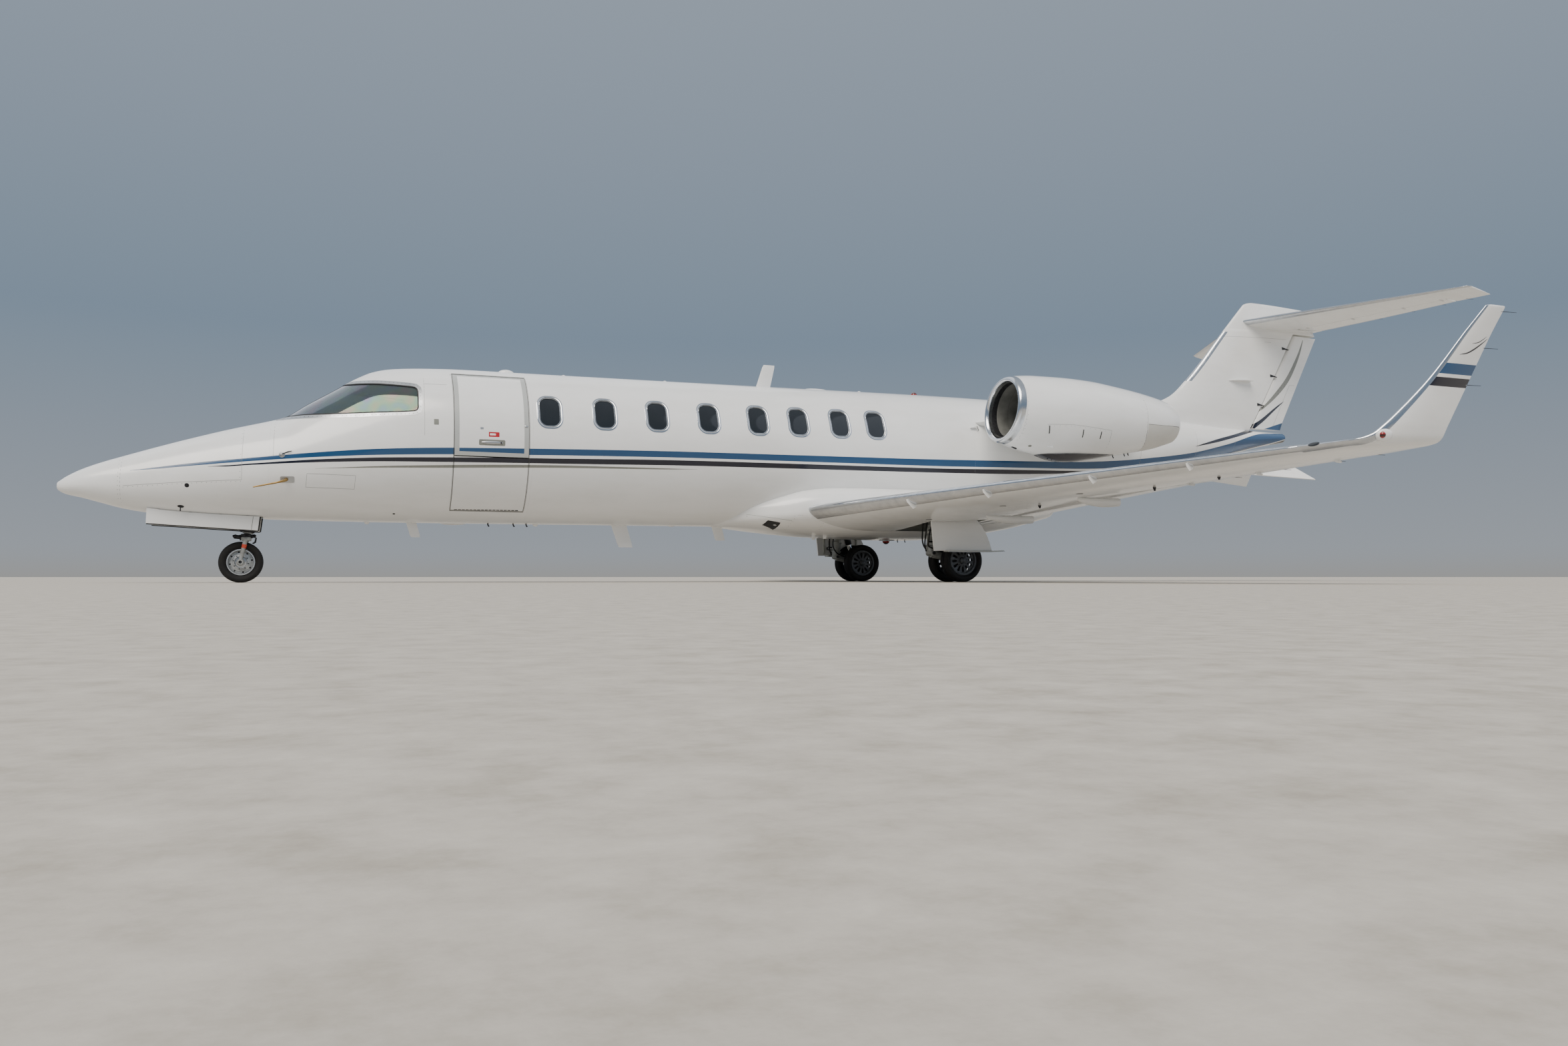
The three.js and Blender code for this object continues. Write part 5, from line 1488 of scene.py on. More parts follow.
rimSilver = moulded("aluminiumForgedWheelSilver", "#b9bdbf", "#8e9294", 0.3, 0.5, 2.0, 0.08, 40, Metallic=0.6)
rimGrey = moulded("aluminiumForgedWheelGrey", "#5a5d60", "#3f4144", 0.36, 0.55, 2.0, 0.08, 40, Metallic=0.6)
nose = {
    "axle": (1735, 222), "tyre": (222, 112, 146), "lean": 10, "holes": 8, "holeRing": 110,
    "armSide": 88, "band": (372, 414),
}
mainGear = {
    "axle": (9762, 262), "tyre": (262, 146, 182), "side": 1410, "spacing": 318, "slots": 12,
    "top": 904.6, "lugs": ((9445, 700), (9440, 480)),
    "door": [(9290, 372), (10085, 378), (10052, 480), (10010, 575), (9956, 662), (9893, 735), (9830, 788),
             (9765, 820), (9700, 835), (9500, 838), (9240, 838)],
}


def tyreProfile(radius, width, bead, side, grooves):
    half, depth = width / 2, radius - bead
    ring = [(bead, side - half * 0.60), (bead + depth * 0.12, side - half * 0.74),
            (bead + depth * 0.3, side - half * 0.93), (bead + depth * 0.5, side - half),
            (bead + depth * 0.68, side - half * 0.97), (bead + depth * 0.84, side - half * 0.85),
            (bead + depth * 0.94, side - half * 0.66)]
    crown = half * 0.5
    ring.append((radius - 0.8, side - crown))
    wide, deep = 5.0, 6.0
    for k in range(grooves):
        y = side - crown + (k + 0.5) * 2 * crown / grooves
        ring += [(radius, y - wide), (radius - deep, y - wide * 0.6), (radius - deep, y + wide * 0.6),
                 (radius, y + wide)]
    ring.append((radius - 0.8, side + crown))
    ring += [(r, 2 * side - y) for r, y in reversed(ring[:7])]
    return ring


def rimProfile(bead, half, side, face, hub, disc=7):
    # a two-piece wheel: flanges at both beads, a barrel and a dished disc; face says where the disc stands
    r = bead - 0.8
    return [(hub, face - disc - 8), (hub + 24, face - disc - 8), (r * 0.5, face - disc),
            (r * 0.76, face - disc), (r * 0.84, face - disc - 6), (r * 0.86, side - half + 3),
            (r * 0.95, side - half), (r, side - half + 1), (r, side + half - 1), (r * 0.95, side + half),
            (r * 0.86, side + half - 3), (r * 0.84, face + disc + 6), (r * 0.76, face + disc),
            (r * 0.5, face + disc), (hub + 24, face + disc + 8), (hub, face + disc + 8)]


def crossBar(axle, ring, degrees, low, high, *size, **more):
    # a bar along a wheel's axis, at a radius and an angle of the wheel
    a = radians(degrees)
    x, z = axle[0] + ring * cos(a), axle[1] + ring * sin(a)
    return rod((x, low, z), (x, high, z), *size, **more)


# nose wheel
x, z = nose["axle"]
radius, width, bead = nose["tyre"]
centre = (x, 0, z)
tyre = Shape().add(turned(tyreProfile(radius, width, bead, 0, 3), centre, segments=96))
piece("noseTyre", tyre, [tyreRubber], "nose_wheel", "tyre_rubber", ["nose_tyre"], 25)
half = width * 0.34
dish = [(27, 27), (45, 26), (53, 17), (98, 9), (103, 6), (118, 5), (122, half - 7), (126, half - 1),
        (bead - 3, half), (bead - 0.8, half - 2)]
rim = solidOf(turned([(r, -y) for r, y in dish] + dish[::-1], centre, segments=96), "noseRim", [rimSilver])
holes = Shape()
for k in range(nose["holes"]):  # blind holes in the channel; their walls take the dark steel finish as painted shade inside them
    a = k * 360 / nose["holes"] + 12
    for low, high in ((2.2, 30), (-30, -2.2)):
        holes.add(crossBar(nose["axle"], nose["holeRing"], a, low, high, 9.5, edge=0.1))
carved(rim, holes.mesh("holeCutter", [darkMetal]))
shade(rim.data, 30)
piece("noseRim", rim, [], "nose_wheel", "cast_metal", ["nose_rim"])
trim = Shape()
for side in (-1, 1):
    y = side * half
    trim.add(turned([(126, y - side * 1), (130, y + side * 3.4), (141, y + side * 3.4), (145, y),
                     (144.6, y - side * 2)], centre, segments=96))
    trim.add(turned([(84, side * 11), (101, side * 8), (101, side * 11.5), (86, side * 14)], centre,
                    segments=96), 2)
    trim.add(turned([(46, side * 24), (60, side * 16), (64, side * 17), (52, side * 28), (46, side * 29)],
                    centre, segments=64), 0)
    for k in range(8):
        trim.add(crossBar(nose["axle"], 75, k * 45 + 34, side * 8, side * 20, 6, sides=6, edge=1), 1)
trim.add(crossBar(nose["axle"], 137, 250, half, half + 16, 4, 2.5, 10), 1)  # the tyre's valve
piece("noseRimTrim", trim, [polishedMetal, darkMetal, rimSilver], "nose_wheel", "cast_metal", smooth=30)

lean = tan(radians(nose["lean"]))


def legAt(height):
    return x + 6 + lean * (height - z)


fork = Shape()
crown = legAt(462)
fork.add(rod((legAt(458), 0, 458), (legAt(529), 0, 529), 40, sides=32))
fork.add(slab(rounded(crown, 0, 96, 214, 30), "z", 452, 494, 8))
for side in (-1, 1):
    y = side * nose["armSide"]
    path = [(x, y, z), (x + 3, y, z + 40), ((x * 2 + crown) / 3, y, 320), ((x + crown * 2) / 3, y, 400),
            (crown, y, 474)]
    fork.add(tube(path, [24, 19, 20, 22, 25], 24))
    fork.add(rod((x, y - side * 17, z), (x, side * 109, z), 34, 31, 32, 3))
fork.add(rod((x, -110, z), (x, 110, z), 23, sides=24))
for side in (-1, 1):
    fork.add(turned([(17, side * 108), (34, side * 108), (33, side * 114), (27, side * 121),
                     (17, side * 121)], (x, 0, z), segments=32))
    fork.add(rod((x, side * 108, z), (x, side * 115, z), 17.5, sides=32, edge=2), 1)
piece("noseFork", fork, [castMetal, darkMetal], "nose_fork", "cast_metal", ["nose_fork"])
armBands = Shape()
low, high = nose["band"]
for side in (-1, 1):
    run = [(x + (crown - x) * (h - z) / (474 - z), side * nose["armSide"], h) for h in (low, low + 2,
            high - 2, high)]
    armBands.add(tube(run, [21, 24, 25, 22], 24))
piece("noseForkBand", armBands, [orangePaint], "nose_fork", "cast_metal")
links = Shape()
links.add(slab([(crown - 128, 486), (crown - 118, 476), (crown - 24, 468), (crown - 24, 512),
                (crown - 118, 518)], "y", -27, 27, 5))
links.add(slab([(crown + 20, 470), (crown + 92, 496), (crown + 98, 512), (crown + 84, 526),
                (crown + 20, 510)], "y", -34, 34, 5))
for a, h, half in ((crown - 118, 497, 40), (crown + 86, 511, 44), (crown - 60, 508, 52),
                   (crown + 40, 500, 48)):
    links.add(rod((a, -half, h), (a, half, h), 11, sides=16))
links.add(rod((crown - 70, 58, 470), (crown + 60, 58, 500), 13, sides=16))
links.add(rod((crown - 96, -58, 500), (crown - 10, -58, 482), 15, 10, 16))
for side in (-1, 1):
    links.add(block(crown - 52, crown + 46, side * 66 - 18, side * 66 + 18, 488, 528, 7))
    links.add(rod((crown - 96, side * 60, 506), (crown - 132, side * 60, 500), 17, 13, 20, 3))
    links.add(tube([(crown + 40, side * 70, 508), (crown + 96, side * 72, 486), (crown + 88, side * 70, 440),
                    (crown + 64, side * 72, 424)], 6, 10))
piece("noseScissors", links, [darkMetal], "nose_fork", "dark_metal")

noseLeg = Shape()
heights = (531, 560, 580, 700, 720, 960, 1078)
noseLeg.add(tube([(legAt(h), 0, h) for h in heights], [54, 56, 50, 50, 56, 56, 52], 36))
noseLeg.add(rod((legAt(960), -171, 960), (legAt(960), 171, 960), 38, sides=24))
noseLeg.add(tube([(legAt(640) - 30, 0, 640), (1500, 0, 800), (1330, 0, 1000), (1275, 0, 1050)],
                 [20, 26, 26, 22], 20))
noseLeg.add(slab(rounded(1270, 0, 118, 128, 20), "z", 1020, 1079, 6))
for h in (560, 708):
    noseLeg.add(tube([(legAt(h + a), 0, h + a) for a in (-14, -10, 10, 14)], [60, 66, 66, 60], 36), 1)
for side in (-1, 1):  # the steering motors and their hoses
    noseLeg.add(rod((legAt(600) - 92, side * 66, 574), (legAt(600) + 78, side * 66, 604), 25, sides=24), 1)
    noseLeg.add(tube([(legAt(600) - 80, side * 70, 590), (legAt(640) - 60, side * 92, 660),
                      (legAt(760) - 10, side * 84, 760), (legAt(900), side * 60, 900),
                      (legAt(1040), side * 58, 1060)], 7.5, 12), 1)
piece("noseLegUpper", noseLeg, [castMetal, darkMetal], slot="cast_metal", stands=["nose_leg"])

for side, word in sides:
    door = Shape()
    low, high = sorted((side * 186, side * 207))
    y = noseWell["half"] + 14
    top = []
    for s in np.linspace(1921, 846, 26):
        _, bottom, half, waist = hullAt(s)
        top.append((s, waist - (waist - bottom) * sqrt(1 - (y / half) ** 2) - 3))
    door.add(slab([(842, 622), (1905, 560)] + top, "y", low, high, 3))
    strip = [(845 + k * 106, 620 - k * 6.2) for k in range(11)]
    for (a, b), (c, d) in zip(strip, strip[1:]):  # the seal along the lower edge and the rear one
        door.add(slab([(a, b - 9), (c, d - 9), (c, d + 1), (a, b + 1)], "y", low + 4, high - 4, 1), 1)
    door.add(slab([(1903, 556), (1917, 556), (1935, top[0][1] - 4), (1921, top[0][1] - 4)], "y", low + 3,
                  high - 3, 2), 1)
    face = high if side > 0 else low
    jointLine = [(1840, 566), (1844, 566), (1860, top[2][1] - 6), (1856, top[2][1] - 6)]
    door.add(slab(jointLine, "y", face - 1.2, face + 1.2, 0.4), 2)
    for s in (960, 1250, 1540, 1800):  # goose-neck hinges inside
        door.add(slab([(s - 14, 640), (s + 14, 640), (s + 14, 800), (s - 14, 800)], "y",
                      *sorted((side * 174, side * 187)), 2), 3)
    piece(f"noseGearDoor_{word}", door, [whitePaint, sealRubber, darkSeam, castMetal], slot="white_paint",
          stands=[f"nose_gear_door_{word}"], smooth=20)
print("nose gear made")

# main wheels, on the right and mirrored
x, z = mainGear["axle"]
radius, width, bead = mainGear["tyre"]
y0 = mainGear["side"]
for key, k in (("inner", -1), ("outer", 1)):
    y = y0 + k * mainGear["spacing"] / 2
    tyre = Shape().add(turned(tyreProfile(radius, width, bead, 0, 4), (x, y, z), segments=96))
    bothSides(f"mainTyre{key.title()}", tyre, [tyreRubber], "main_wheels", "tyre_rubber",
              [f"main_tyre_{key}"], 25)
rims = Shape()
slotShadeCutters = Shape()
for k in (-1, 1):
    y = y0 + k * mainGear["spacing"] / 2
    rims.add(turned(rimProfile(bead, width * 0.31, 0, k * 14, 31, 7), (x, y, z), segments=96))
    for n in range(mainGear["slots"]):
        a = radians(n * 360 / mainGear["slots"] + 4)
        u, v = np.array([cos(a), sin(a)]), np.array([-sin(a), cos(a)])
        line = ((76, 6), (84, 10), (128, 17), (137, 15), (141, 8))
        middle = np.array([x, z])
        outline = [middle + u * r + v * h for r, h in line] + [middle + u * r - v * h for r, h in line[::-1]]
        slotShadeCutters.add(prism([tuple(p) for p in outline], y - 60, y + 60))
rimPiece = rims.mesh("mainRims_right", [rimGrey])
# the slots' walls take the black tyre rubber: painted shade inside the slots
carved(rimPiece, slotShadeCutters.mesh("slotCutter", [tyreRubber]))
shade(rimPiece.data, 30)
asPair(rimPiece, "mainRims", "main_wheels", "cast_metal", ["main_rims"])
trim = Shape()
for k in (-1, 1):
    y = y0 + k * mainGear["spacing"] / 2
    for side in (-1, 1):
        f = y + side * width * 0.31
        trim.add(turned([(bead * 0.87, 0), (bead * 0.985, 0), (bead * 0.985, side * 3),
                         (bead * 0.93, side * 4.5), (bead * 0.87, side * 3)], (x, f, z), segments=96))
    face = y + k * 29
    trim.add(turned([(0, face), (42, face), (40, face + k * 16), (26, face + k * 25), (0, face + k * 27)],
                    (x, 0, z), segments=40), 0)
    for n in range(8):
        trim.add(crossBar(mainGear["axle"], 58, n * 45 + 10, y + k * 20, y + k * 36, 6, sides=6), 0)
trim.add(rod((x, y0 - 150, z), (x, y0 + 150, z), 29, sides=32), 1)
bothSides("mainWheelTrim", trim, [rimGrey, chrome], "main_wheels", "cast_metal", smooth=30)

leg = Shape()
top = mainGear["top"]
knee = (x - 330, y0, z + 90)
leg.add(tube([(knee[0] - 2, y0, knee[2] - 12), (knee[0], y0, knee[2] + 60), (x - 318, y0, 560),
              (x - 306, y0, 760), (x - 300, y0, top)], [56, 58, 60, 70, 74], 36))
for h in (430, 560, 690):  # cast ribs round the leg
    leg.add(tube([(x + a + (h - 352) * 0.05, y0, h + b) for a, b in ((-332, -9), (-331, -6), (-331, 6),
            (-330, 9))], [60, 70, 70, 60], 36))
leg.add(rod((x - 470, y0, top - 80), (x - 90, y0, top - 80), 48, sides=32))
for a in (-462, -150):
    leg.add(rod((x + a, y0, top - 80), (x + a + 34, y0, top - 80), 60, sides=32, edge=4))
leg.add(tube([knee, (x - 220, y0, z + 66), (x - 90, y0, z + 22), (x - 40, y0, z + 8)], [54, 50, 46, 50], 32))
leg.add(rod((knee[0], y0 - 75, knee[2]), (knee[0], y0 + 75, knee[2]), 36, sides=28, edge=4))
for side in (-1, 1):
    leg.add(rod((knee[0], y0 + side * 74, knee[2]), (knee[0], y0 + side * 88, knee[2]), 22,
                sides=6, edge=2), 1)
leg.add(turned([(31.5, -62), (62, -62), (66, -56), (66, 56), (62, 62), (31.5, 62)], (x, y0, z), segments=40))
leg.add(slab([(x - 60, z + 30), (x + 30, z + 58), (x - 30, z + 96), (x - 84, z + 92)], "y",
             y0 - 44, y0 + 44, 8))
lower, upper = np.array((x - 70, y0, z + 66)), np.array((x - 215, y0, top - 66))
mid = lower + (upper - lower) * 0.42
leg.add(rod(lower, mid, 29, sides=32), 2)
leg.add(tube([mid - (upper - lower) * 0.03, mid, upper - (upper - lower) * 0.06, upper],
             [40, 46, 46, 38], 36), 1)
for p, r in ((lower, 40), (upper, 44)):
    leg.add(rod((p[0], y0 - 52, p[2]), (p[0], y0 + 52, p[2]), r * 0.62, sides=28), 1)
leg.add(rod((x - 280, y0, top - 160), (x - 262, y0 - 326, top - 24), 24, sides=24))
leg.add(rod((x - 275, y0 - 90, top - 124), (x - 268, y0 - 220, top - 66), 33, sides=28), 1)
for s, h in mainGear["lugs"]:
    leg.add(rod((s, y0, h), (s, 1690, h), 17, sides=20))
    leg.add(rod((s, 1676, h), (s, 1690, h), 26, sides=20), 1)
for side in (-1, 1):  # brake packs between each wheel and the arm
    f = y0 + side * 66
    for n in range(7):
        a = f + side * n * 10
        leg.add(turned([(58, a), (128, a), (131, a + side * 2), (131, a + side * 5), (128, a + side * 7),
                        (58, a + side * 7)], (x, 0, z), segments=48), 1)
    for n in range(5):
        leg.add(crossBar(mainGear["axle"], 92, 60 + n * 52, f - side * 26, f + side * 2, 19,
                         sides=18, edge=3), 1)
hoses = [[(x - 300, y0 + 80, top - 30), (x - 352, y0 + 88, 720), (x - 400, y0 + 84, 560),
          (x - 404, y0 + 66, 440), (x - 330, y0 + 90, 400), (x - 200, y0 + 72, 360), (x - 92, y0 + 62, 318)],
         [(x - 330, y0 - 60, top - 40), (x - 392, y0 - 82, 700), (x - 410, y0 - 70, 520),
          (x - 360, y0 - 88, 410), (x - 220, y0 - 70, 352), (x - 100, y0 - 62, 312)],
         [(x - 380, y0 + 20, top - 110), (x - 410, y0 + 34, 640), (x - 424, y0 + 20, 480),
          (x - 400, y0 + 4, 372)]]
for path in hoses:
    leg.add(tube(curved(path, 26), 9.0, 12), 3)
for h in (480, 620, 760):
    leg.add(block(x - 400, x - 330, y0 + 56, y0 + 96, h, h + 16, 3), 1)
bothSides("mainLeg", leg, [castMetal, darkMetal, chrome, sealRubber], slot="cast_metal", stands=["main_leg"])

door = Shape()
door.add(slab(mainGear["door"], "y", 1726, 1747, 4))
flange = [(9440, 362), (9700, 358), (10000, 362), (10212, 372), (10196, 382), (10000, 376), (9700, 374),
          (9440, 380)]
door.add(slab(flange, "y", 1700, 1832, 3), 1)
door.add(slab([(s, h - 3) for s, h in flange[:4]] + [(s, h + 1) for s, h in flange[3::-1]],
              "y", 1826, 1836, 1), 2)
for s in (9380, 9560, 9740, 9900):  # stiffeners on the inner face
    height = 780 if s < 9800 else 640
    door.add(slab([(s - 12, 400), (s + 12, 400), (s + 12, height), (s - 12, height)], "y", 1706, 1728, 3), 1)
for s, h in mainGear["lugs"]:
    door.add(rod((s, 1690.5, h), (s, 1728, h), 24, sides=24), 3)
bothSides("mainGearDoor", door, [whitePaint, wellPaint, polishedMetal, castMetal], slot="white_paint",
          stands=["main_gear_door"], smooth=28)
print("main gear made")


# Fans and cores

fan = Shape()
fanZ = engineHeightAt(engine["fanStation"])
spinner = [(0, -196), (18, -193), (48, -166), (78, -118), (98, -60), (112, 0), (121, 60), (121, 108),
           (40, 110), (0, 110)]
axle = (engine["fanStation"], engine["side"], fanZ)
fan.add(turned(spinner, axle, "x", 60, looks=[1] * 5 + [0] * 5))
bladeSection = [(-1, 0), (-0.5, 3.2), (0.1, 4.2), (0.6, 3.2), (1, 0.5), (1, -0.5), (0.6, -1.8), (0.1, -2.4),
                (-0.5, -1.8)]
for n in range(engine["blades"]):
    rows = []
    for k in range(9):
        share = k / 8
        r = 96 + (engine["fanRadius"] - 97) * share
        twist = radians(30 + 34 * share)
        half = 46 + 10 * sin(pi * share * 0.8)
        ring = []
        for u, t in bladeSection:
            a, b = u * half, t * (1 - 0.55 * share) - 5 * (1 - u * u)
            along = a * cos(twist) - b * sin(twist)
            across = a * sin(twist) + b * cos(twist)
            angle = 2 * pi * n / engine["blades"] + across / r
            ring.append((axle[0] + 20 + along, axle[1] + r * cos(angle), axle[2] + r * sin(angle)))
        rows.append(ring)
    fan.add(loft(rows), 0)
fan.add(rod((axle[0] + 100, axle[1], fanZ), (axle[0] + 189, axle[1], fanZ), 34, sides=32), 2)
bothSides("fanRotor", fan, [satinMetal, panelBlack, darkMetal], "fan", "cast_metal", ["fan"], 38)

core = Shape()
coreRings = [  # the casing, the hot nozzle and its plug: rows of station and radius
    [(11211, 148), (11260, 176), (11400, 206), (11700, 232), (12100, 226), (12400, 214)],
    [(12400, 206), (12520, 188), (12660, 160), (12668, 154), (12640, 148), (12560, 150)],
    [(12500, 118), (12640, 112), (12760, 92), (12880, 58), (12960, 26), (12978, 8)]]
for rows, look in zip(coreRings, (0, 1, 1)):
    core.add(loft([roundRing(s, r, 48) for s, r in rows]), look)
for n in range(8):  # outlet vanes that carry the core
    a = radians(22.5 + 45 * n)
    rows = []
    for k, r in enumerate((140, 200, 270, 349)):
        ring = []
        for s, t in ((11270, 0), (11300, 7), (11360, 9), (11420, 3), (11430, -0.5), (11360, -6), (11300, -5)):
            ring.append((s, engine["side"] + r * cos(a) - t * sin(a),
                         engineHeightAt(s) + r * sin(a) + t * cos(a)))
        rows.append(ring)
    core.add(loft(rows), 0)
corePiece = core.mesh("engineCore_right", [darkMetal, hotMetal])
shade(corePiece.data, 35)
asPair(corePiece, "engineCore", slot="dark_metal", stands=["engine_core"])
lining = Shape()  # the acoustic lining of the inlet, with its joints
for ends in ((10600, 10760), (10764, 10960), (11000, 11200)):
    outer = [roundRing(s, np.interp(s, (10600, 10700, 10850, 11200), (340, 341, 349, 351)) + 0.5)
             for s in ends]
    inner = [[(p[0], engine["side"] + (p[1] - engine["side"]) * 0.99,
               engineHeightAt(p[0]) + (p[2] - engineHeightAt(p[0])) * 0.99) for p in r]
             for r in reversed(outer)]
    lining.add(loopLoft(outer + inner, [0] * 4))
ductGrey = moulded("acousticLiningGrey", "#80817d", "#5f605d", 0.3, 0.45, 2.2, 0.15, 160)
bothSides("inletLining", lining, [ductGrey], slot="cast_metal", smooth=30)
print("fans and cores made")

# Cabin floor, seats and cockpit

cabinSeat = {
    "cushion": [(-206, 1188), (232, 1200), (230, 1296), (-190, 1284)], "cushionHalf": 198,
    "back": [(172, 1326), (242, 1318), (368, 1846), (356, 1930), (306, 1930)], "backHalf": 180,
    "head": [(282, 1842), (356, 1852), (360, 1934), (318, 1938)], "headHalf": 128,
    "shell": [(240, 1300), (262, 1300), (395, 1850), (376, 1958), (350, 1958), (372, 1848)],
    "rows": [(5180, -1), (6480, 1), (7160, -1), (8400, 1)], "side": 425, "pilot": (3270, 345),
    "voxel": 0.007, "swell": 0.016,
}


def taken(obj):
    data = obj.data
    bpy.data.objects.remove(obj)
    return data


def sewnPattern(name, outline, half, edge):
    # a foam pad in a sewn cover, blown up from a slightly smaller block; what rests on the frame stays flat
    start = solidOf(slab(outline, "y", -half, half, edge), name, [seatHide])
    change = start.modifiers.new("even", "REMESH")
    change.mode, change.voxel_size = "VOXEL", cabinSeat["voxel"]
    start.data = applied(start)
    rest = np.array([v.co for v in start.data.vertices])
    cloth = start.modifiers.new("cover", "CLOTH")
    cloth.settings.use_pressure = True
    cloth.settings.uniform_pressure_force = 4
    cloth.settings.effector_weights.gravity = 0
    cloth.point_cache.frame_start, cloth.point_cache.frame_end = 1, 20
    scene = bpy.context.scene
    for frameNumber in range(1, 21):
        scene.frame_set(frameNumber)
    blown = start.evaluated_get(bpy.context.evaluated_depsgraph_get()).to_mesh()
    moved = np.array([v.co for v in blown.vertices]) - rest
    start.modifiers.clear()
    scene.frame_set(1)
    reach = np.linalg.norm(moved, axis=1)
    moved *= np.minimum(1, cabinSeat["swell"] / np.maximum(reach, 1e-9))[:, None]
    made = rest + moved
    made[:, 2] = np.maximum(made[:, 2], rest[:, 2].min())
    start.data.vertices.foreach_set("co", made.ravel())
    smoother = start.modifiers.new("finish", "SUBSURF")
    smoother.levels = smoother.render_levels = 1
    start.modifiers.new("finish", "DECIMATE").ratio = 0.16
    start.data = applied(start)
    start.data.polygons.foreach_set("use_smooth", [True] * len(start.data.polygons))
    start.data.update()
    return taken(start)


def sewnPad(name, data, hide, station, side, facing):
    # one pad of the pattern, turned to its place
    made = bpy.data.objects.new(name, data.copy())
    bpy.context.scene.collection.objects.link(made)
    turn = Matrix.Rotation(0 if facing > 0 else pi, 4, "Z")
    centre = placed([(station, side, 0)])[0]
    origin = placed([(0, 0, 0)])[0]
    made.data.transform(Matrix.Translation(Vector(centre)) @ turn @ Matrix.Translation(-Vector(origin)))
    made.data.materials.clear()
    made.data.materials.append(hide)
    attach(made, "airframe")


patterns = {key: sewnPattern(key + "Pattern", cabinSeat[key], cabinSeat[key + "Half"], edge)
            for key, edge in (("cushion", 24), ("back", 22), ("head", 18))}


def turnedPoints(grid, station, side, facing):
    points = [(station + facing * x, side + facing * y, z) for x, y, z in grid[0]]
    return (points, grid[1], grid[2])


def seatFrame(shape, station, side, facing):
    # shell, arms, base and the piping of the cushions; finishes: hide, walnut, dark metal, darker hide
    spec = cabinSeat
    forms = [slab(spec["shell"], "y", -200, 200, 6, 0)]
    for y in (-234, 234):  # arms with walnut tops
        forms.append(slab([(-176, 1292), (262, 1292), (300, 1462), (-166, 1452)], "y", y - 12, y + 12, 8, 0))
        forms.append(slab([(-172, 1452), (270, 1460), (272, 1478), (-160, 1476), (-176, 1468)], "y", y - 18,
                          y + 18, 6, 1))
    forms.append(slab([(-222, 1152), (256, 1164), (262, 1300), (240, 1300), (236, 1186), (-214, 1174)], "y",
                      -216, 216, 5, 0))
    forms.append(slab([(-150, 1100), (150, 1106), (140, 1166), (-150, 1156)], "y", -96, 96, 6, 2))
    for y in (-76, 76):
        forms.append(slab([(-142, 990), (142, 990), (120, 1112), (-120, 1110)], "y", y - 9, y + 9, 3, 2))
    (front, height), (low, foot) = spec["cushion"][3], spec["back"][0]
    forms.append(tube([(front - 10, y, height - 6) for y in (-170, 170)], 3.2, 8, 3))
    for y in (-70, 70):  # sewn channels down the back
        forms.append(tube([(low - 8 + 138 * k / 8, y, foot + 40 + 480 * k / 8) for k in range(9)], 2.6, 8, 3))
    for form in forms:
        shape.add(turnedPoints(form, station, side, facing))


for side, word in sides:
    seats = Shape()
    aside = side * cabinSeat["side"]
    for station, facing in cabinSeat["rows"]:
        seatFrame(seats, station, aside, facing)
        for key, pattern in patterns.items():
            sewnPad(f"cabin{key.title()}_{word}_{station}", pattern, seatHide, station, aside, facing)
    for y in (-110, 110):  # seat rails
        seats.add(slab([(5000, 986), (8700, 986), (8700, 1002), (5000, 1002)], "y", aside + y - 11,
                       aside + y + 11, 3), 2)
    piece(f"cabinSeatFrames_{word}", seats, [seatHide, walnutPanel, darkMetal, pilotHide],
          slot="seat_leather", stands=[f"cabin_seats_{word}"], smooth=32)

pilotShape = Shape()
station, y = cabinSeat["pilot"]
for side, word in sides:
    seatFrame(pilotShape, station, side * y, 1)
    for key, pattern in patterns.items():
        sewnPad(f"pilot{key.title()}_{word}", pattern, pilotHide, station, side * y, 1)
pedestal = [(2700, 985), (3496, 985), (3404, 1324), (3380, 1336), (2810, 1494), (2780, 1490)]
pilotShape.add(slab(pedestal, "y", -93, 93, 8), 1)
for n, (a, h) in enumerate(((2860, 1486), (2980, 1452), (3100, 1418), (3220, 1385), (3330, 1354))):
    pilotShape.add(slab([(a - 50, h - 4), (a + 50, h - 32), (a + 51, h - 27), (a - 49, h + 1)],
                        "y", -80, 80, 2), 2)
    for k in range(4):
        for m in range(3):
            u = a - 34 + 23 * m
            v = h + (a - u) * 0.28
            if n in (1, 3):
                pilotShape.add(rod((u, -60 + 40 * k, v - 4), (u, -60 + 40 * k, v + 9), 7, 5.5, 12), 3)
            else:
                pilotShape.add(block(u - 8, u + 8, -68 + 40 * k, -48 + 40 * k, v - 6, v + 4, 1.5), 3)
for k in (-1, 1):  # thrust levers
    pilotShape.add(slab([(2960, 1440), (2972, 1440), (2952, 1560), (2942, 1560)], "y",
                        k * 22 - 4, k * 22 + 4, 1.5), 2)
    pilotShape.add(rod((2946, k * 22 - 16, 1564), (2946, k * 22 + 16, 1564), 13, sides=20, edge=4), 3)
piece("pilotSeatFrames", pilotShape, [pilotHide, panelBlack, darkMetal, sealRubber], slot="seat_leather",
      stands=["pilot_seats"], smooth=32)

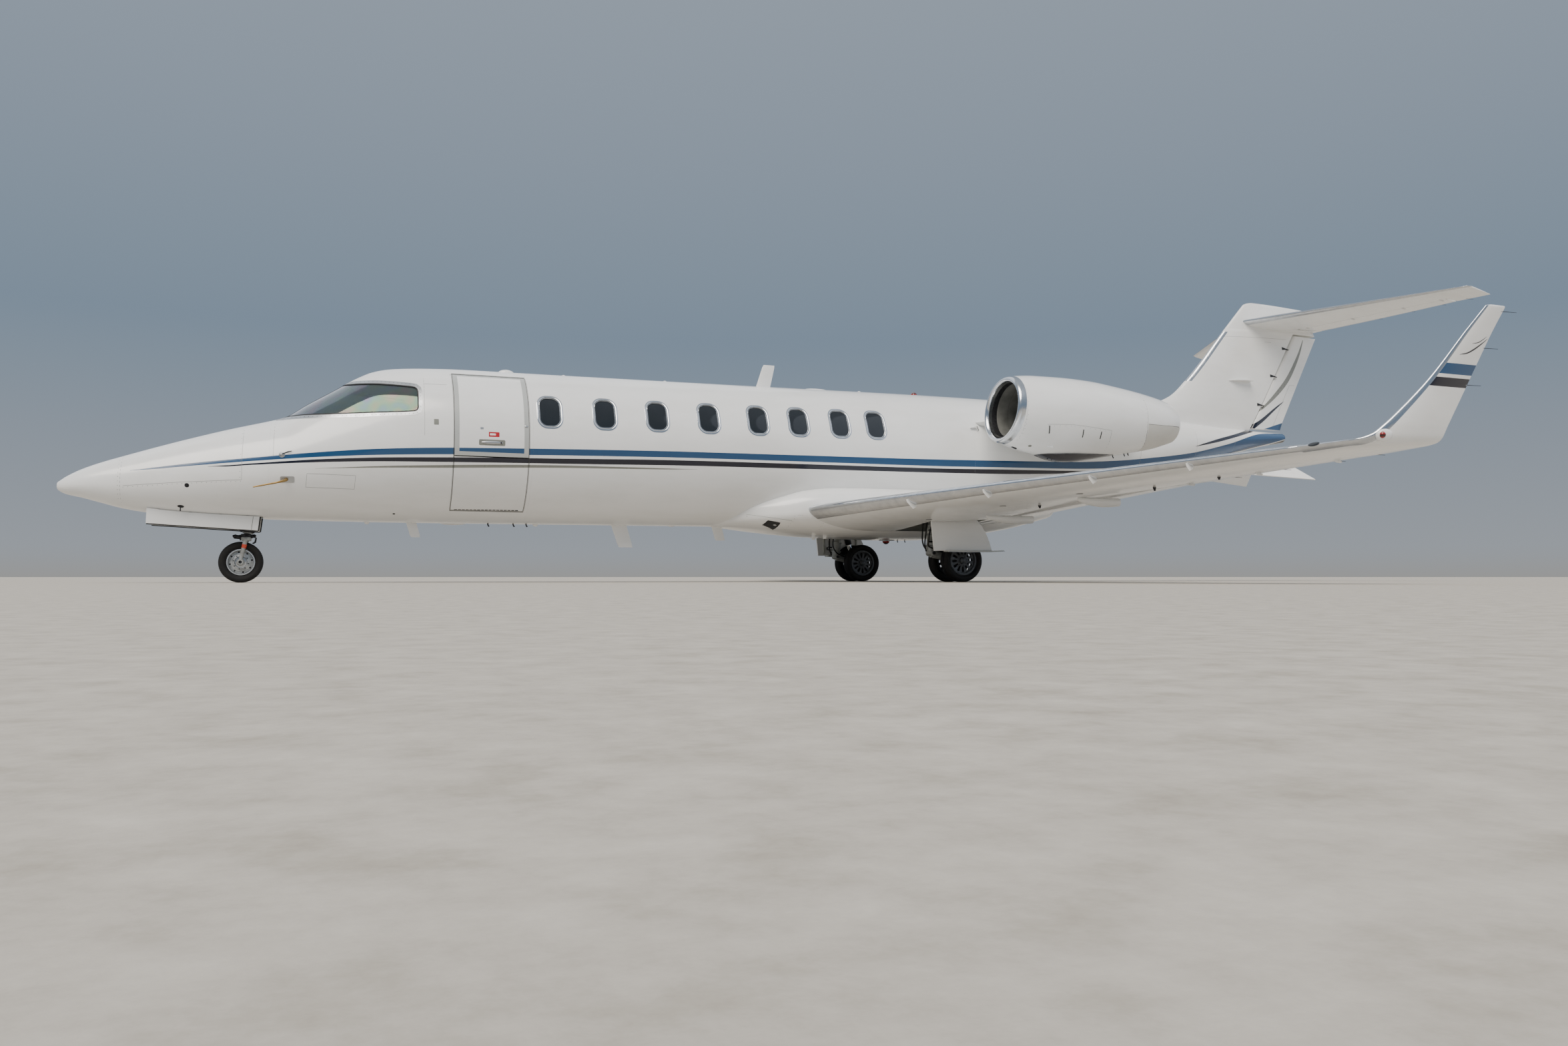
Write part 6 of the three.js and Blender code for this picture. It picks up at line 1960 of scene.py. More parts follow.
dash = solidOf(slab([(2300, 1380), (2676, 1380), (2688, 1676), (2632, 1694), (2300, 1690)], "y", -620, 620,
                    6), "dashPanel", [panelBlack])
hood = solidOf(slab([(2330, 1690), (2600, 1702), (2686, 1700), (2692, 1716), (2640, 1738), (2560, 1734),
                     (2330, 1712)], "y", -600, 600, 5), "glareHood", [sealRubber])
for form in (dash, hood):
    cut(form, hull(2230, 2760, 84, False, 0), panelBlack, "INTERSECT")
    shade(form.data, 30)
piece("instrumentPanelBody", dash, [], slot="panel_black", stands=["instrument_panel"])
piece("glareshield", hood, [], slot="panel_black")
displays = Shape()
for y in (-410, -142, 142, 410):
    z = 1560
    displays.add(slab(rounded(y, z, 246, 196, 14), "x", 2680, 2696, 3), 0)
    displays.add(slab(rounded(y, z + 4, 212, 160, 6), "x", 2694, 2698.5, 1), 1)
    for k in range(7):
        displays.add(rod((2694, y - 90 + 30 * k, z - 86), (2702, y - 90 + 30 * k, z - 86), 5,
                         sides=12, edge=1), 2)
for y in (-276, 0, 276):
    for k in range(5):
        displays.add(rod((2682, y - 4 + (k % 2) * 10, 1480 + 34 * k), (2700, y - 4 + (k % 2) * 10,
                1480 + 34 * k), 8, 6, 16), 2)
for k in range(12):
    displays.add(block(2678, 2694, -262 + 46 * k, -238 + 46 * k, 1404, 1428, 2), 2)
for y in (-345, 345):  # control yokes
    displays.add(rod((2676, y, 1452), (2846, y, 1452), 17, sides=24, edge=2), 2)
    displays.add(rod((2840, y, 1452), (2862, y, 1452), 34, 28, 24, 4), 0)
    for k in (-1, 1):
        path = [(2852, y, 1448), (2856, y + k * 60, 1440), (2858, y + k * 112, 1456),
                (2852, y + k * 132, 1500), (2842, y + k * 128, 1548), (2836, y + k * 118, 1572)]
        displays.add(tube(path, [13, 13, 14, 16, 16, 13], 16), 0)
piece("flightInstruments", displays, [panelBlack, screenFace, sealRubber], slot="panel_black", smooth=32)



def floorEdge(s):
    return hullSide(s, 985, 1, 84)[1]


right = [(s, floorEdge(s)) for s in np.linspace(2090, 10330, 56)]
left = [(s, -y) for s, y in right]
notch = [(4716, -floorEdge(4716)), (4716, -290), (3826, -290), (3826, -floorEdge(3826))]
around = right + [p for p in reversed(left) if p[0] > 4716] + notch + [p for p in reversed(left)
        if p[0] < 3826]
floorPiece = solidOf(slab(around, "z", 945, 985, 2), "cabinFloorCarpet", [woolPile])
shade(floorPiece.data, 30)
piece("cabinFloorCarpet", floorPiece, [], slot="carpet", stands=["cabin_floor"])
print("cabin made")


# Small fittings of the fuselage

def mark(surface, station, height, side):
    # a place on a skin and its outward direction, in the source frame
    place, normal = seat(surface, station, height, side)
    return inSource(place), np.array(normal)


def dome(shape, p, n, length, width, rise, look=0, sides=28, rows=6, foot=2.0, along=(1.0, 0, 0)):
    # a low blister on a skin, longer one way than the other
    n = np.array(n, float) / np.linalg.norm(n)
    u = np.array(along, float) - n * np.dot(along, n)
    u /= np.linalg.norm(u)
    v = np.cross(n, u)
    rings = []
    for k in range(rows + 2):
        a = 0 if k == 0 else radians(86 * (k - 1) / rows)
        lift = -foot if k == 0 else rise * sin(a)
        rings.append([np.array(p) + n * lift + (u * length * cos(b) + v * width * sin(b)) * 0.5 * cos(a)
                      for b in np.linspace(0, 2 * pi, sides, endpoint=False)])
    shape.add(loft(rings, look=look))


def blister(shape, surface, station, height, side, *size, **more):
    # a dome where a line from the side meets a skin
    dome(shape, *mark(surface, station, height, side), *size, **more)


def skinLayer(name, outer, core, outline, low, high, finish, smooth=50):
    # what lies between a grown skin and a shrunk one, within an outline seen from the side
    layer = solidOf(outer, name, [finish])
    cut(layer, core, finish)
    cut(layer, prism(outline, low, high), finish, "INTERSECT")
    shade(layer.data, smooth)
    return layer


def wick(shape, station, side, height, length, out, looks, radius=3.0, rise=0):
    # a static wick: its holder on a trailing edge, and the carbon rod behind it
    shape.add(tube([(station - 40, side, height), (station - 4, side, height)], [4.5, 4], 10), looks[0])
    tip = (station + length, side + out, height + rise)
    shape.add(tube([(station - 6, side, height), tip], [radius, 1.6], 8), looks[1])


def blade(shape, foot, tip, thickness, look=0, plate=None, side=0.0, steps=10):
    # an aerial: foot and tip are (front, rear, height); plate is the size of its foot plate
    rings = []
    for k in range(steps + 1):
        t = k / steps
        front, rear = foot[0] + (tip[0] - foot[0]) * t, foot[1] + (tip[1] - foot[1]) * t
        z = foot[2] + (tip[2] - foot[2]) * t
        half = thickness / 2 * (1 - 0.35 * t)
        if k == steps:
            front, rear, half = front + 10, rear - 6, half * 0.5
        chord = rear - front
        ring = [(front + chord * x, side + half * sqrt(max(0, 1 - (1 - x / 0.35) ** 2)) if x < 0.35 else side
                 + half * (1 - ((x - 0.35) / 0.65) ** 1.6), z) for x in (0, 0.04, 0.12, 0.22, 0.35, 0.55,
                0.75, 0.92, 1.0)]
        rings.append(ring + [(x, 2 * side - y, zz) for x, y, zz in ring[-2:0:-1]])
    shape.add(loft(rings, look=look))
    if plate:
        length, width, z = plate
        shape.add(slab(rounded((foot[0] + foot[1]) / 2, side, length, width, width * 0.45, 8), "z", z - 4,
                       z + 4, 2), look)


aerials = {
    "top": ((7660, 7858, 2440), (7775, 7937, 2790)), "forward": ((3415, 3525, 740), (3480, 3590, 515)),
    "belly": ((5780, 5972, 760), (5895, 6076, 422)),
}
for key, node, thickness, width in (("top", "aerial_top", 22, 60), ("forward", "aerial_belly_forward", 16,
        46), ("belly", "aerial_belly", 22, 60)):
    shape = Shape()
    foot, tip = aerials[key]
    row = hullAt((foot[0] + foot[1]) / 2)
    blade(shape, foot, tip, thickness, plate=(foot[1] - foot[0] + 60, width,
                                              row[0] - 3 if key == "top" else row[1] + 3))
    for k in (-1, 1):
        for m in range(4):
            x = foot[0] + (foot[1] - foot[0]) * m / 3
            z = row[0] + 1 if key == "top" else row[1] - 1
            shape.add(rod((x, k * width * 0.36, z - 2.4), (x, k * width * 0.36, z + 2.4), 4, sides=8,
                          edge=0.5), 1)
    piece(f"aerial{key.title()}", shape, [whitePaint, satinMetal], slot="white_paint", stands=[node],
          smooth=40)

small = Shape()
for s, length, width, rise in ((4530, 190, 120, 46), (8510, 360, 150, 26), (5210, 60, 40, 24),
                               (6470, 60, 40, 24), (9140, 60, 44, 26)):
    dome(small, (s, 0, hullAt(s)[0] - 4), (0, 0, 1), length, width, rise, 0)
    for k in range(8):
        a = k * pi / 4 + 0.3
        p = (s + length * 0.44 * cos(a), width * 0.44 * sin(a))
        small.add(rod((p[0], p[1], hullAt(s)[0] - 14),
                      (p[0], p[1], hullAt(s)[0] + (3 if length > 100 else -2)), 3.5, sides=8), 1)
for s, length, width, rise in ((2470, 190, 90, 8), (3010, 60, 40, 30), (4890, 70, 44, 30),
                               (6560, 90, 50, 14)):
    dome(small, (s, 0, hullAt(s)[1] + 4), (0, 0, -1), length, width, rise, 0)
blade(small, (7070, 7205, 740), (7135, 7265, 520), 13, 0, (190, 44, hullAt(7140)[1] + 3))
dome(small, (3960, 150, hullAt(3960)[1] + 12), (0, 0, -1), 300, 110, 26, 0)
for s in (4330, 4620, 4770):
    small.add(tube([(s, -60, hullAt(s)[1] + 8), (s + 6, -60, hullAt(s)[1] - 20),
                    (s + 18, -60, hullAt(s)[1] - 34)], 8, 12), 2)
for s in (9700, 9810):
    small.add(tube([(s, 0, 560), (s, 0, 540), (s + 8, 0, 524)], 6, 12), 2)
small.add(slab(rounded(9540, 0, 210, 120, 50, 8), "z", 545, 556, 4), 1)
for s, low in ((8340, 532), (8496, 546)):
    small.add(block(s - 22, s + 22, -334, -314, low, low + 74, 3), 0)
piece("fuselageFittings", small, [whitePaint, satinMetal, darkMetal], slot="white_paint", smooth=40)
crest = hullAt(9960)[0]
for name, s, foot, top, seatZ, up, radius, width, rise in (
        ("beaconBelly", 9530, 548, 540, 541, -1, 52, 96, 44),
        ("beaconTop", 9960, crest - 6, crest + 8, crest + 7, 1, 48, 88, 40)):
    lamp = Shape().add(tube([(s, 0, foot), (s, 0, top)], radius, 32), 1)
    dome(lamp, (s, 0, seatZ), (0, 0, up), width, width, rise, 0, sides=32)
    piece(name, lamp, [redLens, satinMetal], slot="glazing", smooth=40)

for side, word in sides:
    probes = Shape()
    p, n = mark(hullSkin, 2190, 1085, side)
    paintedFilm(probes, hullSkin, rounded(2200, 1085, 138, 66, 14, 4), side, 3, 40, 3)
    out = p + n * 58
    probes.add(tube([p, p + n * 26, out + np.array([-26, 0, -4]), out + np.array([-80, 0, -20]),
                     out + np.array([-300, 0, -72]), out + np.array([-306, 0, -74])],
                    [20, 17, 12.5, 9.5, 7, 5], 16), 1)
    p, n = mark(hullSkin, 2145, 1344, side)
    dome(probes, p, n, 64, 64, 8, 3)
    probes.add(tube([p, p + n * 14, p + n * 30, p + n * 34], [26, 20, 10, 6], 20), 3)
    probes.add(slab([(p[0] - 6, p[2] - 5), (p[0] + 92, p[2] + 34), (p[0] + 96, p[2] + 44),
                     (p[0] + 60, p[2] + 36), (p[0] - 8, p[2] + 6)], "y",
                    *sorted((p[1] + side * 26, p[1] + side * 29)), 1), 0)
    paintedFilm(probes, hullSkin, rounded(3680, 1744, 50, 62, 6, 3), side, 2, 40, 2)
    for s, z, width in ((3280, 760, 30), (1240, 1010, 46)):
        blister(probes, hullSkin, s, z, side, width, width, 3)
    p, n = mark(hullSkin, 1170, 800, side)
    dome(probes, p, n, 64, 46, 10, 0)
    probes.add(tube([p, p + n * 16 + np.array([0, 0, -14]), p + n * 22 + np.array([0, 0, -34])], 6, 10), 0)
    piece(f"airDataProbes_{word}", probes, [darkMetal, brassMetal, stripeGrey, satinMetal], slot="dark_metal",
          smooth=40)

# Panel joints, screws and painted strokes; each row is a run of [station, height] points
joints = {
    "hull": [
        [(610, 830), (610, 1288)], [(1760, 1075), (1760, 1660)], [(640, 1000), (1180, 1042), (1760, 1075)],
        [(2060, 1330), (2060, 1700)], [(3560, 1590), (3560, 2260)],
        [(3560, 2190), (3800, 2190)], [(11560, 1230), (11960, 1260), (11980, 1440), (11560, 1400),
        (11560, 1230)], [(13260, 1420), (13260, 2300)], [(14420, 1750), (14420, 2270)],
        [(15260, 1960), (15260, 2250)],
        [(2380, 1010), (2860, 1000), (2870, 1140), (2390, 1150), (2380, 1010)]],
    "fairing": [[(7368, 796), (7366, 826), (7598, 787), (7860, 746)],
                [(7878, 803), (7876, 735), (7861, 681), (7880, 645)],
                [(8227, 805), (8230, 714), (8240, 640)], [(10480, 690), (10480, 1010)]],
    "fin": [[(15300, 3738), (16036, 3762), (16500, 3775)], [(16040, 3700), (16180, 3702)]],
}
for side, word in sides:
    lines = Shape()
    for key, surface in (("hull", hullSkin), ("fairing", fairingSkin), ("fin", finSkin)):
        for run in joints[key]:
            seam(lines, surface, run, side, 2.6)
    piece(f"panelJoints_{word}", lines, [seamShade], slot="dark_metal", smooth=60)
    screws = Shape()
    for key, surface, run, pitch in (
            ("radome", hullSkin, [(588, 870), (588, 1270)], 44),
            ("nose", hullSkin, [(640, 985), (1180, 1027), (1750, 1060)], 46),
            ("nose", hullSkin, [(1745, 1100), (1745, 1640)], 60),
            ("fairing", fairingSkin, [(7921, 812), (7965, 812)], 20),
            ("fairing", fairingSkin, [(8085, 813), (8232, 814)], 25),
            ("fairing", fairingSkin, [(7864, 735), (7850, 681), (7868, 648)], 24),
            ("fairing", fairingSkin, [(8242, 790), (8245, 714), (8254, 650)], 32),
            ("tail", hullSkin, [(13245, 1440), (13245, 2280)], 60),
            ("tail", hullSkin, [(15245, 1970), (15245, 2240)], 52)):
        for s, z in alongRun(run, pitch):
            if seat(surface, s, z, side):
                studAt(screws, surface, s, z, side, 3.4, 1.0)
    piece(f"flushScrews_{word}", screws, [seamShade], slot="dark_metal", smooth=0)

    # the lamp's window low on the fairing's front, as a black layer on the skin: painted shade of the lamp's
    # recess behind its glass
    pane = skinLayer(f"bellyLampShadeWindow_{word}",
                     loft([fairingRing(s, 1.2) for s in np.linspace(7480, 7820, 24)]),
                     loft([fairingRing(s, -2) for s in np.linspace(7470, 7830, 24)]),
                     [(7559, 699), (7590, 753), (7740, 724), (7745, 647)], *sorted((side * 300, side * 1000)),
                     panelBlack)
    piece(f"bellyLampShadeWindow_{word}", pane, [], slot="glazing")
    bulb = Shape()
    blister(bulb, fairingSkin, 7697, 697, side, 46, 34, 8)
    piece(f"bellyLampBulb_{word}", bulb, [satinMetal], slot="glazing", smooth=40)

    lines = Shape()
    for run in ([(16585, 3064), (16700, 3071)], [(16585, 3064), (16241, 2417), (16206, 2350)]):
        seam(lines, rudderSkin, run, side, 3.4)
    piece(f"trimTabJoint_{word}", lines, [seamShade], "rudder", "dark_metal", smooth=60)

    brackets = Shape()
    for s, z in ((16449, 3630), (16190, 3183), (15918, 2720)):  # the horns of the rudder's hinges
        y = abs(mark(finSkin, s - 40, z, side)[0][1])
        brackets.add(slab([(s - 46, z + 20), (s + 96, z - 14), (s + 92, z - 22), (s + 20, z - 16),
                           (s - 40, z - 26)], "y", *sorted((side * (y - 16), side * (y + 5))), 1.5), 0)
    rows = []
    for (s, low), reach in (((15293, 3048), 4), ((15420, 3056), 64), ((15560, 3058), 96),
                            ((15723, 3058), 96)):
        inner = side * (abs(mark(finSkin, s, low, side)[0][1]) - 4)
        rows.append([(s, inner, low - 5), (s, inner + side * reach, low - 2), (s, inner + side * reach,
                low + 3), (s, inner, low + 5)])
    brackets.add(loft(rows), 1)
    piece(f"finFittings_{word}", brackets, [darkMetal, whitePaint], slot="dark_metal", smooth=15)


def rudderRings(grow):
    # the rudder's rings made larger or smaller all round
    made = []
    for z in np.linspace(2345, 3845, 40):
        ring = rudderRing(z)
        made.append([(x, y, z) for x, y in inset([(x, y) for x, y, _ in ring], -grow)])
    return loft(made)


upper = curved([(15926, 2612), (16252, 2868), (16535, 3149), (16706, 3414), (16810, 3624), (16873, 3800)], 40)
lower = curved([(15740, 2330), (15999, 2486), (16239, 2655), (16400, 2762), (16465, 2802)], 40)
strokes = {
    "rudderNavyStroke": (ribbon(lower, [max(1.5, 70 * (1 - k / 39) ** 0.6) for k in range(40)]), navyPaint),
    "rudderGreyStroke": (ribbon(upper, swelling(78, 40)), stripeGrey),
    "rudderBlueFoot": ([(16030, 2346.5), (16470, 2346.5), (16470, 2474), (16443, 2466), (16240, 2408),
                        (16120, 2372)], bluePaint),
}
for name, (outline, finish) in strokes.items():
    film = skinLayer(name, rudderRings(0.9), rudderRings(-1.5), outline, -300, 300, finish)
    piece(name, film, [], "rudder", "white_paint")
stroke = curved([(14383, 1970), (14948, 2106), (15327, 2200), (15581, 2267), (15760, 2312)], 40)
wide = ribbon(stroke, [max(2, 46 * min(1, k / 14) ** 0.7) for k in range(40)])
film = skinLayer("tailConeStroke", hull(14280, 15900, -1.3, True, 0), hull(14260, 15920, 2, True, 0), wide,
                 -600, 600, navyPaint)
piece("tailConeStroke", film, [], slot="white_paint")
print("fuselage fittings made")

# Entry door fittings

door = entryDoor
outside = Shape()
paintedFilm(outside, hullSkin, rounded(4270, 1539, 284, 66, 14, 4), -1, 0.8, 24, 0)
p, n = mark(hullSkin, 4270, 1539, -1)
dome(outside, p, n, 236, 40, 12, 1)
p = p + np.array([96, 0, 0])
outside.add(tube([p, p + n * 13], 9, 16), 2)
paintedFilm(outside, hullSkin, rounded(4290, 1630, 116, 54, 6, 3), -1, 0.8, 40, 4)
paintedFilm(outside, hullSkin, rounded(4276, 1630, 64, 22, 6, 3), -1, 1.2, 40, 3)
paintedFilm(outside, hullSkin, rounded(4160, 1694, 34, 24, 4, 3), -1, 0.9, 40, 1)
blister(outside, hullSkin, 4640, 1736, -1, 46, 30, 7, 1)
piece("entryDoorHandle", outside, [stripeGrey, satinMetal, sealRubber, whitePaint, redPaint],
      "entry_door_upper", "dark_metal", smooth=35)
upperIn, lowerIn = Shape(), Shape()


def inner(s, z):
    # how far aside the wall's inner face lies on the left
    return hullSide(s, z, -1, fuselage["wall"])[1]


def latchPins(shape, heights, look):
    for s, away in ((3874, 1), (4668, -1)):
        for z in heights:
            shape.add(rod((s + away * 60, inner(s, z) - 26, z), (s + away * 3, inner(s, z) - 26, z),
                          13, 10, 20), look)


for z in (1500, 1700, 1900, 2080):  # frames across the lining, and latch pins at both ends
    run = [(s, inner(s, z) + 8, z) for s in np.linspace(3900, 4640, 12)]
    upperIn.add(tube(run, 11, 10), 0)
latchPins(upperIn, (1460, 1640, 1820, 2000), 1)
upperIn.add(slab(rounded(4270, 1546, 300, 92, 20, 5), "y",
                 inner(4270, 1546) + 2, inner(4270, 1546) + 16, 4), 2)
upperIn.add(rod((4190, inner(4270, 1546) + 26, 1546), (4352, inner(4270, 1546) + 26, 1546), 12, sides=20), 1)
for s in (4200, 4340):
    upperIn.add(rod((s, inner(4270, 1546) + 10, 1546), (s, inner(4270, 1546) + 28, 1546), 9, sides=16), 1)
for s in (4060, 4480):  # the gas springs' eyes
    upperIn.add(rod((s, inner(s, 1760) + 26, 1760), (s, inner(s, 2060) + 28, 2060), 14, sides=20), 1)
piece("entryDoorUpperInside", upperIn, [liningPanel, satinMetal, panelBlack], "entry_door_upper",
      "cast_metal", smooth=35)
for z, reach in ((1040, 470), (1250, 560)):
    wall = min(inner(4271, z - 17), inner(4271, z + 17)) - 4
    lowerIn.add(slab([(3956, wall), (4586, wall), (4586, -reach - 16), (4570, -reach), (3972, -reach),
                      (3956, -reach - 16)], "z", z - 16, z + 14, 4), 0)
    wide = -reach - wall
    for k in range(6):  # grit strips on the treads
        y = -reach - 22 - k * (wide - 60) / 6
        lowerIn.add(slab(rounded(4271, y, 560, min(12, wide / 12), 4, 3), "z", z + 12, z + 16.5, 1), 1)
    lowerIn.add(rod((3960, -reach + 1, z - 4), (4582, -reach + 1, z - 4), 7, sides=12), 2)
    for s in (4010, 4532):  # brackets under the treads
        lowerIn.add(slab([(wall, z - 96), (wall, z - 12), (-reach - 40, z - 12), (-reach - 40, z - 26)], "x",
                         s - 6, s + 6, 2), 2)
for s in (3905, 4637):
    lowerIn.add(tube([(s, inner(s, z) + 10, z) for z in np.linspace(900, 1350, 10)], 12, 12), 2)
latchPins(lowerIn, (960, 1130, 1300), 2)
piece("entryDoorSteps", lowerIn, [liningPanel, panelBlack, satinMetal], "entry_door_lower", "cast_metal",
      smooth=35)
knuckles = Shape()
y, z = door["lowerHinge"]
for k in range(17):
    s = door["front"] + 46 + k * 42
    knuckles.add(rod((s, y, z), (s + 34, y, z), 12.5, sides=14, edge=2), 0)
piece("entryDoorKnuckles", knuckles, [darkMetal], "entry_door_lower", "dark_metal", smooth=35)
sills = Shape()
for s in (door["front"] - 5, door["rear"] + 5):
    seam(sills, hullSkin, [(s, 812), (s, 2340)], -1, 3.4, 0, 0.9)
for z in (door["sill"] - 4, door["top"] + door["swing"] + 4):
    seam(sills, hullSkin, [(door["front"] - 4, z), (door["rear"] + 4, z)], -1, 3.4, 0, 0.9)
piece("entryDoorOutline", sills, [darkSeam], slot="tyre_rubber", smooth=60)
print("door fittings made")

# Wing fittings, on the right and mirrored

pods = Shape()
podRows = [(-1, 6, 4), (-0.92, 20, 20), (-0.75, 44, 46), (-0.55, 56, 60), (-0.4, 60, 66), (-0.2, 54, 62),
           (0, 40, 52)]
for y, length in ((2380, 620), (3700, 520)):
    lead, trail, leadZ, trailZ, share = wingAt(y)
    chord = trail - lead
    rear = lead + 0.715 * chord
    under = leadZ + 0.6 * (trailZ - leadZ) - 0.75 * share * chord
    rows = []
    for t, half, drop in podRows:
        rows.append([(rear + t * length, y + half * cos(a), under + 34 - (drop + 34) * (0.5 - 0.5 * sin(a)))
                     for a in np.linspace(0, 2 * pi, 28, endpoint=False)])
    pods.add(loft(rows), 0)
bothSides("flapTrackFairing", pods, [whitePaint], slot="white_paint", smooth=45)


def wingUnder(y, share):
    # a place under the wing and above it, at a share of the chord
    lead, trail, leadZ, trailZ, thick = wingAt(y)
    chord = trail - lead
    mid = leadZ + share * (trailZ - leadZ)
    h = halfThickness(share, thick) * chord
    return lead + share * chord, mid - h * (2 - wing["topShare"]), mid + h * wing["topShare"]


bits = Shape()
for y in (2400, 3400, 4600, 5550):  # vortex plates under the leading edge
    x, low, _ = wingUnder(y, 0.004)
    a, b = wingUnder(y, 0.05), wingUnder(y, 0.12)
    bits.add(slab([(x - 14, low - 6), (x + 10, low - 1), (a[0] - 8, a[1] + 4), (a[0] + 26, a[1] + 5),
                   (a[0] + 4, a[1] - 20), (a[0] - 36, a[1] - 40), (x - 6, low - 34)],
                  "y", y - 2, y + 2, 0.8), 0)
for y in (4700, 5300, 5900, 6300):  # wicks on the trailing edge
    lead, trail, leadZ, trailZ, _ = wingAt(y)
    bits.add(tube([(trail - 46, y, trailZ + 4), (trail - 8, y, trailZ + 5)], [5, 4.5], 10), 1)
    bits.add(tube([(trail - 10, y, trailZ + 5), (trail + 120, y + 8, trailZ + 4)], [3.2, 1.8], 8), 2)
for h in (1638, 1939, 2236):  # and on the winglet
    side, height, cant, lead, trail, share = tipRowAt(h)
    wick(bits, trail, side, height, 155, 6, (1, 2), rise=3)
# hinge arms and drain masts below
for y, share, drop in ((3000, 0.52, 30), (4450, 0.56, 36), (5200, 0.55, 26)):
    x, low, _ = wingUnder(y, share)
    bits.add(slab([(x - 20, low + 8), (x + 26, low + 6), (x + 16, low - drop), (x + 2, low - drop)], "y",
                  y - 5, y + 5, 1.5), 3)
for y in (1900, 3000, 4000):
    x, low, _ = wingUnder(y, 0.3)
    bits.add(turned([(0, low - 3), (34, low - 3), (37, low), (36, low + 16), (0, low + 16)],
                    (x, y, 0), "z", 32), 4)
for y in (4620, 5400, 6200):  # aileron hinge brackets
    x, low, _ = wingUnder(y, 0.735)
    bits.add(slab([(x - 90, low + 8), (x - 6, low + 4), (x + 44, low - 14), (x + 30, low - 26),
                   (x - 20, low - 22)], "y", y - 9, y + 9, 3), 0)
x, low, high = wingUnder(3000, 0.2)
bits.add(turned([(0, high - 10), (58, high - 10), (60, high + 1.5), (55, high + 2.5), (0, high + 2.5)],
                (x + 150, 3000, 0), "z", 40), 4)
bothSides("wingFittings", bits, [whitePaint, satinMetal, panelBlack, darkMetal, seamShade],
          slot="white_paint", smooth=35)

tipSurface = surfaceOf(loft([tipRing(r, tipEdge) for r in tipRows]))
marks = Shape()
for run, width in (([(11126, 1867), (11204, 1882), (11272, 1912), (11337, 1951), (11391, 1987),
                     (11425, 2012)], 13), ([(11247, 1961), (11317, 1975), (11367, 2001), (11410, 2030)], 7)):
    paintedFilm(marks, tipSurface, ribbon(curved(run, 30), swelling(width, 30)), 1, 0.9, 1e4, 0)
bothSides("wingletStrokes", marks, [navyPaint], slot="white_paint", smooth=50)


def nearest(surface, point):
    place, normal, index, distance = surface["tree"].find_nearest(Vector(placed([point])[0]))
    return inSource(place), np.array(normalAt(surface, place, index))


for side, word, glass in ((1, "right", greenLens), (-1, "left", redLens)):
    lamp = Shape()
    p, n = nearest(tipSurface, (10436, 7050, 1184))
    dome(lamp, p, n, 150, 104, 30, 0, rows=9, along=(1.0, 0.1, 0.12))
    front = p + n * 14 + np.array([-30, 0, 4])
    dome(lamp, front, n * 0.8 + np.array([-0.5, 0, 0]), 54, 54, 24, 1, rows=8)
    piece(f"positionLamp_{word}", lamp if side > 0 else lamp.mirrored(), [whitePaint, glass], slot="glazing",
          smooth=50)
    lens = Shape()
    p, n = nearest(tipSurface, (10128, 6610, 1160))
    dome(lens, p, n, 96, 48, 5, 0, rows=8, along=(0.4, 1.0, 0.05))
    piece(f"leadingEdgeLens_{word}", lens if side > 0 else lens.mirrored(), [cabinGlass], slot="glazing",
          smooth=50)

bits = Shape()
for y in (1100, 1600, 2050, 2420):
    lead, trail, leadZ, trailZ, _ = stabiliserAt(y)
    wick(bits, trail, y, trailZ, 90, 8, (0, 1), 2.8)
for y in (330, 1000, 1700, 2200):
    lead, trail, leadZ, trailZ, share = stabiliserAt(y)
    x = lead + 0.64 * (trail - lead)
    h = halfThickness(0.64, share) * (trail - lead)
    z = leadZ + 0.64 * (trailZ - leadZ)
    bits.add(slab([(x - 60, z - h + 4), (x + 10, z - h + 3), (x + 54, z - h - 10), (x + 40, z - h - 20),
                   (x - 10, z - h - 18)], "y", y - 8, y + 8, 3), 2)
bothSides("stabiliserFittings", bits, [satinMetal, panelBlack, whitePaint], slot="white_paint", smooth=35)
crown = Shape()
crown.add(tube([(16860, 0, 4262), (16950, 0, 4268)], [13, 9], 12), 1)
crown.add(tube([(17016, 0, 4010), (17090, 0, 4012)], [20, 16], 20), 2)
piece("tailPlaneCrown", crown, [whitePaint, satinMetal, clearLens], slot="white_paint", smooth=45)
print("wing and tail fittings made")

# Nacelle details, on the right and mirrored

nacelleSkin = surfaceOf(loft([nacelleRing(s) for s in outerStops]))
marks = Shape()
for a, b in (((10882, 1933), (10906, 1840)), ((11379, 1905), (11392, 1811)), ((11658, 1894), (11668, 1807))):
    paintedFilm(marks, nacelleSkin, ribbon(curved([a, b], 5), 15), 1, 1.0, 60, 1)
for run in ([(10556, 2560), (10556, 1760)], [(10851, 1947), (11208, 1958)],
            [(11208, 1958), (11500, 1940), (11812, 1914), (11832, 1790), (11850, 1680)],
            [(12405, 2030), (12405, 2380)]):
    seam(marks, nacelleSkin, run, 1, 2.6, 0, 0.6)
for run, width in (([(12423, 2029), (12700, 2030), (13020, 2038)], 7),
                   ([(12405, 2030), (12420, 1900), (12470, 1760), (12500, 1716)], 4)):
    seam(marks, nacelleSkin, run, 1, width, 1, 0.9)
for run, pitch in (([(10571, 2540), (10571, 1780)], 54), ([(12388, 2400), (12388, 1760)], 60),
                   ([(10870, 1930), (11190, 1940)], 74), ([(11240, 1940), (11790, 1898)], 78)):
    for s, z in alongRun(run, pitch):
        if seat(nacelleSkin, s, z, 1):
            studAt(marks, nacelleSkin, s, z, 1, 3.2, 0.8, 0)
blister(marks, nacelleSkin, 10750, 1700, 1, 46, 46, 4, 5)
p, n = mark(nacelleSkin, 10990, 1690, 1)
u = np.array([1.0, 0, 0])
v = np.cross(n, u)
rows = []
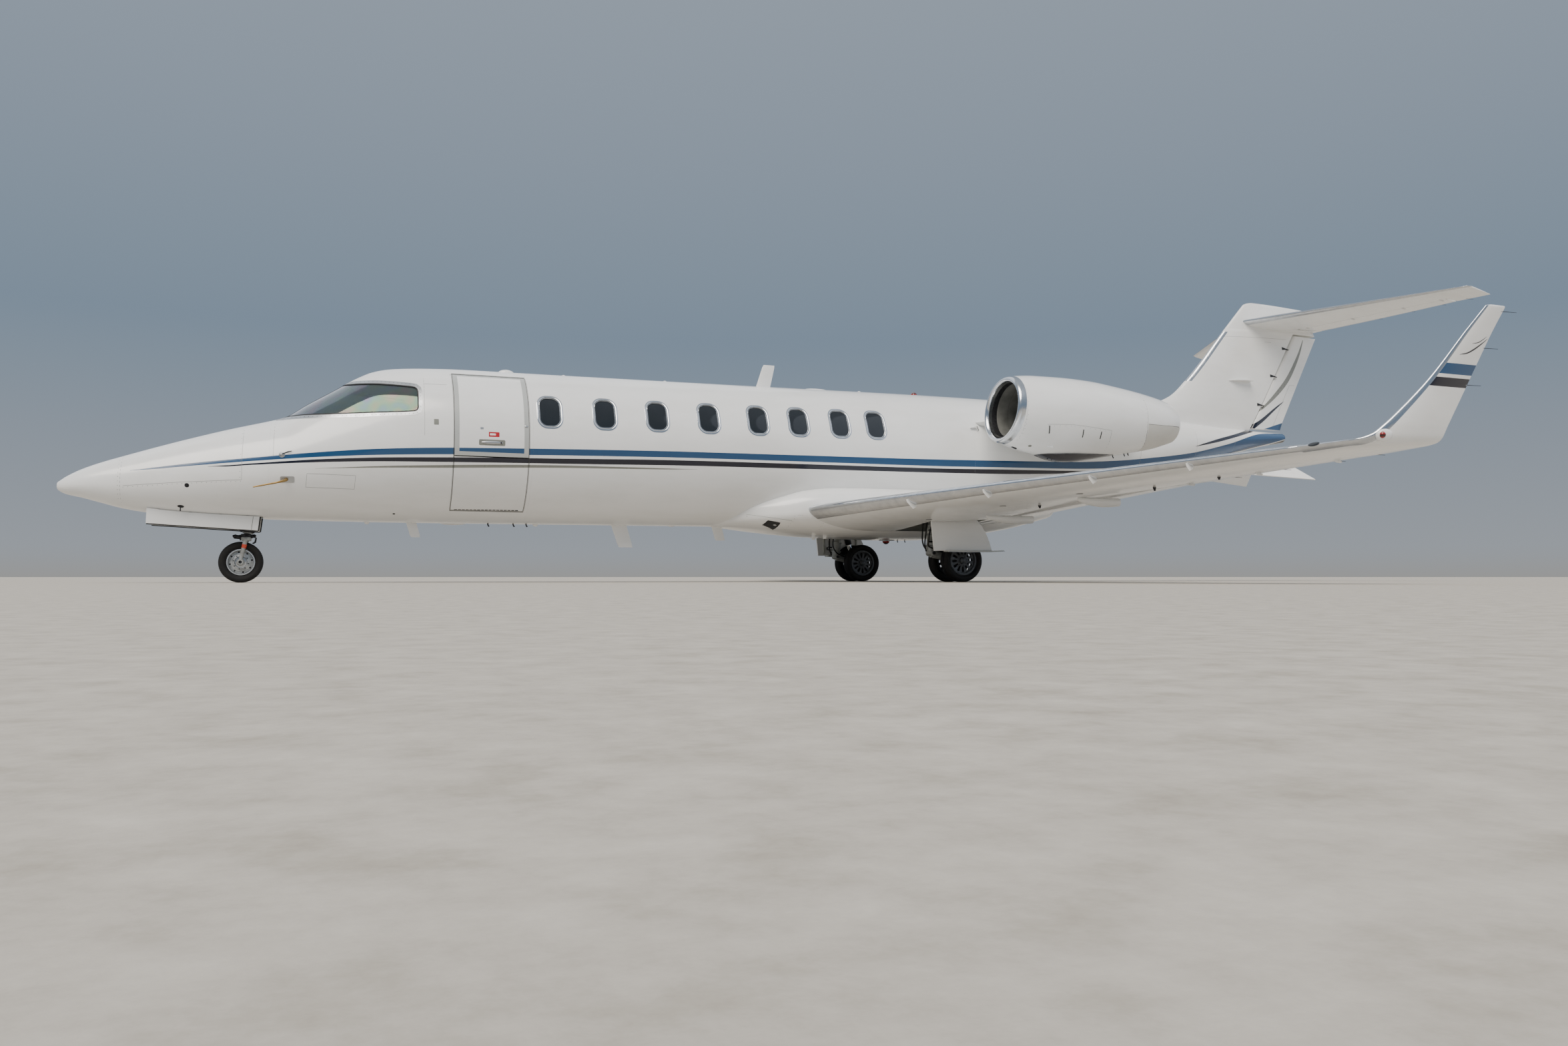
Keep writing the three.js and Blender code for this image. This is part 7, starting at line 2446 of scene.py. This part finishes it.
for t, half, rise in ((-50, 2, 1), (10, 22, 16), (44, 30, 26)):  # a scoop that opens aft
    rows.append([p + u * t + v * half - n * 3, p + u * t + v * half * 0.7 + n * rise,
                 p + u * t - v * half * 0.7 + n * rise, p + u * t - v * half - n * 3])
marks.add(loft(rows), 3)
dome(marks, sum(corner * 0.25 for corner in rows[-1]), u, 34, 20, 2, 1, along=(0, 0.5, 1.0))
for s, drop in ((11100, 22), (11160, 26), (12120, 24), (12300, 20), (12360, 20)):
    z = nacelleAt(s)[2]
    marks.add(tube([(s, 1430, z + 12), (s, 1430, z - drop * 0.6), (s + 12, 1430, z - drop - 8)], 7, 12), 4)
marks.add(slab([(10590, 1716), (10660, 1690), (10664, 1672), (10600, 1700)], "y", 1380, 1420, 3), 4)
bothSides("nacelleDetails", marks, [seamShade, darkSeam, navyPaint, whitePaint, darkMetal, stripeGrey],
          slot="dark_metal", smooth=30)


def nacelleLayer(name, start, end, outline, raised, finish):
    # a layer over part of the cowl: raised gives how far it stands out at a station and height
    stops = np.linspace(start, end, 36)
    outerRows = []
    for s in stops:
        ring = np.array(nacelleRing(s))
        centre = np.array([0, engine["side"], engineHeightAt(s)])
        away = ring - centre
        away[:, 0] = 0
        away /= np.linalg.norm(away, axis=1)[:, None]
        outerRows.append(ring + away * np.array([raised(s, z) for z in ring[:, 2]])[:, None])
    core = loft([nacelleRing(s, -3) for s in np.linspace(start - 20, end + 20, 37)])
    asPair(skinLayer(name, loft(outerRows), core, outline, 800, 2000, finish, 40), name, slot="white_paint")


waterline = [(10940, 1613), (11164, 1610), (11542, 1622), (12000, 1645), (12090, 1650)]
nacelleLayer("nacelleBellyBlister", 10945, 12085, waterline + [(12090, 1400), (10940, 1400)],
             lambda s, z: 1.2 + 44 * max(0, sin(pi * (s - 10945) / 1140)) ** 0.8
             * min(1, max(0, (1650 - z) / 55)) ** 0.7, navyPaint)
# the lower aft panel's light grey is partly the panel's own grey and partly painted shade of the nacelle's
# lower side
doorGreyAndShade = sprayedPaint("lightGreyEnamelHeatProof", "#cfcec9", "#b5b3ac", 0.3, 0.42, 0.6)
nacelleLayer("reverserLowerDoor", 12418, 13044, [(12424, 2027), (13060, 2035), (13060, 1500), (12500, 1500),
                                                 (12478, 1740), (12428, 1900)], lambda s, z: 1.0, doorGreyAndShade)
root = Shape()
p = mark(hullSkin, 10420, 2003, 1)[0]
root.add(slab([(10368, 2003), (10452, 2028), (10480, 1972), (10470, 1970), (10446, 2006)], "y", p[1] - 10,
              p[1] + 34, 2), 0)
root.add(slab([(10452, 2026), (10460, 2026), (10484, 1972), (10476, 1971)], "y", p[1] - 8, p[1] + 38, 1), 1)
bothSides("pylonRootFittings", root, [whitePaint, darkMetal], slot="white_paint", smooth=45)
print("nacelle details made")

# Light and floor

def sunLight(name, heading, height, strength, softness, colour="#ffffff"):
    # heading and height say where the light comes from, in degrees; heading 0 is the aircraft's left
    made = bpy.data.objects.new(name, bpy.data.lights.new(name, "SUN"))
    bpy.context.scene.collection.objects.link(made)
    made.data.energy, made.data.angle, made.data.color = strength, radians(softness), linear(colour)[:3]
    a, e = radians(heading), radians(height)
    back = Vector((sin(a) * cos(e), -cos(a) * cos(e), sin(e)))
    made.rotation_mode = "QUATERNION"
    made.rotation_quaternion = (-back).to_track_quat("-Z", "Y")


sunLight("keyLight", -38, 52, 3.3, 42, "#fff6ea")
sunLight("fillLight", 60, 30, 0.5, 60, "#eaf1ff")
sunLight("backLight", 190, 40, 0.5, 60)

world = bpy.data.worlds.new("studio")
bpy.context.scene.world = world
world.use_nodes = True
sky = world.node_tree
direction = addNode(sky, "ShaderNodeTexCoord").outputs["Generated"]
height = addNode(sky, "ShaderNodeSeparateXYZ", {0: direction}).outputs["Z"]
lifted = addNode(sky, "ShaderNodeMapRange", {"Value": height}, From_Min=-1.0, From_Max=1.0)
shades = ramp(sky, lifted.outputs["Result"], [(0.0, "#a8a39b"), (0.495, "#b9b6b0"), (0.51, "#b7bec6"),
                                              (0.6, "#93a7bd"), (1.0, "#dfe6ed")])
sky.links.new(shades, sky.nodes["Background"].inputs["Color"])
sky.nodes["Background"].inputs["Strength"].default_value = 0.7

floor = Shape()
edge = [(k - 20) * 15000.0 for k in range(41)]
count = len(edge)
floor.add(([(x + originStation, y, 0) for x in edge for y in edge],
           [(i * count + j, (i + 1) * count + j, (i + 1) * count + j + 1, i * count + j + 1)
            for i in range(count - 1) for j in range(count - 1)]))
floorPiece = floor.mesh("studioFloor", [paleConcrete], 0)
print("light and floor made")
